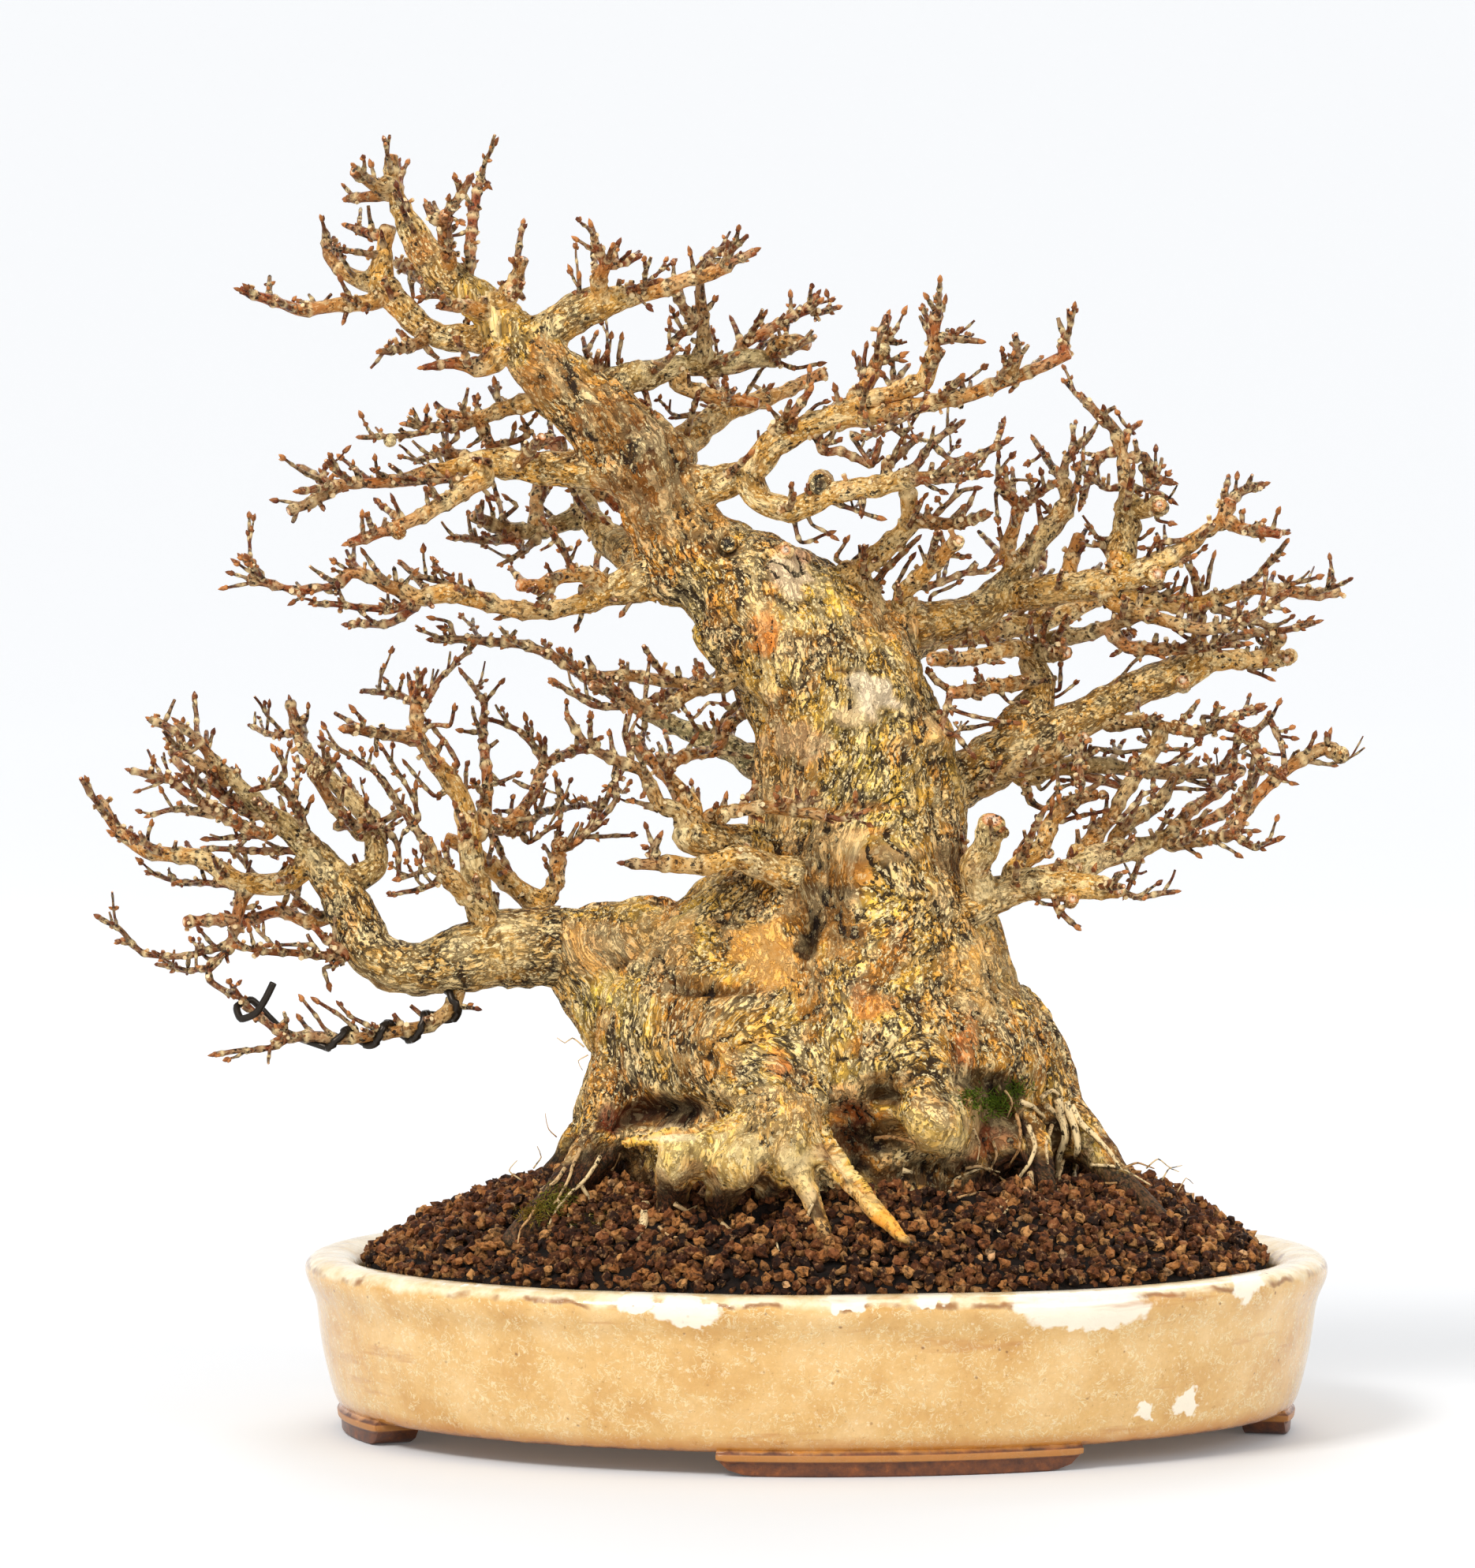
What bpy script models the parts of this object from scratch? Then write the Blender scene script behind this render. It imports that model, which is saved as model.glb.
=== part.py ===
"""A maple bonsai in an oval glazed pot, as it stands on a bench in winter.

All lengths below are in millimetres. The tree's front faces -Y, +X is to the
right, +Z is up, and the pot stands on Z = 0. The finished pieces are moved so
that the middle of everything lies over the origin.
"""
from math import cos, pi, radians, sin

import bmesh
import bpy
from mathutils import Vector

MM = 0.001
GAP = 0.3                       # clearance between pieces that touch
SMOOTH_ANGLE = 40.0             # sharper edges than this stay crisp

# Pot: an oval bowl on four low feet
POT_LENGTH = 260.0
POT_WIDTH = 196.0
POT_HEIGHT = 45.0
FOOT_HEIGHT = 8.0
WALL_FOOT_INSET = 7.0           # how much smaller the wall's foot is than the rim
LIP_WIDTH = 13.5                # the lip's width, seen from above
INNER_WALL_INSET = 11.5
INNER_FOOT_INSET = 18.0
FLOOR_TOP = 14.5
POT_SIDES = 48
FOOT_INSET = 8.0                # from the rim's widest line to a foot's outer face
FOOT_THICKNESS = 12.0
FOOT_LEDGE_HEIGHT = 5.0         # the glaze stops here; the bare base is set back below it
FOOT_END_SLOPE = 3.5            # how far the underside rises at each end
FOOT_SPANS = {                  # where each foot starts and ends round the oval, in degrees
    "foot_front": (-102, -58),
    "foot_right": (-13, 25),
    "foot_back": (78, 122),
    "foot_left": (167, 205),
}
DRAIN_RADIUS = 9.0
DRAIN_X = 55.0
TIE_HOLE_RADIUS = 2.0
TIE_X = 30.0
TIE_Y = 48.0

# Soil: a mound from the pot's floor up to the root flare
SOIL_EDGE_HEIGHT = 43.5
SOIL_CROWN_HEIGHT = 71.0
SOIL_CROWN_X = 8.0

# Inner fittings
MESH_SIZE = 30.0
MESH_THICKNESS = 1.2
MESH_HOLES = 4
CLIP_RADIUS = 0.7
TIE_RADIUS = 0.75

# Training wire, wound on the lowest left branch
WIRE_RADIUS = 0.95
WIRE_TURNS = 3.4
WIRE_STEPS_PER_TURN = 10
WIRE_START_ANGLE = 200.0
WIRE_STAND_OFF = 1.2            # room between the wire and the branch's facets

# Where the tree is looked at from. Boughs are laid out as they show at the
# front, and moved along the line of sight to their real depth.
EYE = Vector((-20.0, -1800.0, 255.0))


# ---------------------------------------------------------------- helpers

def start_empty():
    for obj in list(bpy.data.objects):
        bpy.data.objects.remove(obj, do_unlink=True)


def finish_colour(name, colour, roughness, metallic=0.0):
    material = bpy.data.materials.new(name)
    material.use_nodes = True
    shader = material.node_tree.nodes["Principled BSDF"]
    shader.inputs["Base Color"].default_value = (*colour, 1.0)
    shader.inputs["Roughness"].default_value = roughness
    shader.inputs["Metallic"].default_value = metallic
    return material


def solid(name, bm, material=None):
    """Turn the bmesh's normals outwards and put it in the scene, in metres, shaded smooth."""
    bmesh.ops.recalc_face_normals(bm, faces=bm.faces)
    bmesh.ops.scale(bm, vec=(MM, MM, MM), verts=bm.verts)
    mesh = bpy.data.meshes.new(name)
    bm.to_mesh(mesh)
    bm.free()
    obj = bpy.data.objects.new(name, mesh)
    bpy.context.scene.collection.objects.link(obj)
    if material:
        mesh.materials.append(material)
    mesh.shade_smooth()
    mesh.set_sharp_from_angle(angle=radians(SMOOTH_ANGLE))
    return obj


def guide(obj):
    """A cutter or a shape that only feeds a Boolean."""
    obj.hide_render = True
    obj.display_type = "WIRE"
    return obj


def boolean(obj, other, operation="DIFFERENCE"):
    modifier = obj.modifiers.new(operation.title(), "BOOLEAN")
    modifier.operation = operation
    modifier.solver = "EXACT"
    if isinstance(other, bpy.types.Collection):
        modifier.operand_type = "COLLECTION"
        modifier.collection = other
    else:
        modifier.object = other


def group(name, objects):
    """Gather Boolean operands in a collection of their own."""
    collection = bpy.data.collections.new(name)
    bpy.context.scene.collection.children.link(collection)
    for obj in objects:
        collection.objects.link(obj)
        bpy.context.scene.collection.objects.unlink(obj)
        guide(obj)
    return collection


def skin_rings(bm, rings, closed=False):
    """Join rings of equal count with triangles, all split the same way, and close both ends."""
    count = len(rings[0])
    pairs = list(zip(rings, rings[1:]))
    if closed:
        pairs.append((rings[-1], rings[0]))
    for lower, upper in pairs:
        for i in range(count):
            j = (i + 1) % count
            bm.faces.new((lower[i], lower[j], upper[j]))
            bm.faces.new((lower[i], upper[j], upper[i]))
    if not closed:
        bm.faces.new(list(reversed(rings[0])))
        bm.faces.new(rings[-1])


def tube(points, radii, sides, closed=False):
    """A round bar through the points, with a radius at each of them."""
    bm = bmesh.new()
    rings = []
    side = None
    last = len(points) - 1
    for i, point in enumerate(points):
        before = points[i - 1] if (i or closed) else point
        after = points[(i + 1) % len(points)] if (i < last or closed) else point
        along = (after - before).normalized()
        if side is None:
            side = along.orthogonal().normalized()
        side = (side - along * side.dot(along)).normalized()
        up = along.cross(side)
        ring = []
        for k in range(sides):
            angle = 2 * pi * k / sides
            ring.append(bm.verts.new(point + (side * cos(angle) + up * sin(angle)) * radii[i]))
        rings.append(ring)
    skin_rings(bm, rings, closed)
    return bm


def oval_ring(bm, half_x, half_y, z, sides=POT_SIDES, x=0.0, y=0.0):
    ring = []
    for i in range(sides):
        angle = 2 * pi * i / sides
        ring.append(bm.verts.new((x + half_x * cos(angle), y + half_y * sin(angle), z)))
    return ring


# ---------------------------------------------------------------- pot

def pot_profile():
    """Inset from the rim's widest line, and height, from the foot round to the floor."""
    top = POT_HEIGHT
    inner = INNER_WALL_INSET
    return [
        (WALL_FOOT_INSET + 5.0, FOOT_HEIGHT),
        (WALL_FOOT_INSET, FOOT_HEIGHT + 2.5),
        (WALL_FOOT_INSET - 3.5, FOOT_HEIGHT + 12.0),
        (WALL_FOOT_INSET - 4.0, top - 14.0),
        (2.6, top - 9.0),
        (0.6, top - 6.5),
        (0.0, top - 3.6),
        (1.6, top - 1.0),
        (5.0, top),
        (9.5, top - 0.4),
        (LIP_WIDTH - 0.6, top - 2.6),
        (LIP_WIDTH, top - 6.0),
        (inner + 3.0, top - 14.0),
        (INNER_FOOT_INSET, FLOOR_TOP + 5.0),
        (INNER_FOOT_INSET + 6.0, FLOOR_TOP),
    ]


def foot(name, start, end):
    """One low foot that follows the oval's edge, with sloping ends."""
    bm = bmesh.new()
    rings = []
    for share in (0.0, 0.06, 0.22, 0.36, 0.5, 0.64, 0.78, 0.94, 1.0):
        angle = radians(start + (end - start) * share)
        low = FOOT_END_SLOPE if share in (0.0, 1.0) else 0.0
        outline = [
            (FOOT_INSET + 1.6, low),
            (FOOT_INSET + 1.2, FOOT_LEDGE_HEIGHT - 0.5),
            (FOOT_INSET, FOOT_LEDGE_HEIGHT),
            (FOOT_INSET + 0.3, FOOT_HEIGHT + 1.2),
            (FOOT_INSET + FOOT_THICKNESS, FOOT_HEIGHT + 1.2),
            (FOOT_INSET + FOOT_THICKNESS, low),
        ]
        rings.append([bm.verts.new(((POT_LENGTH / 2 - inset) * cos(angle),
                                    (POT_WIDTH / 2 - inset) * sin(angle), z)) for inset, z in outline])
    skin_rings(bm, rings)
    return solid(name, bm)


def make_pot():
    bm = bmesh.new()
    rings = []
    for inset, z in pot_profile():
        rings.append(oval_ring(bm, POT_LENGTH / 2 - inset, POT_WIDTH / 2 - inset, z))
    skin_rings(bm, rings)
    pot = solid("pot", bm, finish_colour("glazed_clay", (0.62, 0.43, 0.19), 0.28))
    feet = [foot(name, start, end) for name, (start, end) in FOOT_SPANS.items()]
    boolean(pot, group("pot_feet", feet), "UNION")
    holes = []
    for side in (-1, 1):
        holes.append(hole("drain_cut", side * DRAIN_X, 0, DRAIN_RADIUS, 16))
        holes.append(hole("tie_cut", side * TIE_X, TIE_Y, TIE_HOLE_RADIUS, 8))
    boolean(pot, group("pot_holes", holes))
    return pot


def hole(name, x, y, radius, sides):
    bm = bmesh.new()
    lower = oval_ring(bm, radius, radius, FOOT_HEIGHT - 4, sides)
    upper = oval_ring(bm, radius, radius, FLOOR_TOP + 4, sides)
    skin_rings(bm, [lower, upper])
    obj = solid(name, bm)
    obj.location = (x * MM, y * MM, 0)
    return obj


# ---------------------------------------------------------------- soil

def soil_body(name, raise_top=0.0):
    """The mound: it fills the pot, and its top rises towards the trunk."""
    bm = bmesh.new()
    floor = FLOOR_TOP + MESH_THICKNESS + 2 * CLIP_RADIUS + 3 * GAP
    rings = [
        oval_ring(bm, POT_LENGTH / 2 - INNER_FOOT_INSET - 8, POT_WIDTH / 2 - INNER_FOOT_INSET - 8,
                  floor, 40),
        oval_ring(bm, POT_LENGTH / 2 - INNER_FOOT_INSET - 1.5,
                  POT_WIDTH / 2 - INNER_FOOT_INSET - 1.5, FLOOR_TOP + 7.0, 40),
        oval_ring(bm, POT_LENGTH / 2 - LIP_WIDTH - 2.2, POT_WIDTH / 2 - LIP_WIDTH - 2.2, 31.0, 40),
    ]
    # share of the oval, share of the rise from edge to crown
    for share, rise in ((0.995, 0.0), (0.96, 0.10), (0.88, 0.30), (0.76, 0.55), (0.62, 0.76),
                        (0.45, 0.90), (0.25, 0.98)):
        x = SOIL_CROWN_X * (1 - share) * 1.5
        z = SOIL_EDGE_HEIGHT + (SOIL_CROWN_HEIGHT - SOIL_EDGE_HEIGHT) * rise + raise_top
        rings.append(oval_ring(bm, (POT_LENGTH / 2 - LIP_WIDTH - 1.2) * share,
                               (POT_WIDTH / 2 - LIP_WIDTH - 1.2) * share, z, 40, x))
    skin_rings(bm, rings)
    return solid(name, bm)


# ---------------------------------------------------------------- tree

def seen(x, z, depth):
    """The point that shows at (x, z) from the front, at the given depth."""
    at_trunk = Vector((x, 0, z))
    return EYE + (at_trunk - EYE) * ((depth - EYE.y) / -EYE.y)


# Height, left side, right side, front, back of the lower trunk
TRUNK_RINGS = [
    (44, -52, 58, -40, 40),
    (57, -62, 74, -49, 48),
    (69, -64, 76, -52, 50),
    (83, -60, 70, -47, 46),
    (95, -57, 64, -44, 43),
    (105, -57, 60, -42, 41),
    (113, -56, 51, -40, 39),
    (123, -48, 49, -37, 37),
    (133, -36, 45, -33, 34),
    (143, -24, 40, -29, 31),
    (153, -17, 38, -27, 28),
    (165, -16, 36, -25, 26),
    (177, -16, 34, -24, 25),
    (187, -20, 30, -24, 24),
    (195, -27, 27, -23, 24),
    (203, -32, 22, -21, 22),
]
TRUNK_SIDES = 16
FLUTES = 7                      # root lobes round the flare


def trunk_body(name, extra=0.0):
    bm = bmesh.new()
    rings = []
    for z, left, right, front, back in TRUNK_RINGS:
        ring = []
        flare = max(0.0, (110 - z) / 66)
        for i in range(TRUNK_SIDES):
            angle = 2 * pi * i / TRUNK_SIDES
            lobe = 1 - 0.07 * flare * (1 + cos(FLUTES * angle + 0.6))
            half_x = (right - left) / 2 * lobe + extra
            half_y = (back - front) / 2 * lobe + extra
            ring.append(bm.verts.new(((left + right) / 2 + half_x * cos(angle),
                                      (front + back) / 2 + half_y * sin(angle), z)))
        rings.append(ring)
    if extra:
        for vert in rings[0]:
            vert.co.z -= extra
    skin_rings(bm, rings)
    return solid(name, bm)


# Boughs: every point is (x, z, depth, radius), as it shows from the front.
BOUGHS = {
    "upper_trunk": [(5, 185, 0, 23), (-7, 203, 0, 21), (-24, 218, 1, 15.5), (-36, 230, 2, 11.5),
                    (-41, 241, 2, 12), (-48, 252, 1, 12), (-58, 262, 0, 11), (-68, 271, 0, 10),
                    (-76, 280, 1, 7.5), (-86, 287, 2, 5.5)],
    "left_bough": [(-28, 118, 0, 15), (-50, 121.5, -2, 11.5), (-66, 122.5, -5, 9.5),
                   (-80, 122, -7, 9.5), (-92, 119, -9, 8), (-100, 117, -10, 6.3),
                   (-108, 118, -10, 6.3), (-114, 122, -10, 6.3), (-117, 129, -9, 6.3),
                   (-121, 137, -8, 5.5), (-126, 144, -8, 4.5), (-130, 149, -8, 3)],
    "low_right_bough": [(20, 121, -8, 6), (34, 130, -14, 5.5), (45, 135.5, -16, 4.5),
                        (54, 138.5, -18, 4), (62, 138, -22, 3.6), (70, 138, -25, 3.2),
                        (77, 137, -28, 2.2)],
    "low_right_fork": [(56, 139, -18, 3.5), (64, 141, -12, 3.6), (71, 145, -6, 3.6),
                       (79, 147, -2, 3), (86, 149, 0, 2.4), (92, 152.5, 2, 2)],
    "right_bough": [(20, 158, 2, 9), (38, 166, 6, 6.5), (48, 171.5, 8, 7), (58, 176, 9, 6),
                    (68, 181, 10, 5), (77, 186, 12, 4.6), (86, 190, 13, 4.6), (94, 193, 14, 4.6),
                    (101, 195.5, 15, 2.9), (110, 195.5, 16, 2.4), (118.5, 196, 17, 2.6)],
    "right_snag": [(50, 174, 8, 6.5), (53, 180, 12, 6), (57, 188, 15, 3.6), (55, 195, 17, 3.6),
                   (56, 200, 18, 3)],
    "high_right_bough": [(8, 196, 4, 10), (22, 203, 8, 6.5), (32, 205.5, 12, 5), (41, 207.5, 16, 5),
                         (48, 214, 20, 4.2), (55, 224, 24, 3.1), (61, 231, 27, 2.8),
                         (64, 236, 29, 2.4), (61.5, 243, 31, 1.3)],
    "far_right_bough": [(46, 211, 19, 4), (56, 212.5, 14, 4), (66, 214, 9, 4), (75, 215, 5, 3.6),
                        (82, 218, 2, 3.2), (90, 221.5, 0, 2.8), (98, 227.5, -2, 2),
                        (102.5, 230.5, -3, 2), (105, 236, -4, 1.6)],
    "right_spire": [(76, 215, 5, 3), (77, 222, 8, 3.8), (78.5, 229, 11, 3.8), (78.5, 236, 13, 2.4),
                    (78, 243, 14, 2), (77.5, 248, 15, 1.8), (75, 254, 16, 1.6), (71, 258, 17, 1.5),
                    (67, 262.3, 18, 1.1)],
    "top_right_bough": [(-36, 238, 0, 7), (-26, 240, -4, 4.5), (-17, 243, -8, 3.8),
                        (-11, 250, -11, 3.6), (-4, 254, -13, 3.3), (4, 257, -15, 3),
                        (11, 260.5, -17, 2.6), (20, 263.5, -19, 2.4), (27, 266, -21, 2.6),
                        (29.5, 272, -23, 2.2), (30, 278, -25, 1.6), (30.3, 283.5, -26, 1.5)],
    "crown_right": [(-72, 277, 0, 6.5), (-64, 282, -2, 5), (-56, 285.5, -4, 4.6),
                    (-49, 287, -5, 3), (-40, 289, -7, 2), (-32, 292, -8, 1.9), (-26, 293.7, -9, 2),
                    (-21, 296.5, -10, 1.4), (-15.7, 299, -11, 1.3)],
    "mid_right": [(-52, 258, 0, 6), (-47, 265, 4, 4.4), (-40, 268.5, 8, 3.4), (-32, 270, 12, 3),
                  (-25, 270, 15, 3), (-18, 271.5, 18, 3), (-10, 272, 21, 2)],
    "crown_apex": [(-84, 286, 2, 6), (-92, 291, 3, 5.2), (-98, 297, 4, 4.6), (-102, 304, 4, 3.6),
                   (-105.5, 311, 5, 2.4), (-107.5, 317, 5, 2.2), (-107.3, 323, 5, 1.7)],
    "crown_left": [(-76, 275, 1, 5), (-86, 277, 4, 3.6), (-95, 277.3, 7, 3.3), (-101, 281, 9, 3.2),
                   (-106, 286, 11, 3.5), (-110, 291, 12, 3.7), (-109.5, 298, 13, 2.8),
                   (-108.3, 305, 14, 1.8)],
    "left_shelf": [(-46, 245, 0, 7), (-60, 244, 2, 4.8), (-70, 244, 3, 4), (-80, 245.5, 4, 3.8),
                   (-88, 245, 3, 3), (-97, 243, 2, 2.1), (-106, 241, 0, 1.8),
                   (-114, 240.2, -2, 1.6), (-123, 239.7, -4, 1.7)],
    "left_arm": [(-26, 217, 0, 9), (-42, 216, 2, 6), (-52, 213, 2, 3.8), (-60, 209.7, 1, 2.8),
                 (-70, 207.8, 0, 2.3), (-80, 208.8, -1, 2.3), (-91, 212.5, -3, 2.5),
                 (-101, 211.5, -5, 2.3), (-109, 214.7, -7, 1.8), (-117.5, 217.8, -9, 1.8),
                 (-122, 214.7, -10, 1.3), (-131, 213, -12, 1.2), (-139, 215, -14, 1.3),
                 (-144, 216, -15, 1.4)],
    "back_left": [(-38, 220, 8, 7), (-48, 223, 22, 4.8), (-54, 227.5, 32, 3.8), (-58, 233, 40, 3.2),
                  (-60, 239, 46, 2.4), (-64, 246, 52, 1.8), (-68, 252, 57, 1.3)],
    "back_right": [(14, 196, 14, 8), (28, 202, 30, 4.6), (44, 203, 44, 3.4), (60, 206, 54, 2.6),
                   (73, 212, 60, 2), (84, 219, 64, 1.3)],
    "back_low": [(4, 158, 14, 9), (-8, 164, 34, 5), (-20, 172, 48, 3.6), (-34, 178, 58, 2.8),
                 (-50, 186, 66, 2), (-66, 196, 71, 1.3)],
    "back_top": [(-40, 240, 5, 8), (-34, 250, 18, 4.4), (-24, 258, 30, 3.2), (-12, 262, 40, 2.4),
                 (2, 268, 48, 1.5)],
    "front_burl": [(-12, 146, -18, 6), (-24, 149, -27, 4.8), (-32, 151, -32, 4.4),
                   (-33, 154, -33, 2.8)],
    "front_snag": [(2, 138, -22, 6), (-10, 142, -28, 4), (-20, 145.3, -33, 3.2),
                   (-29, 143.3, -36, 2.4), (-39, 143.7, -39, 2), (-48.7, 144, -42, 1.1)],
}

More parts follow.
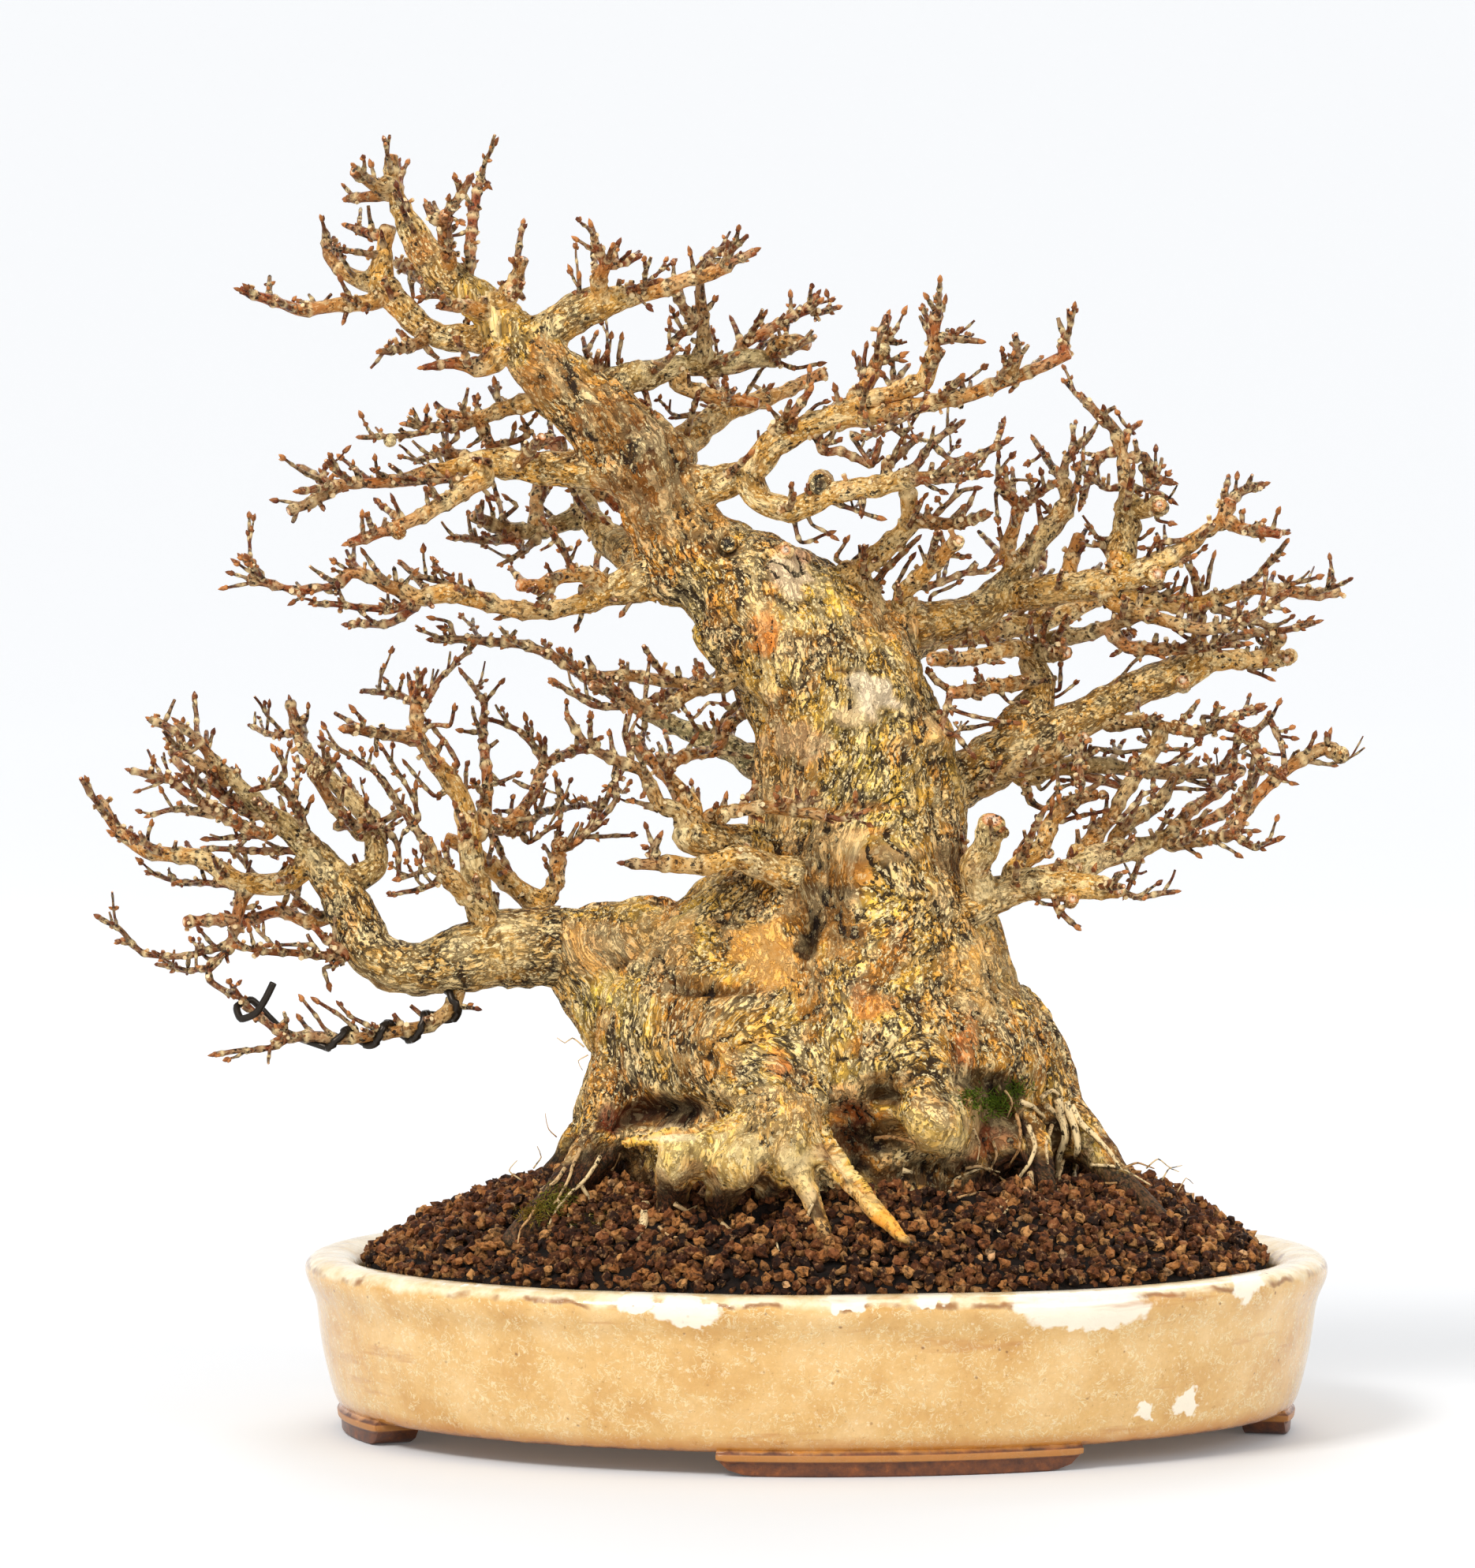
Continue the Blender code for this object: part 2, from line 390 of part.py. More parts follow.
# Branches: name, bough or branch it grows from, depth of its tip, radius where
# it starts, radius at its tip, then the points (x, z) as they show from the front.
BRANCHES = [
    # outer pad of the left bough
    ("a1", "left_bough", -26, 3.5, 1.0, (-133, 152), (-141, 158), (-147, 164), (-152, 169),
     (-156, 174), (-162, 179.5)),
    ("a1_low", "a1", -8, 2.0, 1.0, (-150, 165), (-156, 169), (-161, 172), (-162, 177), (-169, 180.3)),
    ("a2", "left_bough", 16, 3.4, 1.5, (-135, 139), (-145, 138.5), (-150, 141), (-156, 145),
     (-163, 146), (-170, 147), (-177, 152), (-182.5, 160.5)),
    ("a4", "a2", -4, 2.1, 1.2, (-145, 137), (-147, 131), (-148.5, 123)),
    ("a4_snag", "a4", -8, 1.6, 1.5, (-148, 129.3), (-160.5, 129)),
    ("a4_twig", "a4", 2, 1.2, 0.7, (-151, 122.5), (-163, 120), (-171, 121), (-177, 127), (-182, 130)),
    ("a4_down", "a4", -10, 1.2, 0.8, (-149, 122), (-154, 118), (-154, 114), (-148, 110)),
    ("a5", "left_bough", -26, 1.5, 0.9, (-120, 120), (-133, 121), (-140, 121.5), (-147, 122.5)),
    ("a6", "left_bough", 8, 2.4, 1.2, (-122, 131), (-129, 129), (-137, 131.5), (-148, 127.5)),
    ("b1", "a1", -34, 1.9, 0.8, (-140, 151), (-152, 156.5), (-160, 162), (-164, 165), (-174, 167.5)),
    ("b3", "a1", 10, 1.6, 1.0, (-147, 160), (-158, 165), (-163, 171), (-164.5, 176)),
    ("b7", "left_bough", -28, 1.5, 0.9, (-131, 157), (-136, 164), (-142.5, 162.7)),
    ("b8", "left_bough", 14, 3.6, 1.3, (-112, 143), (-113, 154), (-118, 160), (-124, 166),
     (-131, 175), (-133.5, 185)),
    ("b8_front", "b8", -14, 2.4, 1.2, (-116, 152), (-122, 158), (-127, 166), (-122.5, 170)),
    # wired branch under the left bough
    ("wired", "left_bough", -17, 2.3, 1.3, (-91, 111), (-94, 106), (-99, 102.5), (-106, 101),
     (-113, 99.8), (-121, 99), (-129, 99.8), (-136, 99.3)),
    ("wired_tip", "wired", -14, 1.2, 0.8, (-137, 101), (-145, 108), (-148, 112)),
    # inner pad of the left bough
    ("c1", "left_bough", -24, 3.4, 1.9, (-85, 132), (-91, 138), (-97, 144), (-99, 150)),
    ("c2", "left_bough", -6, 4.2, 1.5, (-87, 140), (-88, 150), (-90, 160), (-97, 170), (-101, 177),
     (-102, 190)),
    ("c2_left", "c2", -24, 1.9, 1.3, (-101, 175), (-111, 177), (-120, 178)),
    ("c3", "c2", 20, 2.2, 0.9, (-85, 152), (-83.5, 164), (-84.5, 175), (-84, 185)),
    ("c4", "c3", 34, 2.0, 1.2, (-78, 154), (-72, 161), (-69, 169), (-61, 172.5), (-57, 173)),
    ("c5", "left_bough", 18, 3.0, 1.9, (-70, 131), (-66, 140), (-65.5, 148)),
    # middle left twigs
    ("n1", "left_arm", 6, 2.3, 1.1, (-24, 190), (-36, 190), (-47, 191.5), (-58, 191.5), (-67, 196.5),
     (-75, 199.5), (-88, 200.7), (-97, 200.8)),
    ("n2", "upper_trunk", -36, 2.7, 1.4, (-22, 190), (-31, 188), (-41, 181.7), (-49, 186.5),
     (-57, 189)),
    ("p1", "front_burl", -12, 2.5, 1.4, (-31, 158), (-36, 164), (-41, 169), (-48, 176)),
    ("p2", "front_burl", -44, 2.4, 1.0, (-35, 157), (-40, 159), (-44, 167), (-52, 170.5),
     (-59, 174.5), (-63, 181)),
    ("p3", "p1", 10, 1.9, 1.6, (-39, 168), (-33, 171.3), (-26, 172.5), (-22, 179), (-17, 183)),
    ("p4", "front_burl", -38, 1.8, 1.7, (-27, 156), (-12, 158), (2, 156)),
    # upper left shelves
    ("v1", "upper_trunk", 14, 3.0, 1.6, (-68, 262), (-78, 259.5), (-86, 256.5), (-95, 258)),
    ("v2", "v1", -4, 1.8, 0.8, (-86, 255.5), (-92, 254.5), (-104, 255.4)),
    ("v4", "v1", 12, 1.8, 1.5, (-84, 253), (-81, 247)),
    ("w1", "left_shelf", -20, 2.9, 1.3, (-85, 241.5), (-91, 237.5), (-100, 232), (-109, 228.3),
     (-118.5, 225)),
    ("w2", "left_shelf", -10, 1.6, 1.4, (-125, 237), (-133.5, 233)),
    ("w6", "left_shelf", 16, 1.9, 0.8, (-89, 247), (-96, 248), (-101, 245.8)),
    ("w7", "left_shelf", -12, 1.8, 1.4, (-76, 244), (-73, 248), (-69.5, 252)),
    ("y1", "back_left", 26, 2.8, 1.8, (-62, 231), (-72, 228), (-80, 229), (-87, 232)),
    ("y2", "y1", 14, 1.6, 0.8, (-77, 226.3), (-84, 226), (-92.5, 226.5)),
    ("y3", "y1", 44, 2.2, 1.7, (-71, 229), (-71, 235), (-70, 242)),
    ("y4", "y1", 22, 1.5, 0.6, (-71, 226), (-75, 222.5), (-80, 220)),
    ("z1", "left_arm", -14, 2.4, 1.8, (-56, 216.5), (-64, 217), (-70, 214.2), (-75.5, 214.5)),
    ("z2", "z1", -20, 1.0, 0.8, (-62, 219), (-66, 226), (-69, 230.5)),
    ("l2a", "left_arm", -16, 1.3, 0.8, (-103, 210), (-108, 208.2), (-117, 209), (-127, 210)),
    ("l2b", "left_arm", 6, 1.4, 0.9, (-102, 209), (-108, 205), (-118.5, 204.5)),
    # crown, left side
    ("u1a", "crown_apex", -6, 2.4, 1.4, (-111, 315.5), (-117, 319)),
    ("u1b", "crown_apex", 12, 1.9, 1.2, (-111, 313), (-118.5, 312)),
    ("u2", "crown_apex", -16, 2.3, 1.5, (-93, 296), (-94.3, 303), (-94, 308.5)),
    ("u2_right", "u2", -20, 1.4, 1.0, (-91.5, 311), (-87.5, 317)),
    ("u2_left", "u2", -12, 1.8, 1.3, (-97, 307.5), (-98.5, 311)),
    ("u3", "crown_apex", 14, 1.6, 1.2, (-88, 293), (-87.3, 303), (-86, 313), (-84.5, 319)),
    ("u4", "crown_apex", -8, 3.2, 1.5, (-78, 287), (-76, 292), (-74, 297)),
    ("u5a", "crown_left", 26, 2.7, 1.2, (-115, 291.5), (-120, 294), (-123.5, 298), (-124, 303.5)),
    ("u5b", "crown_left", -2, 2.5, 1.2, (-113, 286), (-122, 285.3), (-130, 284), (-137, 286.3),
     (-145.7, 289)),
    ("u5c", "crown_left", 22, 1.6, 0.9, (-112, 303.3), (-118.7, 305.5)),
    ("u5e", "crown_left", -10, 2.2, 0.8, (-100, 276.3), (-104, 274.5), (-110.5, 273.5)),
    ("u6", "crown_apex", 30, 2.4, 1.2, (-97, 290.5), (-106, 296)),
    ("u7", "crown_apex", -16, 2.6, 1.3, (-84, 284), (-90, 285), (-95, 285)),
    ("u8", "upper_trunk", -14, 3.4, 0.9, (-84, 269.5), (-92, 270.8), (-99.5, 269.5)),
    # crown, right side
    ("t1", "crown_right", -16, 2.8, 1.6, (-55, 291), (-53, 296.5)),
    ("t1_tip", "t1", -20, 1.4, 0.8, (-55.5, 300), (-57, 305)),
    ("t1_low", "t1", -8, 1.4, 1.0, (-49, 296), (-45.3, 297.5)),
    ("t4", "crown_right", 2, 1.4, 0.9, (-27.5, 297.5), (-19.7, 300.7)),
    ("s1", "mid_right", 30, 1.8, 1.2, (-19, 275), (-10, 280.3), (-3, 284), (0, 287.7)),
    ("s2", "mid_right", 14, 2.4, 1.9, (-9, 276), (-2, 275.3)),
    ("s4", "mid_right", 2, 2.6, 1.2, (-28.5, 276), (-29, 284), (-29.7, 290.5)),
    ("s4_left", "s4", -4, 1.5, 1.3, (-32, 282), (-35.3, 287.7)),
    ("s6", "mid_right", 6, 2.6, 1.6, (-34, 265), (-25, 262), (-15, 260.5)),
    ("s8", "upper_trunk", 14, 2.6, 1.8, (-55, 268), (-57, 270.3), (-62, 267.5)),
    # top right boughs
    ("r1", "top_right_bough", -4, 2.4, 1.2, (9, 259), (13, 266), (16, 273), (17, 279), (18, 282.5)),
    ("r2", "top_right_bough", -30, 2.8, 1.5, (4, 255.5), (14, 257.5), (26, 260), (38, 262.5),
     (48, 266.3), (57, 269.7), (64, 273)),
    ("r2_cut", "r2", -24, 1.5, 1.4, (62, 273), (62.8, 277.5)),
    ("r2_knob", "r2", -34, 2.2, 1.7, (49, 268.5), (51, 273)),
    ("r3", "top_right_bough", -32, 1.4, 0.9, (34, 277), (41, 276.3)),
    ("r4", "r2", -40, 1.2, 0.8, (19.5, 255), (11, 251.7)),
    ("r5", "top_right_bough", -20, 2.2, 1.0, (-10, 254), (-6, 258), (-1.7, 263.7)),
    ("r6", "top_right_bough", -24, 3.4, 2.6, (-14, 236), (-6, 233.5), (3, 237.5), (14, 239.5),
     (24, 241.5)),
    ("r6_a", "r6", -34, 1.9, 0.9, (31, 242), (38, 245.5), (48, 251)),
    ("r6_b", "r6", -16, 1.3, 0.8, (25, 244.5), (29, 250), (36.5, 255.5)),
    ("r6_c", "r6", -40, 1.2, 0.9, (34, 241), (43, 242.7)),
    ("r6_d", "r6", -10, 1.7, 0.9, (18, 245), (26, 252)),
    ("r7", "high_right_bough", -8, 3.4, 2.2, (11, 217), (18, 224), (23.5, 230.5), (23, 240)),
    ("r8", "r7", -26, 2.0, 1.3, (30, 230.3), (36, 230), (43.5, 232.5)),
    ("r9", "high_right_bough", -20, 3.0, 2.0, (22, 212), (28, 218), (35.5, 225.5)),
    ("r10", "high_right_bough", 4, 2.4, 1.4, (48, 222), (50, 229), (51, 234.5), (46, 241)),
    ("r10_side", "r10", -6, 1.4, 1.0, (54, 236), (60, 240.3)),
    # right spire and its shelf
    ("q2", "high_right_bough", 24, 1.3, 1.1, (63.5, 246.5), (69, 252.3)),
    ("q3", "right_spire", 26, 1.4, 0.9, (72, 247), (69, 242), (67, 235)),
    ("q5", "right_spire", 2, 2.7, 2.6, (82, 234), (87, 234.7)),
    ("q6", "right_spire", 24, 1.5, 1.2, (83, 247), (85, 242), (90, 240.5)),
    ("q8", "far_right_bough", -10, 2.0, 1.4, (108, 228.7), (117.5, 227.5)),
    ("q9", "far_right_bough", 2, 1.4, 1.2, (107, 238), (113, 240)),
    ("q10", "far_right_bough", 16, 2.4, 1.8, (64, 218), (66.5, 227)),
    # long right shelves
    ("e1", "far_right_bough", 14, 3.0, 1.4, (76, 212), (86, 210.3), (96, 209.5), (105, 212),
     (111, 213.7), (120, 213), (126, 212), (132.5, 213)),
    ("e2", "far_right_bough", -16, 2.2, 1.2, (75, 210), (84, 206.7), (96, 203.5), (105, 204.3),
     (113, 208), (119, 212.5)),
    ("e3", "right_bough", 8, 2.7, 1.0, (97, 200), (97, 207), (96, 217)),
    ("e4", "e1", 4, 1.4, 0.8, (101, 209), (111, 205.5), (118, 203), (126.5, 205)),
    ("e5", "right_bough", 28, 1.6, 1.1, (101, 199.5), (108, 201.7), (114.3, 202.6)),
    ("e6", "right_bough", 8, 1.9, 1.7, (115, 197), (118, 201.7)),
    ("g1", "right_snag", 2, 2.6, 1.6, (61, 201), (68, 202), (76, 204.7), (84, 207.3)),
    ("g2", "g1", 8, 1.9, 1.6, (74, 202.5), (79, 199), (92, 198)),
    ("g3", "right_snag", 0, 2.4, 1.9, (59, 197), (63.5, 197.3)),
    ("g4", "right_snag", -14, 2.2, 1.7, (53, 190), (44, 188.5), (34, 187)),
    ("g5", "right_snag", -10, 2.4, 2.0, (50, 198.5), (40, 196), (29, 195.5)),
    ("i1", "right_bough", -10, 2.2, 1.3, (74, 179.3), (82, 180), (91, 178), (97, 177.3), (105, 180)),
    ("i1_up", "i1", -4, 1.3, 1.1, (108, 182), (112.8, 183.2)),
    ("i1_down", "i1", -20, 1.5, 1.2, (108, 177.3), (111, 174), (113, 169), (118, 166)),
    ("i2", "i1", -16, 2.3, 1.8, (86.5, 174.5), (83, 168.5), (78, 161.5), (75, 155)),
    ("j1", "right_bough", 26, 3.0, 1.5, (52, 166), (60, 168), (70, 169), (82, 167.5), (94, 166.7),
     (106, 168)),
    ("j2", "j1", 16, 1.4, 1.1, (66, 166.3), (72, 165), (77, 163.5)),
    ("k1", "low_right_fork", 14, 2.3, 1.6, (76, 150), (80, 154.5), (87, 159), (91, 166)),
    ("o1", "low_right_fork", 18, 1.9, 1.4, (95, 157.5), (102, 162), (108, 168)),
    ("o2", "low_right_fork", 4, 1.7, 1.4, (96, 153.5), (104, 157), (110, 163), (112, 168)),
    ("o3", "low_right_fork", -14, 1.8, 1.4, (90, 148.5), (99, 149.7), (107.5, 151.5)),
    ("o4", "o3", -6, 1.7, 2.0, (108, 156), (114, 163), (121, 169), (129, 173), (133.3, 171)),
    ("o7", "low_right_fork", 6, 2.9, 1.9, (67, 146), (71, 151), (75, 156)),
    ("m1", "low_right_bough", 2, 2.9, 1.7, (50, 142), (57, 148), (60, 155), (66, 160), (71, 161.3)),
    ("m2", "low_right_bough", -30, 3.8, 3.4, (40, 142), (43.5, 149), (44.5, 154.5)),
    ("m3", "right_bough", -20, 2.5, 1.6, (42, 162.5), (52, 168.5), (60, 171), (68, 176)),
    ("m4", "m3", -26, 1.4, 1.2, (66.5, 171), (67, 163.5)),
    # side branches of the back boughs
    ("bl1", "back_left", 62, 1.6, 0.9, (-58, 236), (-56, 244), (-54, 250)),
    ("bl2", "back_left", 34, 1.6, 0.9, (-52, 226), (-46, 232), (-44, 240)),
    ("br1", "back_right", 66, 1.8, 1.0, (48, 204), (54, 212), (58, 222)),
    ("bk1", "back_low", 70, 1.8, 1.0, (-14, 170), (-6, 176), (2, 182)),
    ("bk2", "back_low", 48, 1.6, 1.0, (-26, 176), (-20, 184), (-14, 190)),
    ("bk3", "back_low", 72, 1.5, 0.9, (-44, 184), (-36, 188), (-28, 190)),
    ("bt1", "back_top", 56, 1.6, 0.9, (-24, 259), (-26, 266), (-24, 272)),
]

# Roots: every point is (x, z, depth, radius)
ROOTS = [
    [(-40, 94, -24, 13), (-41, 80, -42, 11.5), (-38, 69, -51, 9.5), (-41, 56, -56, 7)],
    [(-24, 86, -34, 12), (-22, 74, -48, 9), (-22, 65, -55, 7), (-25, 50, -60, 5)],
    [(-12, 84, -34, 11), (-9, 74, -50, 8), (-10, 65, -56, 6.5), (-14, 50, -61, 4)],
    [(-2, 76, -44, 6), (-2, 67, -55, 4), (0, 58, -61, 3), (2, 48, -65, 2.2)],
    [(2, 74, -44, 6), (6, 64.5, -58, 3.6), (12, 57, -66, 3), (20, 51, -73, 2.4),
     (27, 43, -80, 1.4)],
    [(22, 98, -24, 11), (29, 86, -40, 13), (31, 77, -46, 12.5), (32, 67, -51, 9.5), (33, 54, -54, 7)],
    [(46, 92, -18, 13), (55, 79, -32, 9.5), (62, 71, -38, 7), (68, 56, -44, 5)],
    [(54, 90, -4, 13), (68, 76, -12, 9), (76, 67, -18, 6.5), (86, 51, -26, 4)],
    [(50, 88, 12, 13), (66, 72, 24, 8.5), (78, 56, 34, 5)],
    [(30, 88, 22, 14), (40, 73, 40, 9.5), (48, 56, 50, 5)],
    [(4, 88, 26, 13), (5, 73, 46, 9.5), (2, 56, 55, 5)],
    [(-26, 88, 20, 13), (-38, 73, 36, 9), (-48, 56, 46, 5)],
    [(-44, 90, 6, 13), (-60, 75, 10, 8.5), (-72, 63, 13, 5.5), (-82, 49, 16, 4)],
    [(-46, 88, -12, 13), (-58, 73, -24, 8.5), (-68, 61, -31, 6.5), (-77, 47, -38, 4)],
]
ROOT_SIDES = 6


STEPS_BETWEEN = 8               # places tried between two points of a parent bough


def sides_for(radius):
    if radius > 8:
        return 9
    if radius > 3.9:
        return 7
    return 5 if radius > 2.1 else 4


def flat_nearest(path, x, z):
    """The place and radius on a path that show closest to (x, z) from the front."""
    best = None
    for (a, ra), (b, rb) in zip(path, path[1:]):
        for step in range(STEPS_BETWEEN):
            t = step / STEPS_BETWEEN
            place = a + (b - a) * t
            share = -EYE.y / (place.y - EYE.y)
            shown = EYE + (place - EYE) * share
            gap = (shown.x - x) ** 2 + (shown.z - z) ** 2
            if best is None or gap < best[0]:
                best = (gap, place, ra + (rb - ra) * t)
    return best[1], best[2]


def tree_paths():
    """Every bough and branch as a list of (point, radius)."""
    paths = {}
    for name, points in BOUGHS.items():
        paths[name] = [(seen(x, z, depth), radius) for x, z, depth, radius in points]
    for name, parent, tip_depth, thick, thin, *points in BRANCHES:
        place, radius = flat_nearest(paths[parent], *points[0])
        start_depth = place.y
        lengths = [0.0]
        previous = Vector((place.x, place.z))
        for x, z in points:
            lengths.append(lengths[-1] + (Vector((x, z)) - previous).length)
            previous = Vector((x, z))
        path = [(place, min(thick, radius * 0.93))]
        for (x, z), length in zip(points, lengths[1:]):
            share = length / lengths[-1]
            depth = start_depth + (tip_depth - start_depth) * share
            path.append((seen(x, z, depth), thick + (thin - thick) * share))
        if (path[1][0] - path[0][0]).length < 1.0:
            path.pop(1)
        paths[name] = path
    return paths


def root_tubes(prefix, extra=0.0):
    tubes = []
    for number, points in enumerate(ROOTS):
        path = [seen(x, z, depth) for x, z, depth, radius in points]
        radii = [radius + extra * 1.3 for x, z, depth, radius in points]
        path[-1] = path[-1] + (path[-1] - path[-2]).normalized() * extra * 1.5
        tubes.append(solid(f"{prefix}_{number}", tube(path, radii, ROOT_SIDES)))
    return tubes


def make_tree(paths):
    tree = trunk_body("tree")
    tree.data.materials.append(finish_colour("maple_bark", (0.50, 0.33, 0.15), 0.78))
    parts = root_tubes("root")
    for name, path in paths.items():
        radii = [radius for point, radius in path]
        parts.append(solid(name, tube([point for point, radius in path], radii,
                                      sides_for(max(radii[1:])))))
    boolean(tree, group("tree_parts", parts), "UNION")
    return tree


def make_soil():
    soil = soil_body("soil")
    soil.data.materials.append(finish_colour("akadama_soil", (0.10, 0.055, 0.035), 0.92))
    cuts = [trunk_body("flare_cut", GAP)]
    cuts.extend(root_tubes("root_cut", GAP))
    cuts.append(solid("tie_cut_soil", tie_tube(GAP)))
    boolean(soil, group("soil_cuts", cuts))
    return soil


# ---------------------------------------------------------------- fittings

def make_training_wire(paths):
    """Winds from the branch's foot to its tip, then a loose turn and a free end."""
    branch = paths["wired"][2:]
    lengths = [0.0]
    for (a, _), (b, _) in zip(branch, branch[1:]):
        lengths.append(lengths[-1] + (b - a).length)
    steps = int(WIRE_TURNS * WIRE_STEPS_PER_TURN)
    points = []
    for step in range(steps + 1):
        along = lengths[-1] * (0.04 + 0.92 * step / steps)
        k = max(i for i in range(len(lengths) - 1) if lengths[i] <= along)
        share = (along - lengths[k]) / (lengths[k + 1] - lengths[k])
        (a, ra), (b, rb) = branch[k], branch[k + 1]
        axis = (b - a).normalized()
        side = axis.cross(Vector((0, 1, 0))).normalized()
        ahead = axis.cross(side)
        angle = radians(WIRE_START_ANGLE) + 2 * pi * WIRE_TURNS * step / steps
        reach = ra + (rb - ra) * share + WIRE_RADIUS + WIRE_STAND_OFF
        points.append(a + (b - a) * share + (side * cos(angle) + ahead * sin(angle)) * reach)
    points += [points[-1] + Vector(step) for step in
               ((-3.0, -3.2, 1.5), (-5.0, -4.0, 5.0), (-3.0, -4.5, 8.5), (-0.5, -4.5, 12.0))]
    bm = tube(points, [WIRE_RADIUS] * len(points), 6)
    return solid("training_wire", bm, finish_colour("dark_wire", (0.03, 0.025, 0.02), 0.45, 0.8))


def make_drain_mesh(name, x):
    """A square of plastic netting that keeps the soil over a drain hole."""
    bm = bmesh.new()
    cells = 2 * MESH_HOLES + 1
    bmesh.ops.create_grid(bm, x_segments=cells, y_segments=cells, size=MESH_SIZE / 2)
    cell = MESH_SIZE / cells
    openings = []
    for face in bm.faces:
        centre = face.calc_center_median()
        column = int((centre.x + MESH_SIZE / 2) / cell)
        row = int((centre.y + MESH_SIZE / 2) / cell)
        if column % 2 and row % 2:
            openings.append(face)
    bmesh.ops.delete(bm, geom=openings, context="FACES_ONLY")
    thick = bmesh.ops.extrude_face_region(bm, geom=list(bm.faces))
    raised = [item for item in thick["geom"] if isinstance(item, bmesh.types.BMVert)]
    bmesh.ops.translate(bm, verts=raised, vec=(0, 0, MESH_THICKNESS))
    net = solid(name, bm, finish_colour(name + "_plastic", (0.03, 0.05, 0.04), 0.6))
    net.location = (x * MM, 0, (FLOOR_TOP + GAP) * MM)
    return net


def make_mesh_clip(name, x):
    """A staple of wire: over the netting, down the drain hole, turned out below."""
    over = FLOOR_TOP + MESH_THICKNESS + 2 * GAP + CLIP_RADIUS
    under = FOOT_HEIGHT - CLIP_RADIUS - GAP
    cell = MESH_SIZE / (2 * MESH_HOLES + 1)
    points = [Vector(p) for p in (
        (-cell - 6, cell, under), (-cell, cell, under), (-cell, cell, under + 2),
        (-cell, cell, over - 2), (-cell, cell, over), (cell, cell, over),
        (cell, cell, over - 2), (cell, cell, under + 2), (cell, cell, under),
        (cell + 6, cell, under))]
    clip = solid(name, tube(points, [CLIP_RADIUS] * len(points), 6),
                 finish_colour(name + "_wire", (0.35, 0.35, 0.36), 0.4, 1.0))
    clip.location = (x * MM, 0, 0)
    return clip


def tie_tube(extra=0.0):
    """The tie-down wire: a ring through the two small holes and over the back roots."""
    low = FOOT_HEIGHT - TIE_RADIUS - GAP
    route = [(-TIE_X, low), (-TIE_X, low + 3), (-TIE_X, 25), (-TIE_X, 38), (-24, 47), (-12, 50.5),
             (0, 51.5), (12, 50.5), (24, 47), (TIE_X, 38), (TIE_X, 25), (TIE_X, low + 3),
             (TIE_X, low), (0, low)]
    points = []
    for x, z in route:
        back = max(0.0, (z - 38) / 14)
        points.append(Vector((x, TIE_Y + 19 * back, z)))
    return tube(points, [TIE_RADIUS + extra] * len(points), 6, closed=True)


def make_tie_wire():
    return solid("tie_down_wire", tie_tube(), finish_colour("tie_wire", (0.55, 0.54, 0.52), 0.4, 1.0))


def make_moss(name, x, z, depth, size):
    """A low tuft that sits in a hollow between the roots and the soil."""
    bm = bmesh.new()
    bmesh.ops.create_icosphere(bm, subdivisions=2, radius=1.0)
    bmesh.ops.scale(bm, vec=size, verts=bm.verts)
    bmesh.ops.translate(bm, vec=seen(x, z, depth), verts=bm.verts)
    tuft = solid(name, bm, finish_colour(name + "_green", (0.10, 0.16, 0.04), 0.95))
    cuts = [trunk_body(name + "_trunk_cut", 2 * GAP), soil_body(name + "_soil_cut", GAP)]
    cuts.extend(root_tubes(name + "_root_cut", 2 * GAP))
    boolean(tuft, group(name + "_cuts", cuts))
    return tuft


# ---------------------------------------------------------------- assembly

def centre_on_origin(nodes):
    """Move every piece so that the whole stands over the origin."""
    graph = bpy.context.evaluated_depsgraph_get()
    low = Vector((1e9, 1e9, 1e9))
    high = -low
    for node in nodes:
        evaluated = node.evaluated_get(graph)
        for vert in evaluated.data.vertices:
            place = evaluated.matrix_world @ vert.co
            low = Vector(map(min, low, place))
            high = Vector(map(max, high, place))
    shift = Vector(((low.x + high.x) / -2, (low.y + high.y) / -2, -low.z))
    frame = bpy.data.objects.new("frame", None)
    bpy.context.scene.collection.objects.link(frame)
    for obj in list(bpy.data.objects):
        if obj is not frame:
            obj.parent = frame
    frame.location = shift
    bpy.context.view_layer.update()
    print("size mm", [round(v / MM, 2) for v in high - low], "shift mm", [round(v / MM, 2) for v in shift])


def main():
    start_empty()
    paths = tree_paths()
    nodes = [
        make_pot(),
        make_tree(paths),
        make_soil(),
        make_training_wire(paths),
        make_tie_wire(),
        make_moss("moss_right", 45, 81, -34, (8, 8, 6)),
        make_moss("moss_left", -73, 57, -46, (9, 8, 4)),
    ]
    for side, x in (("left", -DRAIN_X), ("right", DRAIN_X)):
        nodes.append(make_drain_mesh("drain_mesh_" + side, x))
        nodes.append(make_mesh_clip("mesh_clip_" + side, x))
    centre_on_origin(nodes)


main()
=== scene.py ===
# %% [markdown]
# # A leafless maple bonsai in an oval pot
# The object is a small old maple in winter: a broad flared trunk, ringed twigs with
# paired buds, a mound of baked-clay granules, and a glazed oval pot. It is made in
# the order a maker would look at it: the room and the camera, the pot, the wood from
# thick to thin, the buds, and last the soil, the fine roots, the moss and the wire.

# %% The frame and the tools
import random
from copy import copy
from math import cos, pi, radians, sin, sqrt

import bmesh
import bpy
import numpy as np
from mathutils import Matrix, Vector, noise
from mathutils.bvhtree import BVHTree


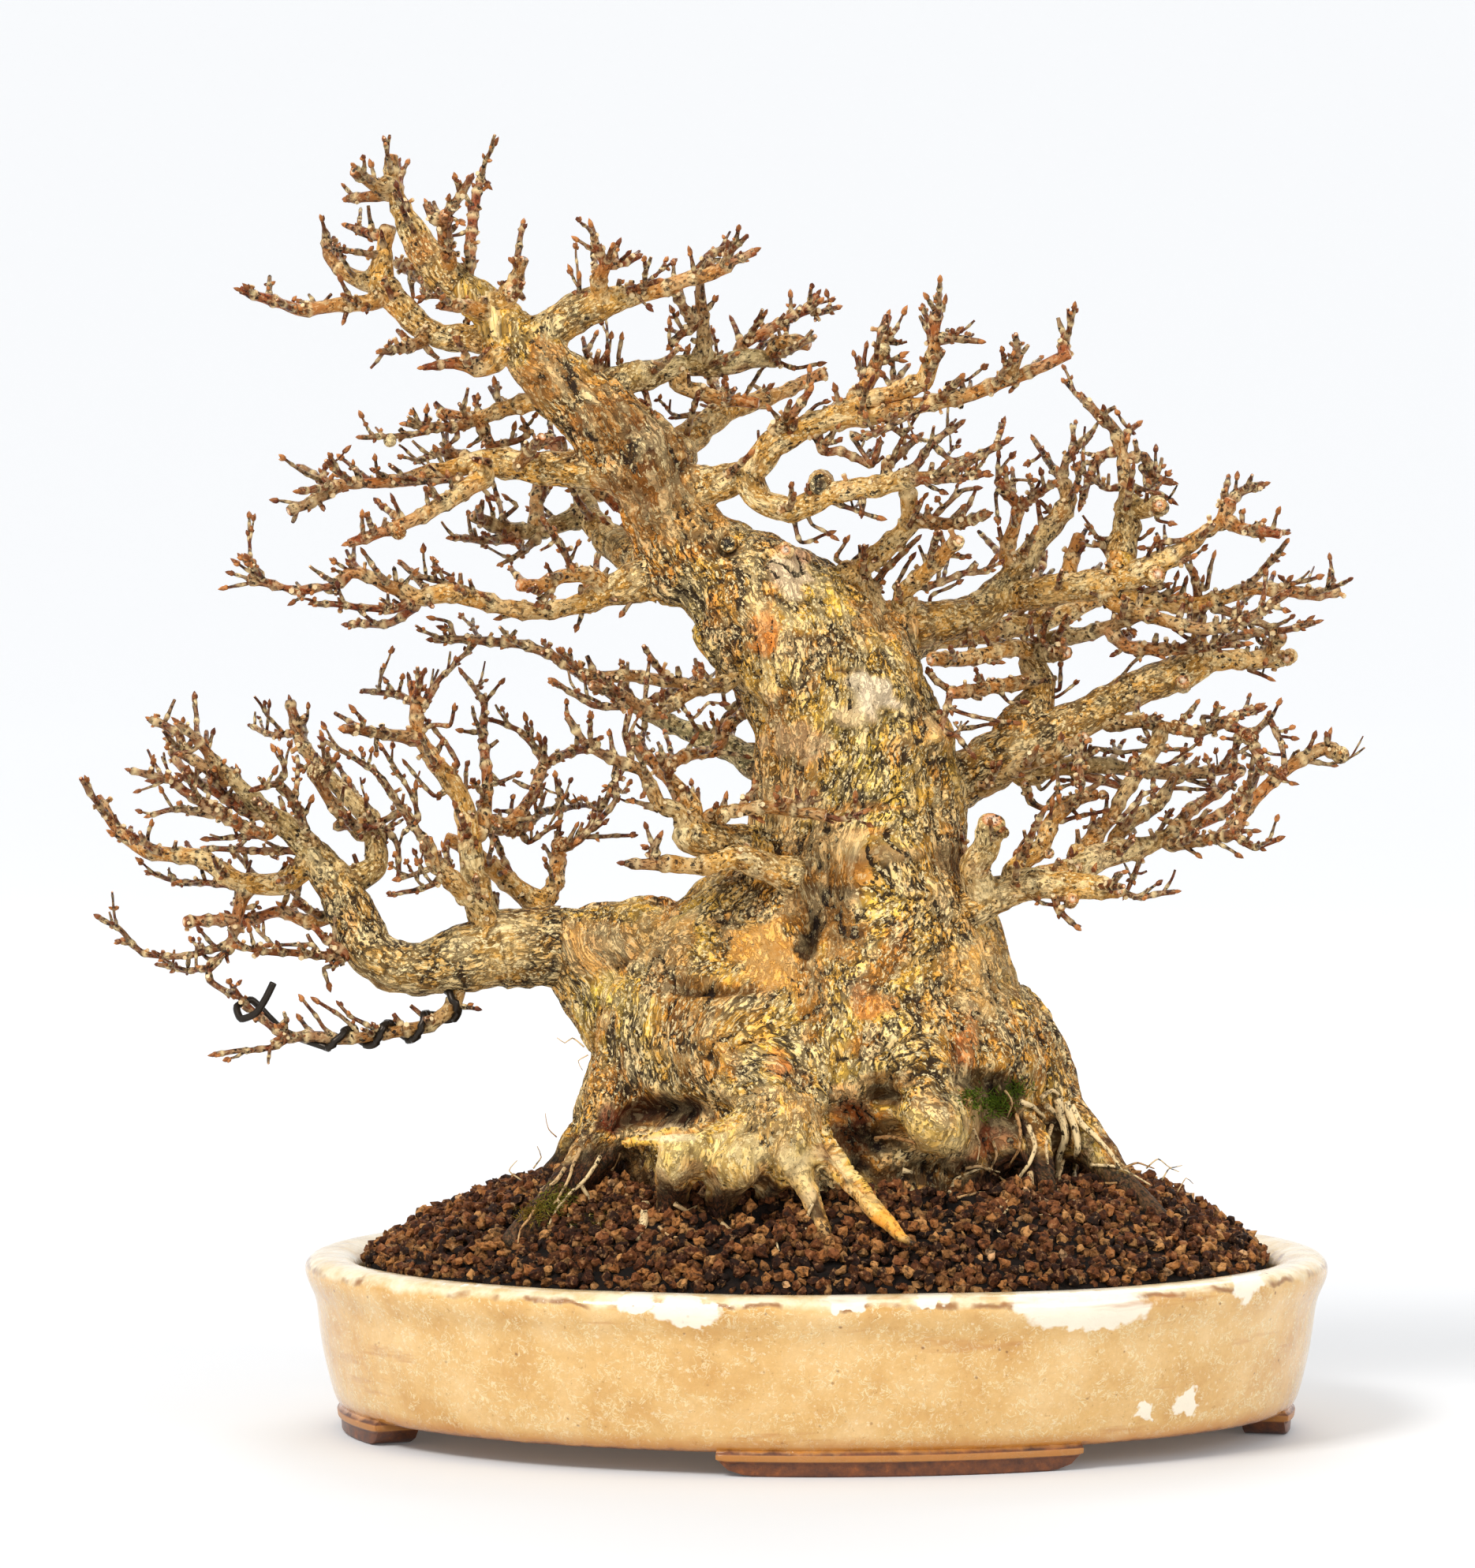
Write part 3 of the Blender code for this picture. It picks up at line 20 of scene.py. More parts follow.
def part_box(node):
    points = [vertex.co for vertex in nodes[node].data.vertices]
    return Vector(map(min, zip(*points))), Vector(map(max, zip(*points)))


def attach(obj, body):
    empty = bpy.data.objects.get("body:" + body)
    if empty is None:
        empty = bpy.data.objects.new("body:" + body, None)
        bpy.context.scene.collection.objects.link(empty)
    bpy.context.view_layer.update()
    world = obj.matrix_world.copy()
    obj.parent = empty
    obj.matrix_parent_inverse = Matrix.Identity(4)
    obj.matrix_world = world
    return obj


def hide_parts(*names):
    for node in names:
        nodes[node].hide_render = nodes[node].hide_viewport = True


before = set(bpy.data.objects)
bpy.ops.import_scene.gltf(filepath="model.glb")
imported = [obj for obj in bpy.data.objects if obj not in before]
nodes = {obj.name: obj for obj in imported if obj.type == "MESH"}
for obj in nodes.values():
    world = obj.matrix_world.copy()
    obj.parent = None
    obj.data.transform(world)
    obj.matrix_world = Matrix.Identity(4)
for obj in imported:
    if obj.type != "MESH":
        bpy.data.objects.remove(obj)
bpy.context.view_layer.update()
# noise_vector starts from the clock unless it is seeded, and the wood would differ each run
noise.seed_set(12)
MM = 0.001
pot_low, pot_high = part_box("pot")
POT_MIDDLE = Vector(((pot_low.x + pot_high.x) / 2, (pot_low.y + pot_high.y) / 2, 0))
POT_HALF_X = (pot_high.x - pot_low.x) / 2 / MM
POT_HALF_Y = (pot_high.y - pot_low.y) / 2 / MM
POT_TOP = pot_high.z / MM
print("pot half length, half width, height in mm:", [round(v, 1) for v in (POT_HALF_X, POT_HALF_Y, POT_TOP)])

# %% [markdown]
# Everything below is planned in millimetres, measured from the middle of the pot, and
# turned to metres when a piece is finished. A route is drawn as it shows from the
# front and then pushed back or forwards along the line of sight, so the front keeps
# its outline while the layers of twigs spread in depth.

# %% Where a point of a front drawing lies in space
EYE = Vector((-20.0, -1800.0, 255.0))


def seen(x, z, depth):
    at_trunk = Vector((x, 0, z))
    return EYE + (at_trunk - EYE) * ((depth - EYE.y) / -EYE.y)


def shown(point):
    share = -EYE.y / (point.y - EYE.y)
    place = EYE + (point - EYE) * share
    return place.x, place.z


def colour(code):
    """The linear colour of a paint chip given as six hex digits."""
    parts = [int(code[i:i + 2], 16) / 255 for i in (0, 2, 4)]
    return tuple(c / 12.92 if c <= 0.04045 else ((c + 0.055) / 1.055) ** 2.4 for c in parts)


def deselect():
    if bpy.context.object and bpy.context.object.mode != "OBJECT":
        bpy.ops.object.mode_set(mode="OBJECT")
    bpy.ops.object.select_all(action="DESELECT")


def pick(*objects):
    deselect()
    for obj in objects:
        obj.select_set(True)
    bpy.context.view_layer.objects.active = objects[0]
    return objects[0]


def to_frame(obj):
    """Turn a piece made in millimetres about the pot's middle into metres in the frame."""
    pick(obj)
    bpy.ops.object.transform_apply(location=True, rotation=True, scale=True)
    obj.data.transform(Matrix.Translation(POT_MIDDLE) @ Matrix.Scale(MM, 4))
    return obj


def settle(obj, slot, material, *stands_for):
    """Give a finished piece its material and its place on the body; its slot is not used."""
    obj.data.materials.clear()
    obj.data.materials.append(material)
    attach(obj, "root")
    if stands_for:
        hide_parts(*stands_for)
    obj.data.calc_loop_triangles()
    print(obj.name, len(obj.data.loop_triangles), "triangles")


print("tools ready")

# %% [markdown]
# ## The room
# A bonsai is shown against a plain ground in even light. The floor is one pale sheet
# that turns up behind the tree, so there is no horizon, and three soft panels light
# it: a bright one high on the left, a fill on the right and one from behind that
# keeps the twigs' edges clean. The camera stands far away with a long lens, a little
# above the rim, which is why the rim shows as a thin oval.

# %% Floor
FLOOR_HALF = 4.0
SWEEP = 2.5
deselect()
bpy.ops.mesh.primitive_plane_add(size=2 * FLOOR_HALF, location=(0, 0, 0))
floor = bpy.context.object
floor.name = "floor_sheet"
bpy.ops.object.mode_set(mode="EDIT")
bpy.ops.mesh.select_all(action="DESELECT")
edit = bmesh.from_edit_mesh(floor.data)
for edge in edit.edges:
    edge.select = all(vert.co.y > FLOOR_HALF - 0.01 for vert in edge.verts)
bmesh.update_edit_mesh(floor.data)
SWEEP_STEPS = 24
for step in range(SWEEP_STEPS):
    a, b = radians(90 * step / SWEEP_STEPS), radians(90 * (step + 1) / SWEEP_STEPS)
    bpy.ops.mesh.extrude_region_move(
        TRANSFORM_OT_translate={"value": (0, SWEEP * (sin(b) - sin(a)), SWEEP * (cos(a) - cos(b)))})
bpy.ops.mesh.extrude_region_move(TRANSFORM_OT_translate={"value": (0, 0, 2)})
bpy.ops.object.mode_set(mode="OBJECT")
bpy.ops.object.shade_smooth()

paper = bpy.data.materials.new("pale_paper")
paper.use_nodes = True
paper_nodes, paper_links = paper.node_tree.nodes, paper.node_tree.links
paper_shader = paper_nodes["Principled BSDF"]
paper_shader.inputs["Base Color"].default_value = (0.69, 0.70, 0.715, 1)
paper_shader.inputs["Roughness"].default_value = 0.7
paper_shader.inputs["Emission Color"].default_value = (0.97, 0.985, 1.0, 1)
# The sheet glows with its own emission, more and more towards its far end: painted light that stands in for
# light from behind
paper_place, paper_split = paper_nodes.new("ShaderNodeTexCoord"), paper_nodes.new("ShaderNodeSeparateXYZ")
paper_glow = paper_nodes.new("ShaderNodeMapRange")
for socket, value in (("From Min", 0.15), ("From Max", 1.5), ("To Min", 0.06), ("To Max", 0.37)):
    paper_glow.inputs[socket].default_value = value
paper_links.new(paper_place.outputs["Object"], paper_split.inputs[0])
paper_links.new(paper_split.outputs["Y"], paper_glow.inputs["Value"])
paper_links.new(paper_glow.outputs["Result"], paper_shader.inputs["Emission Strength"])
floor.data.materials.append(paper)

# %% Light
world = bpy.data.worlds.new("studio")
bpy.context.scene.world = world
world.use_nodes = True
world.node_tree.nodes["Background"].inputs["Color"].default_value = (1.0, 1.0, 1.0, 1)
world.node_tree.nodes["Background"].inputs["Strength"].default_value = 0.78


def panel(name, place, target, size, watts, tint):
    bpy.ops.object.light_add(type="AREA", location=place)
    lamp = bpy.context.object
    lamp.name = name
    lamp.data.shape = "RECTANGLE"
    lamp.data.size, lamp.data.size_y = size
    lamp.data.energy = watts
    lamp.data.color = tint
    lamp.rotation_euler = (Vector(target) - Vector(place)).to_track_quat("-Z", "Y").to_euler()
    return lamp


panel("key_panel", (-0.75, -1.0, 1.35), (0, 0, 0.15), (0.5, 0.5), 21, (1, 0.98, 0.95))
panel("fill_panel", (1.2, -1.0, 0.7), (0, 0, 0.15), (0.7, 0.7), 6, (1, 0.99, 0.98))
panel("back_panel", (0.3, 1.0, 1.1), (0, 0, 0.2), (0.8, 0.5), 5, (1, 1, 1))

# %% Camera
LENS = 163.0
AIM = Vector((-20.0, 0.0, 164.0))
bpy.ops.object.camera_add(location=POT_MIDDLE + EYE * MM)
camera = bpy.context.object
camera.name = "camera"
camera.data.lens = LENS
camera.data.clip_end = 50
camera.rotation_euler = (AIM - EYE).to_track_quat("-Z", "Y").to_euler()
bpy.context.scene.camera = camera
bpy.context.scene.view_settings.view_transform = "Standard"
print("camera at", [round(v, 3) for v in camera.location])

# %% [markdown]
# ## Finishes as recipes
# A finish is built from a few nodes. To keep each one short, small helpers make a
# node, set its values and join it to others: some do sums, some make a pattern or a
# ramp, and some lay a colour over another. Patterns read Object coordinates: every
# piece lies in the same frame, so a size in a Noise or Voronoi node is in cells a
# metre, and 400 cells a metre are 2.5 mm each.

# %% Node helpers
class Recipe:
    """A material being mixed: its nodes, its links and its shader."""

    def __init__(self, name, roughness=0.6, **sockets):
        self.material = bpy.data.materials.new(name)
        self.material.use_nodes = True
        self.tree = self.material.node_tree
        self.shader = self.tree.nodes["Principled BSDF"]
        self.shader.inputs["Roughness"].default_value = roughness
        self.shader.inputs["Specular IOR Level"].default_value = 0.5 if roughness < 0.4 else 0.22
        for socket, value in sockets.items():
            self.shader.inputs[socket.replace("_", " ")].default_value = value
        self.place = self.node("ShaderNodeTexCoord").outputs["Object"]

    def node(self, kind, **settings):
        new = self.tree.nodes.new(kind)
        for key, value in settings.items():
            setattr(new, key, value)
        return new

    def feed(self, socket, value):
        if isinstance(value, bpy.types.NodeSocket):
            self.tree.links.new(value, socket)
        elif isinstance(value, tuple) and len(value) == 3 and socket.type == "RGBA":
            socket.default_value = (*value, 1)
        else:
            socket.default_value = value

    def math(self, operation, a, b=0.0, c=0.0, clamp=False):
        new = self.node("ShaderNodeMath", operation=operation, use_clamp=clamp)
        for socket, value in zip(new.inputs, (a, b, c)):
            self.feed(socket, value)
        return new.outputs[0]

    def times(self, a, b):
        return self.math("MULTIPLY", a, b)

    def plus(self, a, b):
        return self.math("ADD", a, b)

    def less(self, a, b, clamp=False):
        return self.math("SUBTRACT", a, b, clamp=clamp)

    def most(self, a, b):
        return self.math("MAXIMUM", a, b)

    def mix(self, factor, a, b, blend="MIX"):
        new = self.node("ShaderNodeMix", data_type="RGBA", blend_type=blend, clamp_factor=True)
        self.feed(new.inputs[0], factor)
        self.feed(new.inputs[6], a)
        self.feed(new.inputs[7], b)
        return new.outputs[2]

    def stain(self, base, pattern, start, end, chip):
        """Lay a colour over a base where a pattern runs between two stops."""
        return self.mix(self.ramp(pattern, start, end), base, colour(chip))

    def wash(self, base, mask, strength, chip):
        """Lay a colour over a base, by a mask and at most at this strength."""
        return self.mix(self.times(mask, strength), base, colour(chip))

    def ramp(self, value, *stops):
        """Map a value through stops of (position, grey or colour)."""
        new = self.node("ShaderNodeValToRGB")
        elements = new.color_ramp.elements
        while len(elements) < len(stops):
            elements.new(0.5)
        for element, (position, shade) in zip(elements, stops):
            element.position = position
            element.color = (*(shade if isinstance(shade, tuple) else (shade,) * 3), 1)
        self.feed(new.inputs[0], value)
        return new.outputs[0]

    def noise(self, scale, detail=3.0, rough=0.55, place=None, squeeze=None, distortion=0.0):
        new = self.node("ShaderNodeTexNoise")
        self.feed(new.inputs["Vector"], self.squeezed(place, squeeze))
        for socket, value in (("Scale", scale), ("Detail", detail), ("Roughness", rough),
                              ("Distortion", distortion)):
            new.inputs[socket].default_value = value
        return new.outputs["Fac"]

    def cells(self, scale, feature="F1", place=None, squeeze=None, output="Distance", random=1.0):
        new = self.node("ShaderNodeTexVoronoi", feature=feature)
        self.feed(new.inputs["Vector"], self.squeezed(place, squeeze))
        new.inputs["Scale"].default_value = scale
        new.inputs["Randomness"].default_value = random
        return new.outputs[output]

    def squeezed(self, place, squeeze):
        place = place or self.place
        if squeeze is None:
            return place
        new = self.node("ShaderNodeMapping")
        new.inputs["Scale"].default_value = squeeze
        self.feed(new.inputs["Vector"], place)
        return new.outputs[0]

    def stirred(self, scale, amount, place=None):
        """The place, pushed about by a soft noise, so that a pattern swirls."""
        push = self.node("ShaderNodeTexNoise")
        push.inputs["Scale"].default_value = scale
        push.inputs["Detail"].default_value = 2.0
        self.feed(push.inputs["Vector"], place or self.place)
        centred = self.node("ShaderNodeVectorMath", operation="SUBTRACT")
        self.feed(centred.inputs[0], push.outputs["Color"])
        centred.inputs[1].default_value = (0.5, 0.5, 0.5)
        scaled = self.node("ShaderNodeVectorMath", operation="SCALE")
        self.feed(scaled.inputs[0], centred.outputs[0])
        scaled.inputs["Scale"].default_value = amount
        moved = self.node("ShaderNodeVectorMath", operation="ADD")
        self.feed(moved.inputs[0], place or self.place)
        self.feed(moved.inputs[1], scaled.outputs[0])
        return moved.outputs[0]

    def painted(self, name, output="Color"):
        new = self.node("ShaderNodeAttribute", attribute_name=name)
        return new.outputs[output]

    def height(self, output="Z", place=None):
        split = self.node("ShaderNodeSeparateXYZ")
        self.feed(split.inputs[0], place or self.place)
        return split.outputs[output]

    def bump(self, height, distance, strength=1.0, under=None):
        new = self.node("ShaderNodeBump")
        new.inputs["Strength"].default_value = strength
        new.inputs["Distance"].default_value = distance
        self.feed(new.inputs["Height"], height)
        if under is not None:
            self.feed(new.inputs["Normal"], under)
        return new.outputs[0]

    def finish(self, base=None, roughness=None, normal=None):
        for socket, value in (("Base Color", base), ("Roughness", roughness), ("Normal", normal)):
            if value is not None:
                self.feed(self.shader.inputs[socket], value)
        return self.material


print("recipes ready")

# %% [markdown]
# ## The pot
# The pot is a hand-thrown oval: a convex wall, a thick rolled lip and four low feet.
# It could be a turned profile scaled in one direction, but then the lip would be
# thinner on the long sides, so the oval is drawn once and then pushed up and drawn in
# by the same few millimetres all round, ring by ring, as a potter pulls a wall. A
# subdivision surface rounds it, and a slight unevenness keeps it from looking cast.

# %% A wall pulled up ring by ring
def close_editing():
    """Turn all faces outwards and leave edit mode."""
    bpy.ops.mesh.select_all(action="SELECT")
    bpy.ops.mesh.normals_make_consistent(inside=False)
    bpy.ops.object.mode_set(mode="OBJECT")


def pull_up(name, rings, sides):
    """Rings are (middle x, middle y, height, half length, half width), all in millimetres."""
    deselect()
    bpy.ops.mesh.primitive_circle_add(vertices=sides, radius=1, fill_type="NGON", location=(0, 0, 0))
    piece = bpy.context.object
    piece.name = name
    bpy.ops.object.mode_set(mode="EDIT")
    bpy.ops.mesh.select_all(action="SELECT")
    x, y, z, half_x, half_y = rings[0]
    bpy.ops.transform.resize(value=(half_x, half_y, 1))
    bpy.ops.transform.translate(value=(x, y, z))
    for new_x, new_y, new_z, new_half_x, new_half_y in rings[1:]:
        bpy.ops.mesh.extrude_region_move(
            TRANSFORM_OT_translate={"value": (new_x - x, new_y - y, new_z - z)})
        bpy.ops.transform.resize(value=(new_half_x / half_x, new_half_y / half_y, 1),
                                 center_override=(new_x, new_y, new_z))
        x, y, z, half_x, half_y = new_x, new_y, new_z, new_half_x, new_half_y
    close_editing()
    return piece


def apply_modifier(obj, kind, **settings):
    pick(obj)
    bpy.ops.object.modifier_add(type=kind)
    modifier = obj.modifiers[-1]
    for key, value in settings.items():
        setattr(modifier, key, value)
    bpy.ops.object.modifier_apply(modifier=modifier.name)
    return obj


# Inset from the rim's widest line, and height: up the outside, over the lip, down the inside
POT_WALL = (
    (40, 8.6), (18, 8.6), (15.6, 7.6), (14, 5.9), (11, 5.5), (8.8, 6.4), (7.6, 8.6), (6.5, 12),
    (5.2, 17), (4.2, 22), (3.4, 27), (2.9, 31.5), (2.2, 34.5), (1.0, 37), (-0.1, 39.4), (-0.4, 41.8),
    (0.5, 43.6), (2.6, 44.8), (5.6, 45.0), (8.6, 44.7), (11.2, 43.7), (13.0, 41.8), (13.4, 39),
    (13.2, 34), (14.4, 27), (17.5, 20), (22, 15.6), (40, 14.5),
)
pot_rings = [(0, 0, z, POT_HALF_X - inset, POT_HALF_Y - inset) for inset, z in POT_WALL]
pot = pull_up("pot_body", pot_rings, 96)
apply_modifier(pot, "SUBSURF", levels=1, render_levels=1)
# How far the fired wall wanders, how high its small bumps are, and how far the lip sways, in mm
WANDER, BUMPS, LIP_SWAY = 0.45, 0.12, 0.4
LIP_FROM = 30
for vert in pot.data.vertices:
    wander = noise.noise(vert.co / 38) * WANDER + noise.noise(vert.co / 9 + Vector((5, 0, 0))) * BUMPS
    outward = Vector((vert.co.x / POT_HALF_X, vert.co.y / POT_HALF_Y, 0))
    vert.co += outward * wander
    if vert.co.z > LIP_FROM:
        vert.co.z += noise.noise(vert.co / 45 + Vector((0, 9, 0))) * LIP_SWAY
print("pot wall:", len(pot.data.polygons), "faces")

# %% [markdown]
# Each foot is a low curved block that follows the oval, set a little back, with a
# glazed ledge over a bare base and sloping ends. It could be a box that is bent, but
# here its section is extruded step by step round the curve, so it follows it exactly.

# %% Feet
# First and last angle of each foot, then its section as inset from the rim and height
FOOT_SPANS = {"front": (-102, -58), "right": (-13, 25), "back": (78, 122), "left": (167, 205)}
FOOT_SECTION = ((9.8, 0.0), (9.2, 0.5), (9.0, 3.2), (8.2, 3.9), (8.0, 5.3), (9.6, 7.2), (20, 8.4), (20, 0.0))
FOOT_SHARES = [0, 0.03, 0.07] + [0.1 + 0.8 * i / 14 for i in range(15)] + [0.93, 0.97, 1]
END_LIFTS = {0: 4.2, 1: 1.6, 2: 0.4}      # how high the base slopes up at each end


def place_of(vert):
    return tuple(round(v, 5) for v in vert.co)


feet = []
for name, (start, end) in FOOT_SPANS.items():
    deselect()
    bpy.ops.mesh.primitive_circle_add(vertices=len(FOOT_SECTION), radius=1, fill_type="NGON")
    foot = bpy.context.object
    foot.name = "foot_" + name
    bpy.ops.object.mode_set(mode="EDIT")
    bpy.ops.mesh.select_all(action="SELECT")
    for step, share in enumerate(FOOT_SHARES):
        if step:
            bpy.ops.mesh.extrude_region_move(TRANSFORM_OT_translate={"value": (0, 0, 0)})
        angle = radians(start + (end - start) * share)
        lift = END_LIFTS.get(min(step, len(FOOT_SHARES) - 1 - step), 0.0)
        edit = bmesh.from_edit_mesh(foot.data)
        section = [vert for vert in edit.verts if vert.select]
        if step:
            corner_at = {place_of(vert): corner for vert, corner in corner_of.items()}
            corner_of = {vert: corner_at[place_of(vert)] for vert in section}
        else:
            corner_of = dict(zip(sorted(section, key=lambda vert: vert.index), FOOT_SECTION))
        for vert, (inset, z) in corner_of.items():
            vert.co = ((POT_HALF_X - inset) * cos(angle), (POT_HALF_Y - inset) * sin(angle), max(z, lift))
        bmesh.update_edit_mesh(foot.data)
    close_editing()
    apply_modifier(foot, "BEVEL", width=0.45, segments=2, limit_method="ANGLE")
    feet.append(foot)
print("feet:", len(feet))

# %% [markdown]
# The drain holes and the small holes for the tie wire are cut through the floor with
# a Boolean, as they would be cut with a hole cutter in the leather-hard clay. Then
# the feet are joined on.

# %% Holes and assembly of the pot
HOLES = ((-55, 0, 9), (55, 0, 9), (-30, 48, 2), (30, 48, 2))      # x, y, radius
CUT_HEIGHT, CUT_DEPTH = 11.5, 16
for x, y, radius in HOLES:
    deselect()
    bpy.ops.mesh.primitive_cylinder_add(vertices=40, radius=radius, depth=CUT_DEPTH,
                                        location=(x, y, CUT_HEIGHT))
    cutter = bpy.context.object
    apply_modifier(pot, "BOOLEAN", operation="DIFFERENCE", solver="EXACT", object=cutter)
    bpy.data.objects.remove(cutter, do_unlink=True)
pick(pot, *feet)
bpy.ops.object.join()
to_frame(pot)
CREASE = 35
pick(pot)
bpy.ops.object.shade_smooth_by_angle(angle=radians(CREASE))

# %% [markdown]
# The glaze is a honey yellow that runs thin and cream over the lip and pools in pale
# tears under it. It is crackled all over, with a few iron specks, a rusty bare line
# where it stops at the bottom of the wall, and bare red-brown clay on the feet. The
# height on the wall decides which colour is where, and noise makes each edge ragged.

# %% Glaze
glaze = Recipe("honey_glaze", 0.16, Coat_Weight=0.35, Coat_Roughness=0.05)
z_mm = glaze.times(glaze.height(), 1000.0)
swirl = glaze.stirred(60, 0.006)
cloud = glaze.noise(55, 4, 0.6)
honey = glaze.ramp(cloud, (0.3, colour("D29E54")), (0.5, colour("E6BA74")), (0.72, colour("F4D094")))
fine = glaze.noise(900, 3, 0.7)
honey = glaze.wash(honey, fine, 0.35, "A87834")
vein = glaze.math("ABSOLUTE", glaze.less(glaze.noise(330, 3, 0.6, distortion=1.4), 0.5))
craze_where = glaze.ramp(glaze.noise(240, 3, 0.6), (0.46, 0.0), (0.56, 1.0))
craze = glaze.times(glaze.ramp(vein, (0.01, 1.0), (0.035, 0.0)), craze_where)
fine_edge = glaze.cells(700, "DISTANCE_TO_EDGE", place=glaze.stirred(500, 0.0006))
fine_craze = glaze.ramp(fine_edge, (0.0, 0.6), (0.06, 0.0))
pale_fleck = glaze.ramp(glaze.noise(620, 4, 0.75), (0.58, 0.0), (0.66, 1.0))
honey = glaze.wash(honey, pale_fleck, 0.55, "F6E6BE")
dark_fleck = glaze.ramp(glaze.noise(540, 4, 0.75), (0.30, 1.0), (0.38, 0.0))
honey = glaze.wash(honey, dark_fleck, 0.5, "9A6A28")
honey = glaze.wash(honey, craze, 0.85, "F0D9A4")
honey = glaze.wash(honey, fine_craze, 0.18, "9E7337")
lip_line = glaze.plus(z_mm, glaze.times(glaze.noise(110, 3, 0.6), 5.0))
lip = glaze.ramp(glaze.math("DIVIDE", lip_line, 60.0), (0.735, 0.0), (0.765, 1.0))
cream = glaze.ramp(glaze.noise(140, 4, 0.6), (0.35, colour("DDBE86")), (0.6, colour("F3E4C2")))
base = glaze.mix(lip, honey, cream)
lip_edge = glaze.times(lip, glaze.times(glaze.less(1.0, lip), 4.0))
edge_where = glaze.ramp(glaze.noise(70, 3, 0.6, squeeze=(1, 1, 0.3)), (0.47, 0.0), (0.56, 0.85))
base = glaze.mix(glaze.times(lip_edge, edge_where), base, colour("8A5218"))
# White tears under the lip: front x, height, half width, half height
TEARS = ((-33, 29, 9, 4), (-46, 31, 5, 3), (70, 28, 17, 5.5), (58, 31, 8, 4), (113, 32, 4, 6),
         (97, 1, 3.5, 4), (86, 0, 2.5, 2.5), (-92, 35, 7, 2), (8, 32, 6, 2.5), (30, 32.5, 5, 2))
ragged = glaze.stirred(300, 0.007)
tear_x, tear_z = glaze.height("X", ragged), glaze.height("Z", ragged)
tear = 0.0
for x, z, half_x, half_z in TEARS:
    middle = POT_MIDDLE + seen(x, z, -POT_HALF_Y) * MM
    aside = glaze.math("DIVIDE", glaze.less(tear_x, middle.x), half_x * MM)
    upward = glaze.math("DIVIDE", glaze.less(tear_z, middle.z), half_z * MM)
    gap = glaze.plus(glaze.times(aside, aside), glaze.times(upward, upward))
    tear = glaze.most(glaze.ramp(gap, (0.7, 1.0), (1.0, 0.0)), tear)
base = glaze.wash(base, tear, 0.88, "FCF4E0")
speck = glaze.ramp(glaze.cells(260, place=swirl), (0.06, 1.0), (0.13, 0.0))
speck_where = glaze.ramp(glaze.noise(90, 2, 0.5, squeeze=(1, 1, 2.5)), (0.5, 0.0), (0.62, 1.0))
base = glaze.mix(glaze.times(speck, glaze.times(speck_where, 0.8)), base, colour("7A4A20"))
streak = glaze.ramp(glaze.noise(50, 4, 0.7, squeeze=(0.35, 0.35, 3.0)), (0.6, 0.0), (0.7, 1.0))
base = glaze.wash(base, streak, 0.45, "B5702E")
rust_line = glaze.plus(z_mm, glaze.times(glaze.noise(160, 3, 0.6), 3.0))
warm = glaze.ramp(glaze.math("DIVIDE", rust_line, 40.0), (0.2, 0.85), (0.29, 0.0))
base = glaze.mix(warm, base, colour("C07A2C"))
bare = glaze.ramp(glaze.math("DIVIDE", rust_line, 40.0), (0.178, 1.0), (0.205, 0.0))
ledge = glaze.ramp(glaze.math("DIVIDE", z_mm, 40.0), (0.093, 0.0), (0.1, 1.0), (0.133, 1.0), (0.14, 0.0))
clay = glaze.ramp(glaze.noise(300, 4, 0.7), (0.3, colour("3C1A06")), (0.6, colour("743C10")),
                  (0.8, colour("A0581A")))
base = glaze.mix(glaze.less(bare, glaze.times(ledge, 0.75), clamp=True), base, clay)
glaze_rough = glaze.ramp(bare, (0.0, 0.14), (1.0, 0.62))
relief = glaze.bump(glaze.plus(fine, glaze.times(craze, -0.6)), 0.00018, 0.5)
relief = glaze.bump(glaze.noise(120, 2, 0.5), 0.0011, 0.6, relief)
glaze.finish(base, glaze_rough, relief)
settle(pot, "pot", glaze.material, "pot")

# %% [markdown]
# ## The wood, from thick to thin
# A tree is drawn as routes. A bough's route lists points that it passes, each with
# its left-right place, its height, its depth and its radius. A branch's route lists
# only what shows from the front: it starts on its parent wherever the two meet, and
# its depth runs evenly from there to the depth given for its tip.

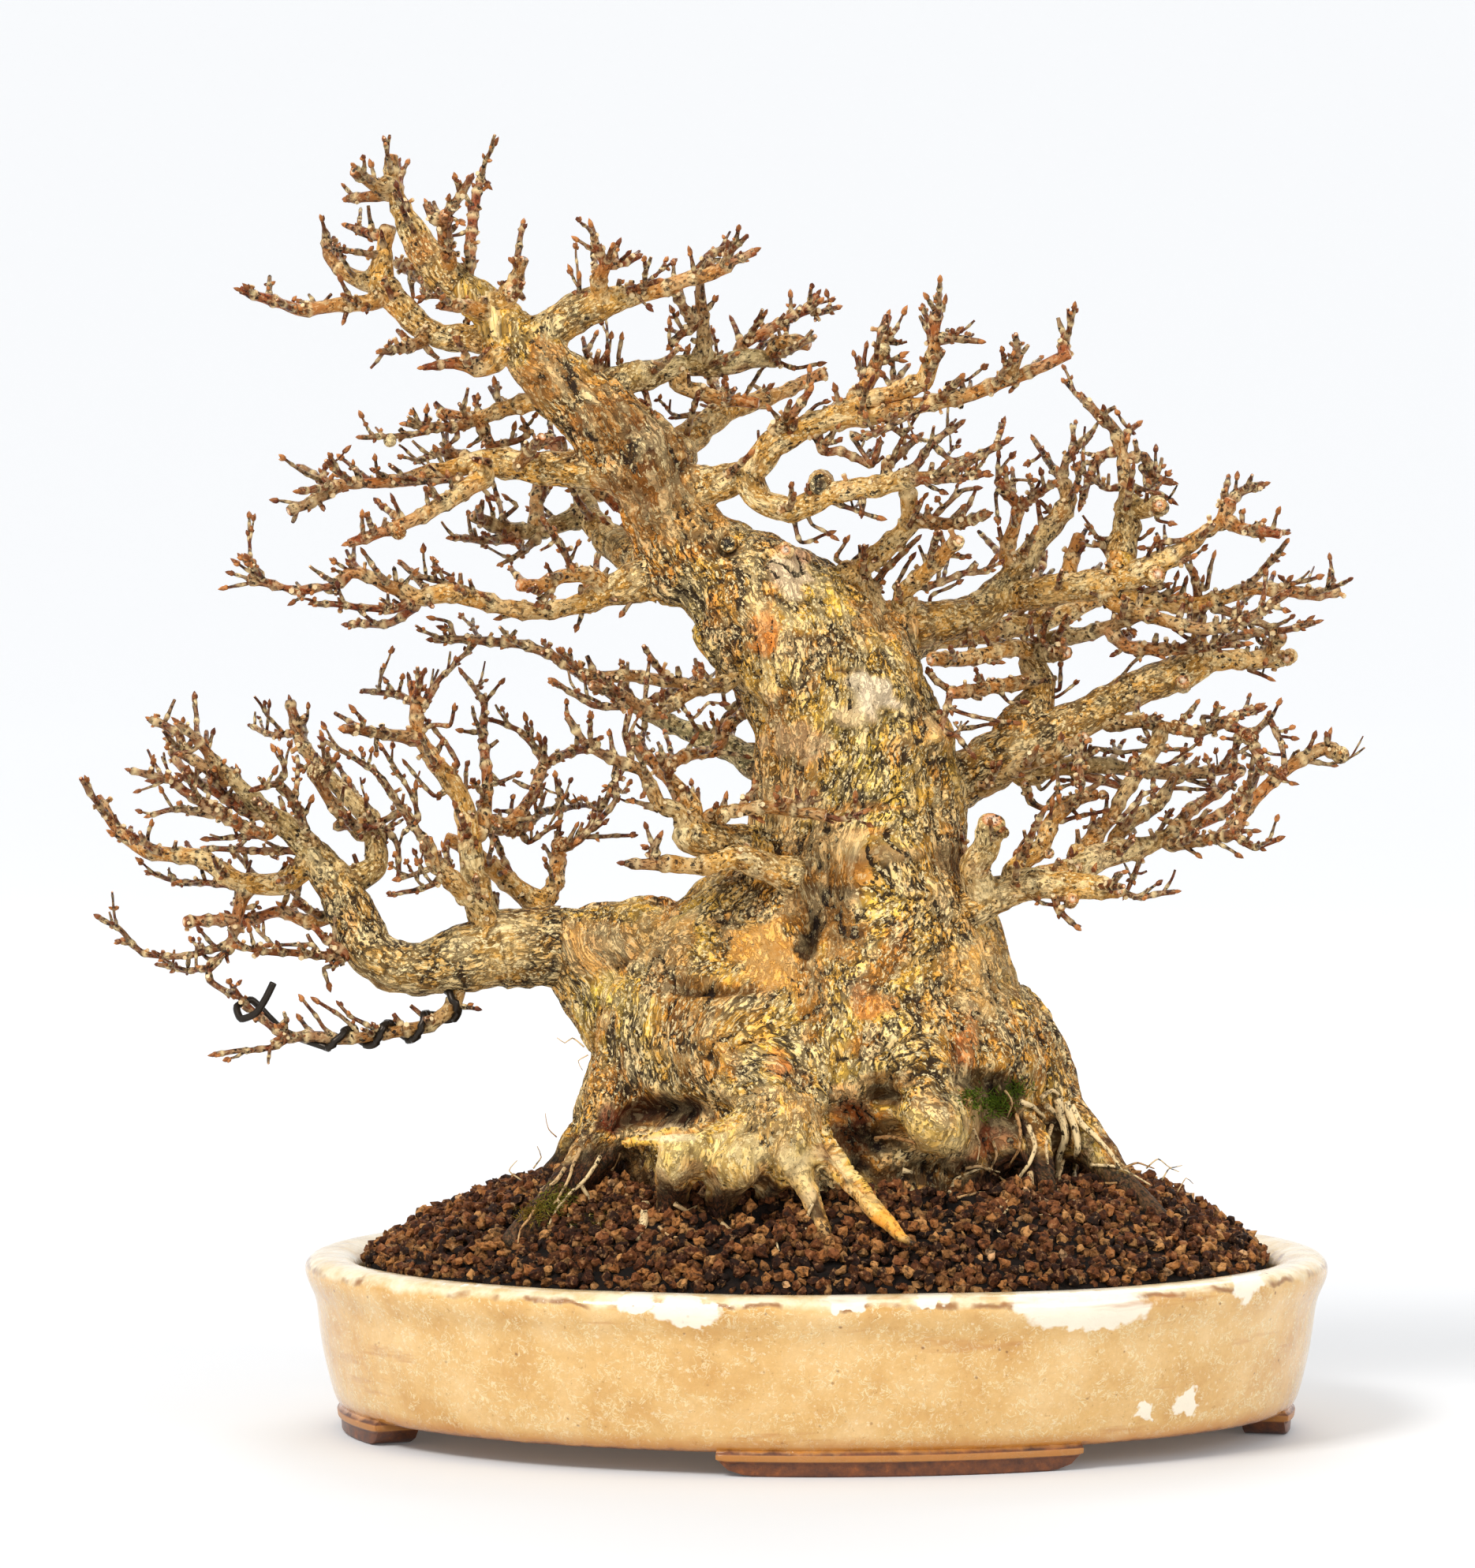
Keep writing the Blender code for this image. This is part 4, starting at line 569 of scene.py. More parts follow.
# %% Routes of the boughs: x, height, depth, radius
BOUGH_ROUTES = """
upper_trunk: 5 185 0 22, -6 202 0 18.5, -15 211 0 16, -26 219 1 12.5, -36 229 2 10.6, -41 239 2 10,
  -47 249 1 10.6, -57 258.5 0 9.6, -66 266.5 0 8.2, -73 274.5 1 7, -79 281 2 5.4, -86 287 2 4.4;
left_bough: -28 118 0 15, -50 121.5 -2 11.5, -66 122.5 -5 9.5, -80 122 -7 9.5, -92 119 -9 8,
  -100 117 -10 6.3, -108 118 -10 6.3, -114 122 -10 6.3, -117 129 -9 6.3, -121 137 -8 5.5,
  -126 144 -8 4.5, -130 149 -8 3;
low_right_bough: 20 121 -8 6, 34 130 -14 5.5, 45 135.5 -16 4.5, 54 138.5 -18 4, 62 138 -22 3.6,
  70 138 -25 3.2, 77 137 -28 2.2;
low_right_fork: 56 139 -18 3.5, 64 141 -12 3.6, 71 145 -6 3.6, 79 147 -2 3, 86 149 0 2.4, 92 152.5 2 2;
right_bough: 20 158 2 9, 38 166 6 6.5, 48 171.5 8 7, 58 176 9 6, 68 181 10 5, 77 186 12 4.6,
  86 190 13 4.6, 94 193 14 4.6, 101 195.5 15 2.9, 110 195.5 16 2.4, 118.5 196 17 2.6;
right_snag: 50 174 8 6.5, 53 180 12 6, 57 188 15 3.6, 55 195 17 3.6, 56 200 18 3;
high_right_bough: 8 196 4 10, 22 203 8 6.5, 32 205.5 12 5, 41 207.5 16 5, 48 214 20 4.2, 55 224 24 3.1,
  61 231 27 2.8, 64 236 29 2.4, 61.5 243 31 1.3;
far_right_bough: 46 211 19 4, 56 212.5 14 4, 66 214 9 4, 75 215 5 3.6, 82 218 2 3.2, 90 221.5 0 2.8,
  98 227.5 -2 2, 102.5 230.5 -3 2, 105 236 -4 1.6;
right_spire: 76 215 5 3, 77 222 8 3.8, 78.5 229 11 3.8, 78.5 236 13 2.4, 78 243 14 2, 77.5 248 15 1.8,
  75 254 16 1.6, 71 258 17 1.5, 67 262.3 18 1.1;
top_right_bough: -36 238 0 7, -26 240 -4 4.5, -17 243 -8 3.8, -11 250 -11 3.6, -4 254 -13 3.3,
  4 257 -15 3, 11 260.5 -17 2.6, 20 263.5 -19 2.4, 27 266 -21 2.6, 29.5 272 -23 2.2, 30 278 -25 1.6,
  30.3 283.5 -26 1.5;
crown_right: -72 276 0 5.5, -64 281.5 -2 4.8, -56 285.5 -4 4.6, -49 287 -5 3, -40 289 -7 2,
  -32 292 -8 1.9, -26 293.7 -9 2, -21 296.5 -10 1.4, -15.7 299 -11 1.3;
mid_right: -56 258 0 6, -50 265.5 4 4.4, -40 268.5 8 3.4, -32 270 12 3, -25 270 15 3, -18 271.5 18 3,
  -10 272 21 2;
crown_apex: -84 285.5 2 4.8, -92 291 3 4.6, -98 297 4 4.6, -102 304 4 3.6, -105.5 311 5 2.4,
  -107.5 317 5 2.2, -107.3 323 5 1.7;
crown_left: -76 275 1 5, -86 277 4 3.6, -95 277.3 7 3.3, -101 281 9 3.2, -106 286 11 3.5,
  -110 291 12 3.7, -109.5 298 13 2.8, -108.3 305 14 1.8;
left_shelf: -46 245 0 7, -60 244 2 4.8, -70 244 3 4, -80 245.5 4 3.8, -88 245 3 3, -97 243 2 2.1,
  -106 241 0 1.8, -114 240.2 -2 1.6, -123 239.7 -4 1.7;
left_arm: -26 217 0 9, -42 216 2 6, -52 213 2 3.8, -60 209.7 1 2.8, -70 207.8 0 2.3, -80 208.8 -1 2.3,
  -91 212.5 -3 2.5, -101 211.5 -5 2.3, -109 214.7 -7 1.8, -117.5 217.8 -9 1.8, -122 214.7 -10 1.3,
  -131 213 -12 1.2, -139 215 -14 1.3, -144 216 -15 1.4;
back_left: -38 220 8 7, -48 223 22 4.8, -54 227.5 32 3.8, -58 233 40 3.2, -60 239 46 2.4,
  -64 246 52 1.8, -68 252 57 1.3;
back_right: 14 196 14 8, 28 202 30 4.6, 44 203 44 3.4, 60 206 54 2.6, 73 212 60 2, 84 219 64 1.3;
back_low: 4 158 14 9, -8 164 34 5, -20 172 48 3.6, -34 178 58 2.8, -50 186 66 2, -66 196 71 1.3;
back_top: -40 240 5 8, -34 250 18 4.4, -24 258 30 3.2, -12 262 40 2.4, 2 268 48 1.5;
front_burl: -12 146 -18 6, -24 149 -27 4.8, -32 151 -32 4.4, -33 154 -33 2.8;
front_snag: 2 138 -22 6, -10 142 -28 4, -20 145.3 -33 3.2, -29 143.3 -36 2.4, -39 143.7 -39 2,
  -48.7 144 -42 1.1
"""

# %% Routes of the branches: name, parent, depth of the tip, first and last radius, then x and height
BRANCHES = """
a1 left_bough -26 3.5 1: -133 152, -141 158, -147 164, -152 169, -156 174, -162 179.5
a1_low a1 -8 2 1: -150 165, -156 169, -161 172, -162 177, -169 180.3
a2 left_bough 16 3.4 1.5: -135 139, -145 138.5, -150 141, -156 145, -163 146, -170 147, -177 152, -182.5 160.5
a4 a2 -4 2.1 1.2: -145 137, -147 131, -148.5 123
a4_snag a4 -8 1.6 1.5: -148 129.3, -160.5 129
a4_twig a4 2 1.2 0.7: -151 122.5, -163 120, -171 121, -177 127, -182 130
a4_down a4 -10 1.2 0.8: -149 122, -154 118, -154 114, -148 110
a5 left_bough -26 1.5 0.9: -120 120, -133 121, -140 121.5, -147 122.5
a6 left_bough 8 2.4 1.2: -122 131, -129 129, -137 131.5, -148 127.5
b1 a1 -34 1.9 0.8: -140 151, -152 156.5, -160 162, -164 165, -174 167.5
b3 a1 10 1.6 1: -147 160, -158 165, -163 171, -164.5 176
b7 left_bough -28 1.5 0.9: -131 157, -136 164, -142.5 162.7
b8 left_bough 14 3.6 1.3: -112 143, -113 154, -118 160, -124 166, -131 175, -133.5 185
b8_front b8 -14 2.4 1.2: -116 152, -122 158, -127 166, -122.5 170
wired left_bough -17 2.3 1.3: -91 111, -94 106, -99 102.5, -106 101, -113 99.8, -121 99, -129 99.8, -136 99.3
wired_tip wired -14 1.2 0.8: -137 101, -145 108, -148 112
c1 left_bough -24 3.4 1.9: -85 132, -91 138, -97 144, -99 150
c2 left_bough -6 4.2 1.5: -87 140, -88 150, -90 160, -97 170, -101 177, -102 190
c2_left c2 -24 1.9 1.3: -101 175, -111 177, -120 178
c3 c2 20 2.2 0.9: -85 152, -83.5 164, -84.5 175, -84 185
c4 c3 34 2 1.2: -78 154, -72 161, -69 169, -61 172.5, -57 173
c5 left_bough 18 3 1.9: -70 131, -66 140, -65.5 148
n1 left_arm 6 2.3 1.1: -24 190, -36 190, -47 191.5, -58 191.5, -67 196.5, -75 199.5, -88 200.7, -97 200.8
n2 upper_trunk -36 2.7 1.4: -22 190, -31 188, -41 181.7, -49 186.5, -57 189
p1 front_burl -12 2.5 1.4: -31 158, -36 164, -41 169, -48 176
p2 front_burl -44 2.4 1: -35 157, -40 159, -44 167, -52 170.5, -59 174.5, -63 181
p3 p1 10 1.9 1.6: -39 168, -33 171.3, -26 172.5, -22 179, -17 183
p4 front_burl -38 1.8 1.7: -27 156, -12 158, 2 156
v1 upper_trunk 14 3 1.6: -68 262, -78 259.5, -86 256.5, -95 258
v2 v1 -4 1.8 0.8: -86 255.5, -92 254.5, -104 255.4
v4 v1 12 1.8 1.5: -84 253, -81 247
w1 left_shelf -20 2.9 1.3: -85 241.5, -91 237.5, -100 232, -109 228.3, -118.5 225
w2 left_shelf -10 1.6 1.4: -125 237, -133.5 233
w6 left_shelf 16 1.9 0.8: -89 247, -96 248, -101 245.8
w7 left_shelf -12 1.8 1.4: -76 244, -73 248, -69.5 252
y1 back_left 26 2.8 1.8: -62 231, -72 228, -80 229, -87 232
y2 y1 14 1.6 0.8: -77 226.3, -84 226, -92.5 226.5
y3 y1 44 2.2 1.7: -71 229, -71 235, -70 242
y4 y1 22 1.5 0.6: -71 226, -75 222.5, -80 220
z1 left_arm -14 2.4 1.8: -56 216.5, -64 217, -70 214.2, -75.5 214.5
z2 z1 -20 1 0.8: -62 219, -66 226, -69 230.5
l2a left_arm -16 1.3 0.8: -103 210, -108 208.2, -117 209, -127 210
l2b left_arm 6 1.4 0.9: -102 209, -108 205, -118.5 204.5
u1a crown_apex -6 2.4 1.4: -111 315.5, -117 319
u1b crown_apex 12 1.9 1.2: -111 313, -118.5 312
u2 crown_apex -16 2.3 1.5: -93 296, -94.3 303, -94 308.5
u2_right u2 -20 1.4 1: -91.5 311, -87.5 317
u2_left u2 -12 1.8 1.3: -97 307.5, -98.5 311
u3 crown_apex 14 1.6 1.2: -88 293, -87.3 303, -86 313, -84.5 319
u4 crown_apex -8 3.2 1.5: -78 287, -76 292, -74 297
u5a crown_left 26 2.7 1.2: -115 291.5, -120 294, -123.5 298, -124 303.5
u5b crown_left -2 2.5 1.2: -113 286, -122 285.3, -130 284, -137 286.3, -145.7 289
u5c crown_left 22 1.6 0.9: -112 303.3, -118.7 305.5
u5e crown_left -10 2.2 0.8: -100 276.3, -104 274.5, -110.5 273.5
u6 crown_apex 30 2.4 1.2: -97 290.5, -106 296
u7 crown_apex -16 2.6 1.3: -84 284, -90 285, -95 285
u8 upper_trunk -14 3.4 0.9: -84 269.5, -92 270.8, -99.5 269.5
t1 crown_right -16 2.8 1.6: -55 291, -53 296.5
t1_tip t1 -20 1.4 0.8: -55.5 300, -57 305
t1_low t1 -8 1.4 1: -49 296, -45.3 297.5
t4 crown_right 2 1.4 0.9: -27.5 297.5, -19.7 300.7
s1 mid_right 30 1.8 1.2: -19 275, -10 280.3, -3 284, 0 287.7
s2 mid_right 14 2.4 1.9: -9 276, -2 275.3
s4 mid_right 2 2.6 1.2: -28.5 276, -29 284, -29.7 290.5
s4_left s4 -4 1.5 1.3: -32 282, -35.3 287.7
s6 mid_right 6 2.6 1.6: -34 265, -25 262, -15 260.5
s8 upper_trunk 14 2.6 1.8: -55 268, -57 270.3, -62 267.5
r1 top_right_bough -4 2.4 1.2: 9 259, 13 266, 16 273, 17 279, 18 282.5
r2 top_right_bough -30 2.8 1.5: 4 255.5, 14 257.5, 26 260, 38 262.5, 48 266.3, 57 269.7, 64 273
r2_cut r2 -24 1.5 1.4: 62 273, 62.8 277.5
r2_knob r2 -34 2.2 1.7: 49 268.5, 51 273
r3 top_right_bough -32 1.4 0.9: 34 277, 41 276.3
r4 r2 -40 1.2 0.8: 19.5 255, 11 251.7
r5 top_right_bough -20 2.2 1: -10 254, -6 258, -1.7 263.7
r6 top_right_bough -24 3.4 2.6: -14 236, -6 233.5, 3 237.5, 14 239.5, 24 241.5
r6_a r6 -34 1.9 0.9: 31 242, 38 245.5, 48 251
r6_b r6 -16 1.3 0.8: 25 244.5, 29 250, 36.5 255.5
r6_c r6 -40 1.2 0.9: 34 241, 43 242.7
r6_d r6 -10 1.7 0.9: 18 245, 26 252
r7 high_right_bough -8 3.4 2.2: 11 217, 18 224, 23.5 230.5, 23 240
r8 r7 -26 2 1.3: 30 230.3, 36 230, 43.5 232.5
r9 high_right_bough -20 3 2: 22 212, 28 218, 35.5 225.5
r10 high_right_bough 4 2.4 1.4: 48 222, 50 229, 51 234.5, 46 241
r10_side r10 -6 1.4 1: 54 236, 60 240.3
q2 high_right_bough 24 1.3 1.1: 63.5 246.5, 69 252.3
q3 right_spire 26 1.4 0.9: 72 247, 69 242, 67 235
q5 right_spire 2 2.7 2.6: 82 234, 87 234.7
q6 right_spire 24 1.5 1.2: 83 247, 85 242, 90 240.5
q8 far_right_bough -10 2 1.4: 108 228.7, 117.5 227.5
q9 far_right_bough 2 1.4 1.2: 107 238, 113 240
q10 far_right_bough 16 2.4 1.8: 64 218, 66.5 227
e1 far_right_bough 14 3 1.4: 76 212, 86 210.3, 96 209.5, 105 212, 111 213.7, 120 213, 126 212, 132.5 213
e2 far_right_bough -16 2.2 1.2: 75 210, 84 206.7, 96 203.5, 105 204.3, 113 208, 119 212.5
e3 right_bough 8 2.7 1: 97 200, 97 207, 96 217
e4 e1 4 1.4 0.8: 101 209, 111 205.5, 118 203, 126.5 205
e5 right_bough 28 1.6 1.1: 101 199.5, 108 201.7, 114.3 202.6
e6 right_bough 8 1.9 1.7: 115 197, 118 201.7
g1 right_snag 2 2.6 1.6: 61 201, 68 202, 76 204.7, 84 207.3
g2 g1 8 1.9 1.6: 74 202.5, 79 199, 92 198
g3 right_snag 0 2.4 1.9: 59 197, 63.5 197.3
g4 right_snag -14 2.2 1.7: 53 190, 44 188.5, 34 187
g5 right_snag -10 2.4 2: 50 198.5, 40 196, 29 195.5
i1 right_bough -10 2.2 1.3: 74 179.3, 82 180, 91 178, 97 177.3, 105 180
i1_up i1 -4 1.3 1.1: 108 182, 112.8 183.2
i1_down i1 -20 1.5 1.2: 108 177.3, 111 174, 113 169, 118 166
i2 i1 -16 2.3 1.8: 86.5 174.5, 83 168.5, 78 161.5, 75 155
j1 right_bough 26 3 1.5: 52 166, 60 168, 70 169, 82 167.5, 94 166.7, 106 168
j2 j1 16 1.4 1.1: 66 166.3, 72 165, 77 163.5
k1 low_right_fork 14 2.3 1.6: 76 150, 80 154.5, 87 159, 91 166
o1 low_right_fork 18 1.9 1.4: 95 157.5, 102 162, 108 168
o2 low_right_fork 4 1.7 1.4: 96 153.5, 104 157, 110 163, 112 168
o3 low_right_fork -14 1.8 1.4: 90 148.5, 99 149.7, 107.5 151.5
o4 o3 -6 1.7 2: 108 156, 114 163, 121 169, 129 173, 133.3 171
o7 low_right_fork 6 2.9 1.9: 67 146, 71 151, 75 156
m1 low_right_bough 2 2.9 1.7: 50 142, 57 148, 60 155, 66 160, 71 161.3
m2 low_right_bough -30 3.8 3.4: 40 142, 43.5 149, 44.5 154.5
m3 right_bough -20 2.5 1.6: 42 162.5, 52 168.5, 60 171, 68 176
m4 m3 -26 1.4 1.2: 66.5 171, 67 163.5
bl1 back_left 62 1.6 0.9: -58 236, -56 244, -54 250
bl2 back_left 34 1.6 0.9: -52 226, -46 232, -44 240
br1 back_right 66 1.8 1: 48 204, 54 212, 58 222
bk1 back_low 70 1.8 1: -14 170, -6 176, 2 182
bk2 back_low 48 1.6 1: -26 176, -20 184, -14 190
bk3 back_low 72 1.5 0.9: -44 184, -36 188, -28 190
bt1 back_top 56 1.6 0.9: -24 259, -26 266, -24 272
a3 a2 20 1.1 0.7: -147 138, -156 139, -162 139, -169 141.5
a4_out a4_down 6 0.9 0.7: -154 117, -160 116.5, -167 118
b2 b1 -22 1.1 0.7: -150 157, -164 157.5, -169 156
b5 left_bough 4 1.3 0.8: -133 147, -144 147, -154.5 147.8
b8_left b8 26 1.1 0.7: -133 177, -138 176.5, -143.5 178.7
b9 b8 -6 1.2 0.8: -111 154, -106 157
wired_low wired -24 1 0.7: -139 96.8, -152.5 95.3
c2_out c2 12 1.1 0.8: -102 184, -106 186.5, -115 187.7
c2_up c2 6 1 0.6: -100 183, -96 190, -87 199
c3_tip c3 26 1 0.7: -85 186, -89.5 192
c4_up c4 24 1.2 0.7: -72 174, -76 178, -82 180
c5_tip c5 4 1.2 0.8: -60 150, -55 157, -50.5 166
c6 c1 -34 1.2 0.7: -102 153, -108 162, -113 168, -125 175
c7 c3 44 1.6 0.7: -76 152, -69 157, -56 158.8
n2_low n2 -38 1.1 0.7: -50 184, -57 184.3, -66 189.7
p2_fall p2 -34 1 0.7: -51 167, -51 160, -56 154, -60 150
v3 v2 -14 1 0.8: -94 253.5, -107 252, -115 252
w3 left_shelf 4 1.1 1: -125 241, -130.5 244.5
w4 left_shelf -14 1.1 1: -126 239, -131 238.3
l2c left_arm 8 1 0.8: -93 214.5, -101 217, -105 220
l2d left_arm -22 1.1 0.9: -141 217, -144 221
u5d crown_left 6 1.2 0.8: -112 298, -118.3 299
u7_tip u7 -22 1 0.8: -95 287.5, -100 287.3
t3 crown_right -16 1 0.8: -48 289, -40 291.3
s1_low s1 36 1.1 0.8: 0 283.3, 5 284.7
r1_side r1 4 1.1 0.8: 17 275, 20 279.3
q1 high_right_bough 38 1.2 0.8: 59 245.5, 55 251.5
q4 right_spire -2 1 0.8: 74 239, 66.3 244
q7 right_spire 20 1.1 0.8: 77 251, 81 255
i3 i1_down -26 1 0.8: 112 178, 115 180, 118 174, 119 168
o3_tip o3 -20 1.1 0.8: 111 148, 117 150
o5 low_right_bough -30 1 0.8: 82 135.3, 91 136.6
o6 low_right_bough -30 1.3 0.7: 61 132.5, 66 127.8
"""
# %% [markdown]
# The finest shoots need no parent or depth of their own: each list is x and height
# pairs and then a radius, and a shoot takes its depth from the wood nearest to where
# it starts. Knobs are the swellings, cut stubs and dark scars that face the front.

# %% Routes of the fine shoots
SHOOTS = """
-165 165 -168 163.5 -171.5 162.5 .5; -163.5 158 -166 162 .6; -142 151 -147 150.5 -154.5 150 1
-136.5 164.5 -135 167 -136 171.5 1; -143 156 -153 162 -157 164 -161 166 1.5
-122 153 -115 153.5 -110 153 -107 150 -106 147 -106 141 1.1; -150 157 -160 161.5 -164 165 -168 165 1.2
-114.5 153.5 -114.5 160 .9; -130 168 -132 170 .8; -123 168 -122 170.5 .8; -129.5 180 -129 183.5 .6
-120 121 -124 124 -127 127 1.5; -128 123 -139 123 .7; -122 118 -125 117 -124 113 .8
-170 149 -169 153.5 .8; -123 100 -126 103 -130.5 109 .8; -117 101.5 -121 105 -126.5 108.5 .8
-113 102 -118 104.5 -121 107.5 .8; -73 135 -78 139 -84 144 -89 148 -94 150 3; -96 179 -93 179 -92 183 .8
-91 169 -94 174 -97 178 -100 181 .8; -106 187 -105 191 .6; -107 187 -109 190 .6; -115 180 -117 182.5 .8
-84 185 -80 189.5 .6; -85 177 -90 177.5 .8; -82 164 -76 166.5 .8; -75 157 -80.5 157 .8
-73 149 -70 151 -66 153.5 .9; -66 150 -65 156 -66 166 .9; -58 150.5 -47 151 .8; -63 149 -61 153 .8
-101 155 -103 162 -110 173 .9; -97 161 -104 169 .8; -98 138 -107 136 1; -99 142 -106 140 .9
-92 202 -93 205 -97 206 .7; -93 203 -94.5 203.5 .6; -61 191.5 -61 194 .7; -44 183.5 -42.5 184.5 .6
-34 183.5 -31 181 -27.5 184.5 -24 184.5 .6; -43.5 181 -44 177 -46 174.5 1; -47 171 -48.5 176 -47.5 182 1
-27 172.5 -21 171.5 -18 171 .8; -23 184 -24 189.5 .8; -22.5 175.5 -20 174 -15 174 .8
-40 157.5 -43 158.5 -46.3 159.5 1; -31 160 -31.5 164 .5; -24 156 -23 160.5 1
-41 144 -41 148 -40 150.5 1.4; -41 147 -43 148 .8; -45 212 -47 210 -49 207.5 .8; -59 209 -60.5 204 .7
-77 207 -80 206.3 .7; -92 215 -93 217 -95.5 218.3 .6; -119 218.5 -122 220.5 .6; -120 217.5 -122 218.3 .5
-130 212 -132.5 210.5 .6; -141 216 -145.5 221.5 .8; -144 215 -149.5 214 .7; -145 216.5 -148 217.5 .6
-142 217 -146.5 220 .6; -104.5 214.5 -102 217.5 .7; -67 214 -69 211 -70.5 210 1.3
-65 226 -63 222 -62 219.5 .7; -82 232 -83 236 .7; -80 231 -76 234.5 -78 236.5 .8
-57 238 -53 237 -50.5 234 2; -90 241 -104.5 240.3 1.2; -91 252 -93 250 .8; -108 241.5 -112 243.5 .8
-81 250 -76 251 -73 253 -74 255.5 1.2; -131 235 -136.5 236 .6; -123 240 -125 242 -124.5 244.3 1
-86 258 -86 261.5 .8; -93.5 309 -93 312 .5; -91.5 307 -90 306.3 .6; -84.5 317 -83.5 316 .8
-60 288 -60 292.3 1; -52 297 -50 300.8 .9; -50 296 -48 298 .7; -31 294 -32 298 .8; -53 270 -53 274.3 1
-50 272 -49.5 276.7 .8; -43 262.5 -42.5 258 -42 250 1; -18 260.5 -28 258 -36 257 1.3; -15 262 -12 264.5 .8
-14 277 -11 279.5 1.5; 1 286 3.7 286.6 .6; -10 271 -6 269.5 .6 270.4 .8; -31 280 -34 278 -37 275 1.5
-37 276 -37.5 280.5 .6; -31 236 -28 231 -26 224 1.5; 31 276 34 277 36 279 1.2; 30 284 28 287.3 .7
31 285 31 287.5 .6; 32 284 32.3 286 .6; 12 266 12.3 274.3 .8; 17 272 21 271.3 .7
33 265.5 38 266.3 42 269.3 .6; 19 259 19 255 22.5 252.3 1.2; 11 251.5 17 254 27 259 .9
2 248.5 6 248.5 10 246.5 14 245 16 250.5 1.5; 9 253 11 249 13 246 .9; -4 256 0 260 2.2 260.8 .7
-9 256 -11.7 259 .7; 31 248.6 38 243.5 43 242.5 .9; 28 240 31.5 238.3 .7; 3 236 8 234 15.5 231.7 .9
-1 230 4 227 .7; -4 225.5 3 227.5 .7; 5 221 7.5 225.5 .8; 9 220 12 223.5 .8; 14 213 18 219 25 225.5 1.3
30 232 36 238 40 239 .9; 33 222 38 221.6 .8; 28 214 38 217.5 43 218 45 221 1.2; 29 211.5 36 215 .7
20 214 24 221 .8; 46 244.5 46 247 .7; 47 244 49.3 247 .6; 50 241 54.8 241.2 .6; 45.5 237.5 46 231 .7
66.5 243 66 239.7 .9; 82 244.5 84 241 .7; 84 240 89.7 236 .9; 80 239.5 86 238 1; 86.5 231 89.5 230 .7
82 226 84 227.5 .7; 72 226 74 222 77 220 1.2; 84 222 86 226 .7; 87 225 92.5 226 1.2; 90 220 95.5 221.7 1.2
106 238 106.5 241.5 .6; 99 214 99.5 218 100.5 221.5 .8; 97.5 213 98 215.5 .6; 117 214 121 215 127 216.5 .9
107 204 109 203 .7; 116 209 118.5 208.3 .7; 86 211 90.7 213.3 1.2; 82 212.5 88.5 214.5 1.2
94 198 104 199 108.5 199.5 1.3; 112 200.5 113.5 199.3 .7; 84 198 80 194.5 77 191 70 184 .6
84 197.5 87 196.5 .7; 78 205 80 203 .7; 110 193 114.5 191 .9; 61 186 65.5 189.5 .6; 61.5 188 62 194 .8
34 183.5 39 181.5 50 179.5 .8; 32 178 36 176 39 172 1; 36 178 44 179 .8; 47 187 49 185 52 184.7 .7
61 172 61.5 161 .7; 57 162.5 60 165 .7; 59 159 62 163 65 164 .7; 62 154.5 73 157 .8
70 173 78 172 92.5 173 .8; 84 169 88 168.5 94 171 .9; 94 166.5 96.5 169.8 1.5; 94 165.5 99.5 163.5 .9
90 163 99 162.5 .7; 77 155 83 161 86 162.5 .8; 94 148 96.5 146 .7; 102 149 107 146.3 .7
108 152 111 152 .7; 82 144 80 139 79 136.5 1; 76 141 77.7 141.4 .7; 54 151 51 147 .6; 98 181 103 180.5 .8
118 176 120.7 175.8 .6; 107 176 106 171 106 168.5 1.2; 108 172.5 111 171 .7; 129.5 174 130.3 176.5 1
124 170 130.7 169 .9; 118 165 120.5 164.3 .6; 26 168 20 172 16 175 12 180 2
-11 158 -2 157.5 6 155 12 157 1.1; -4 157 -1 161 .9; 2 156 4 152.5 .9; 54 160 58 158 63 160 1.2
"""
# x, height, radius, and k for a knob, c for a pale cut that faces the front, d for a dark one
KNOBS = """
-127 167 2.5 k; -85 135 3 k; -24 156 2.6 k; -55 175.5 1.7 k; -108 250.5 1.8 k; -106 228 2.2 k
-95 258 1.5 k; -77.5 289 3 c; -45 268 4 k; 17 274 2 k; -9 254.5 2 k; 6 218 3.6 k; 36 225.5 2 c; 86 217 3 c
119.5 196 2.6 c; 93 190 2.8 c; 87 234.7 2.6 c; 86.5 158.5 2 k; 77 136.8 2 c; 65 134 2.2 c; 91 179 1.5 k
110 176 2.5 k; 133 171.5 2.5 k; 112.5 168 2 d; .5 241 4.3 d; -22.5 225 3 d; -8 223 3 c; 3 156 1.6 c
60 145.5 1.8 c; 66 143 2 c; 53 164 1.6 c; 74 161 1.5 c; 46 164.5 1.8 k; 50 151 1.6 k; 57 138 1.8 k
-65 148.5 2.6 k; -150 141 1.6 k; -121 143 2 k; 30 205 2.4 k; 48 213 2.2 k; -90 245 2 k; 75 215 2.4 k
"""


# %% [markdown]
# Surface roots start high in the flare and dive under the soil; each is a route like
# a bough's, fat at the top. In front two pale lumps and two bare legs stand over dark
# hollows, a long thin tongue runs left, and a big knob hangs on the right.

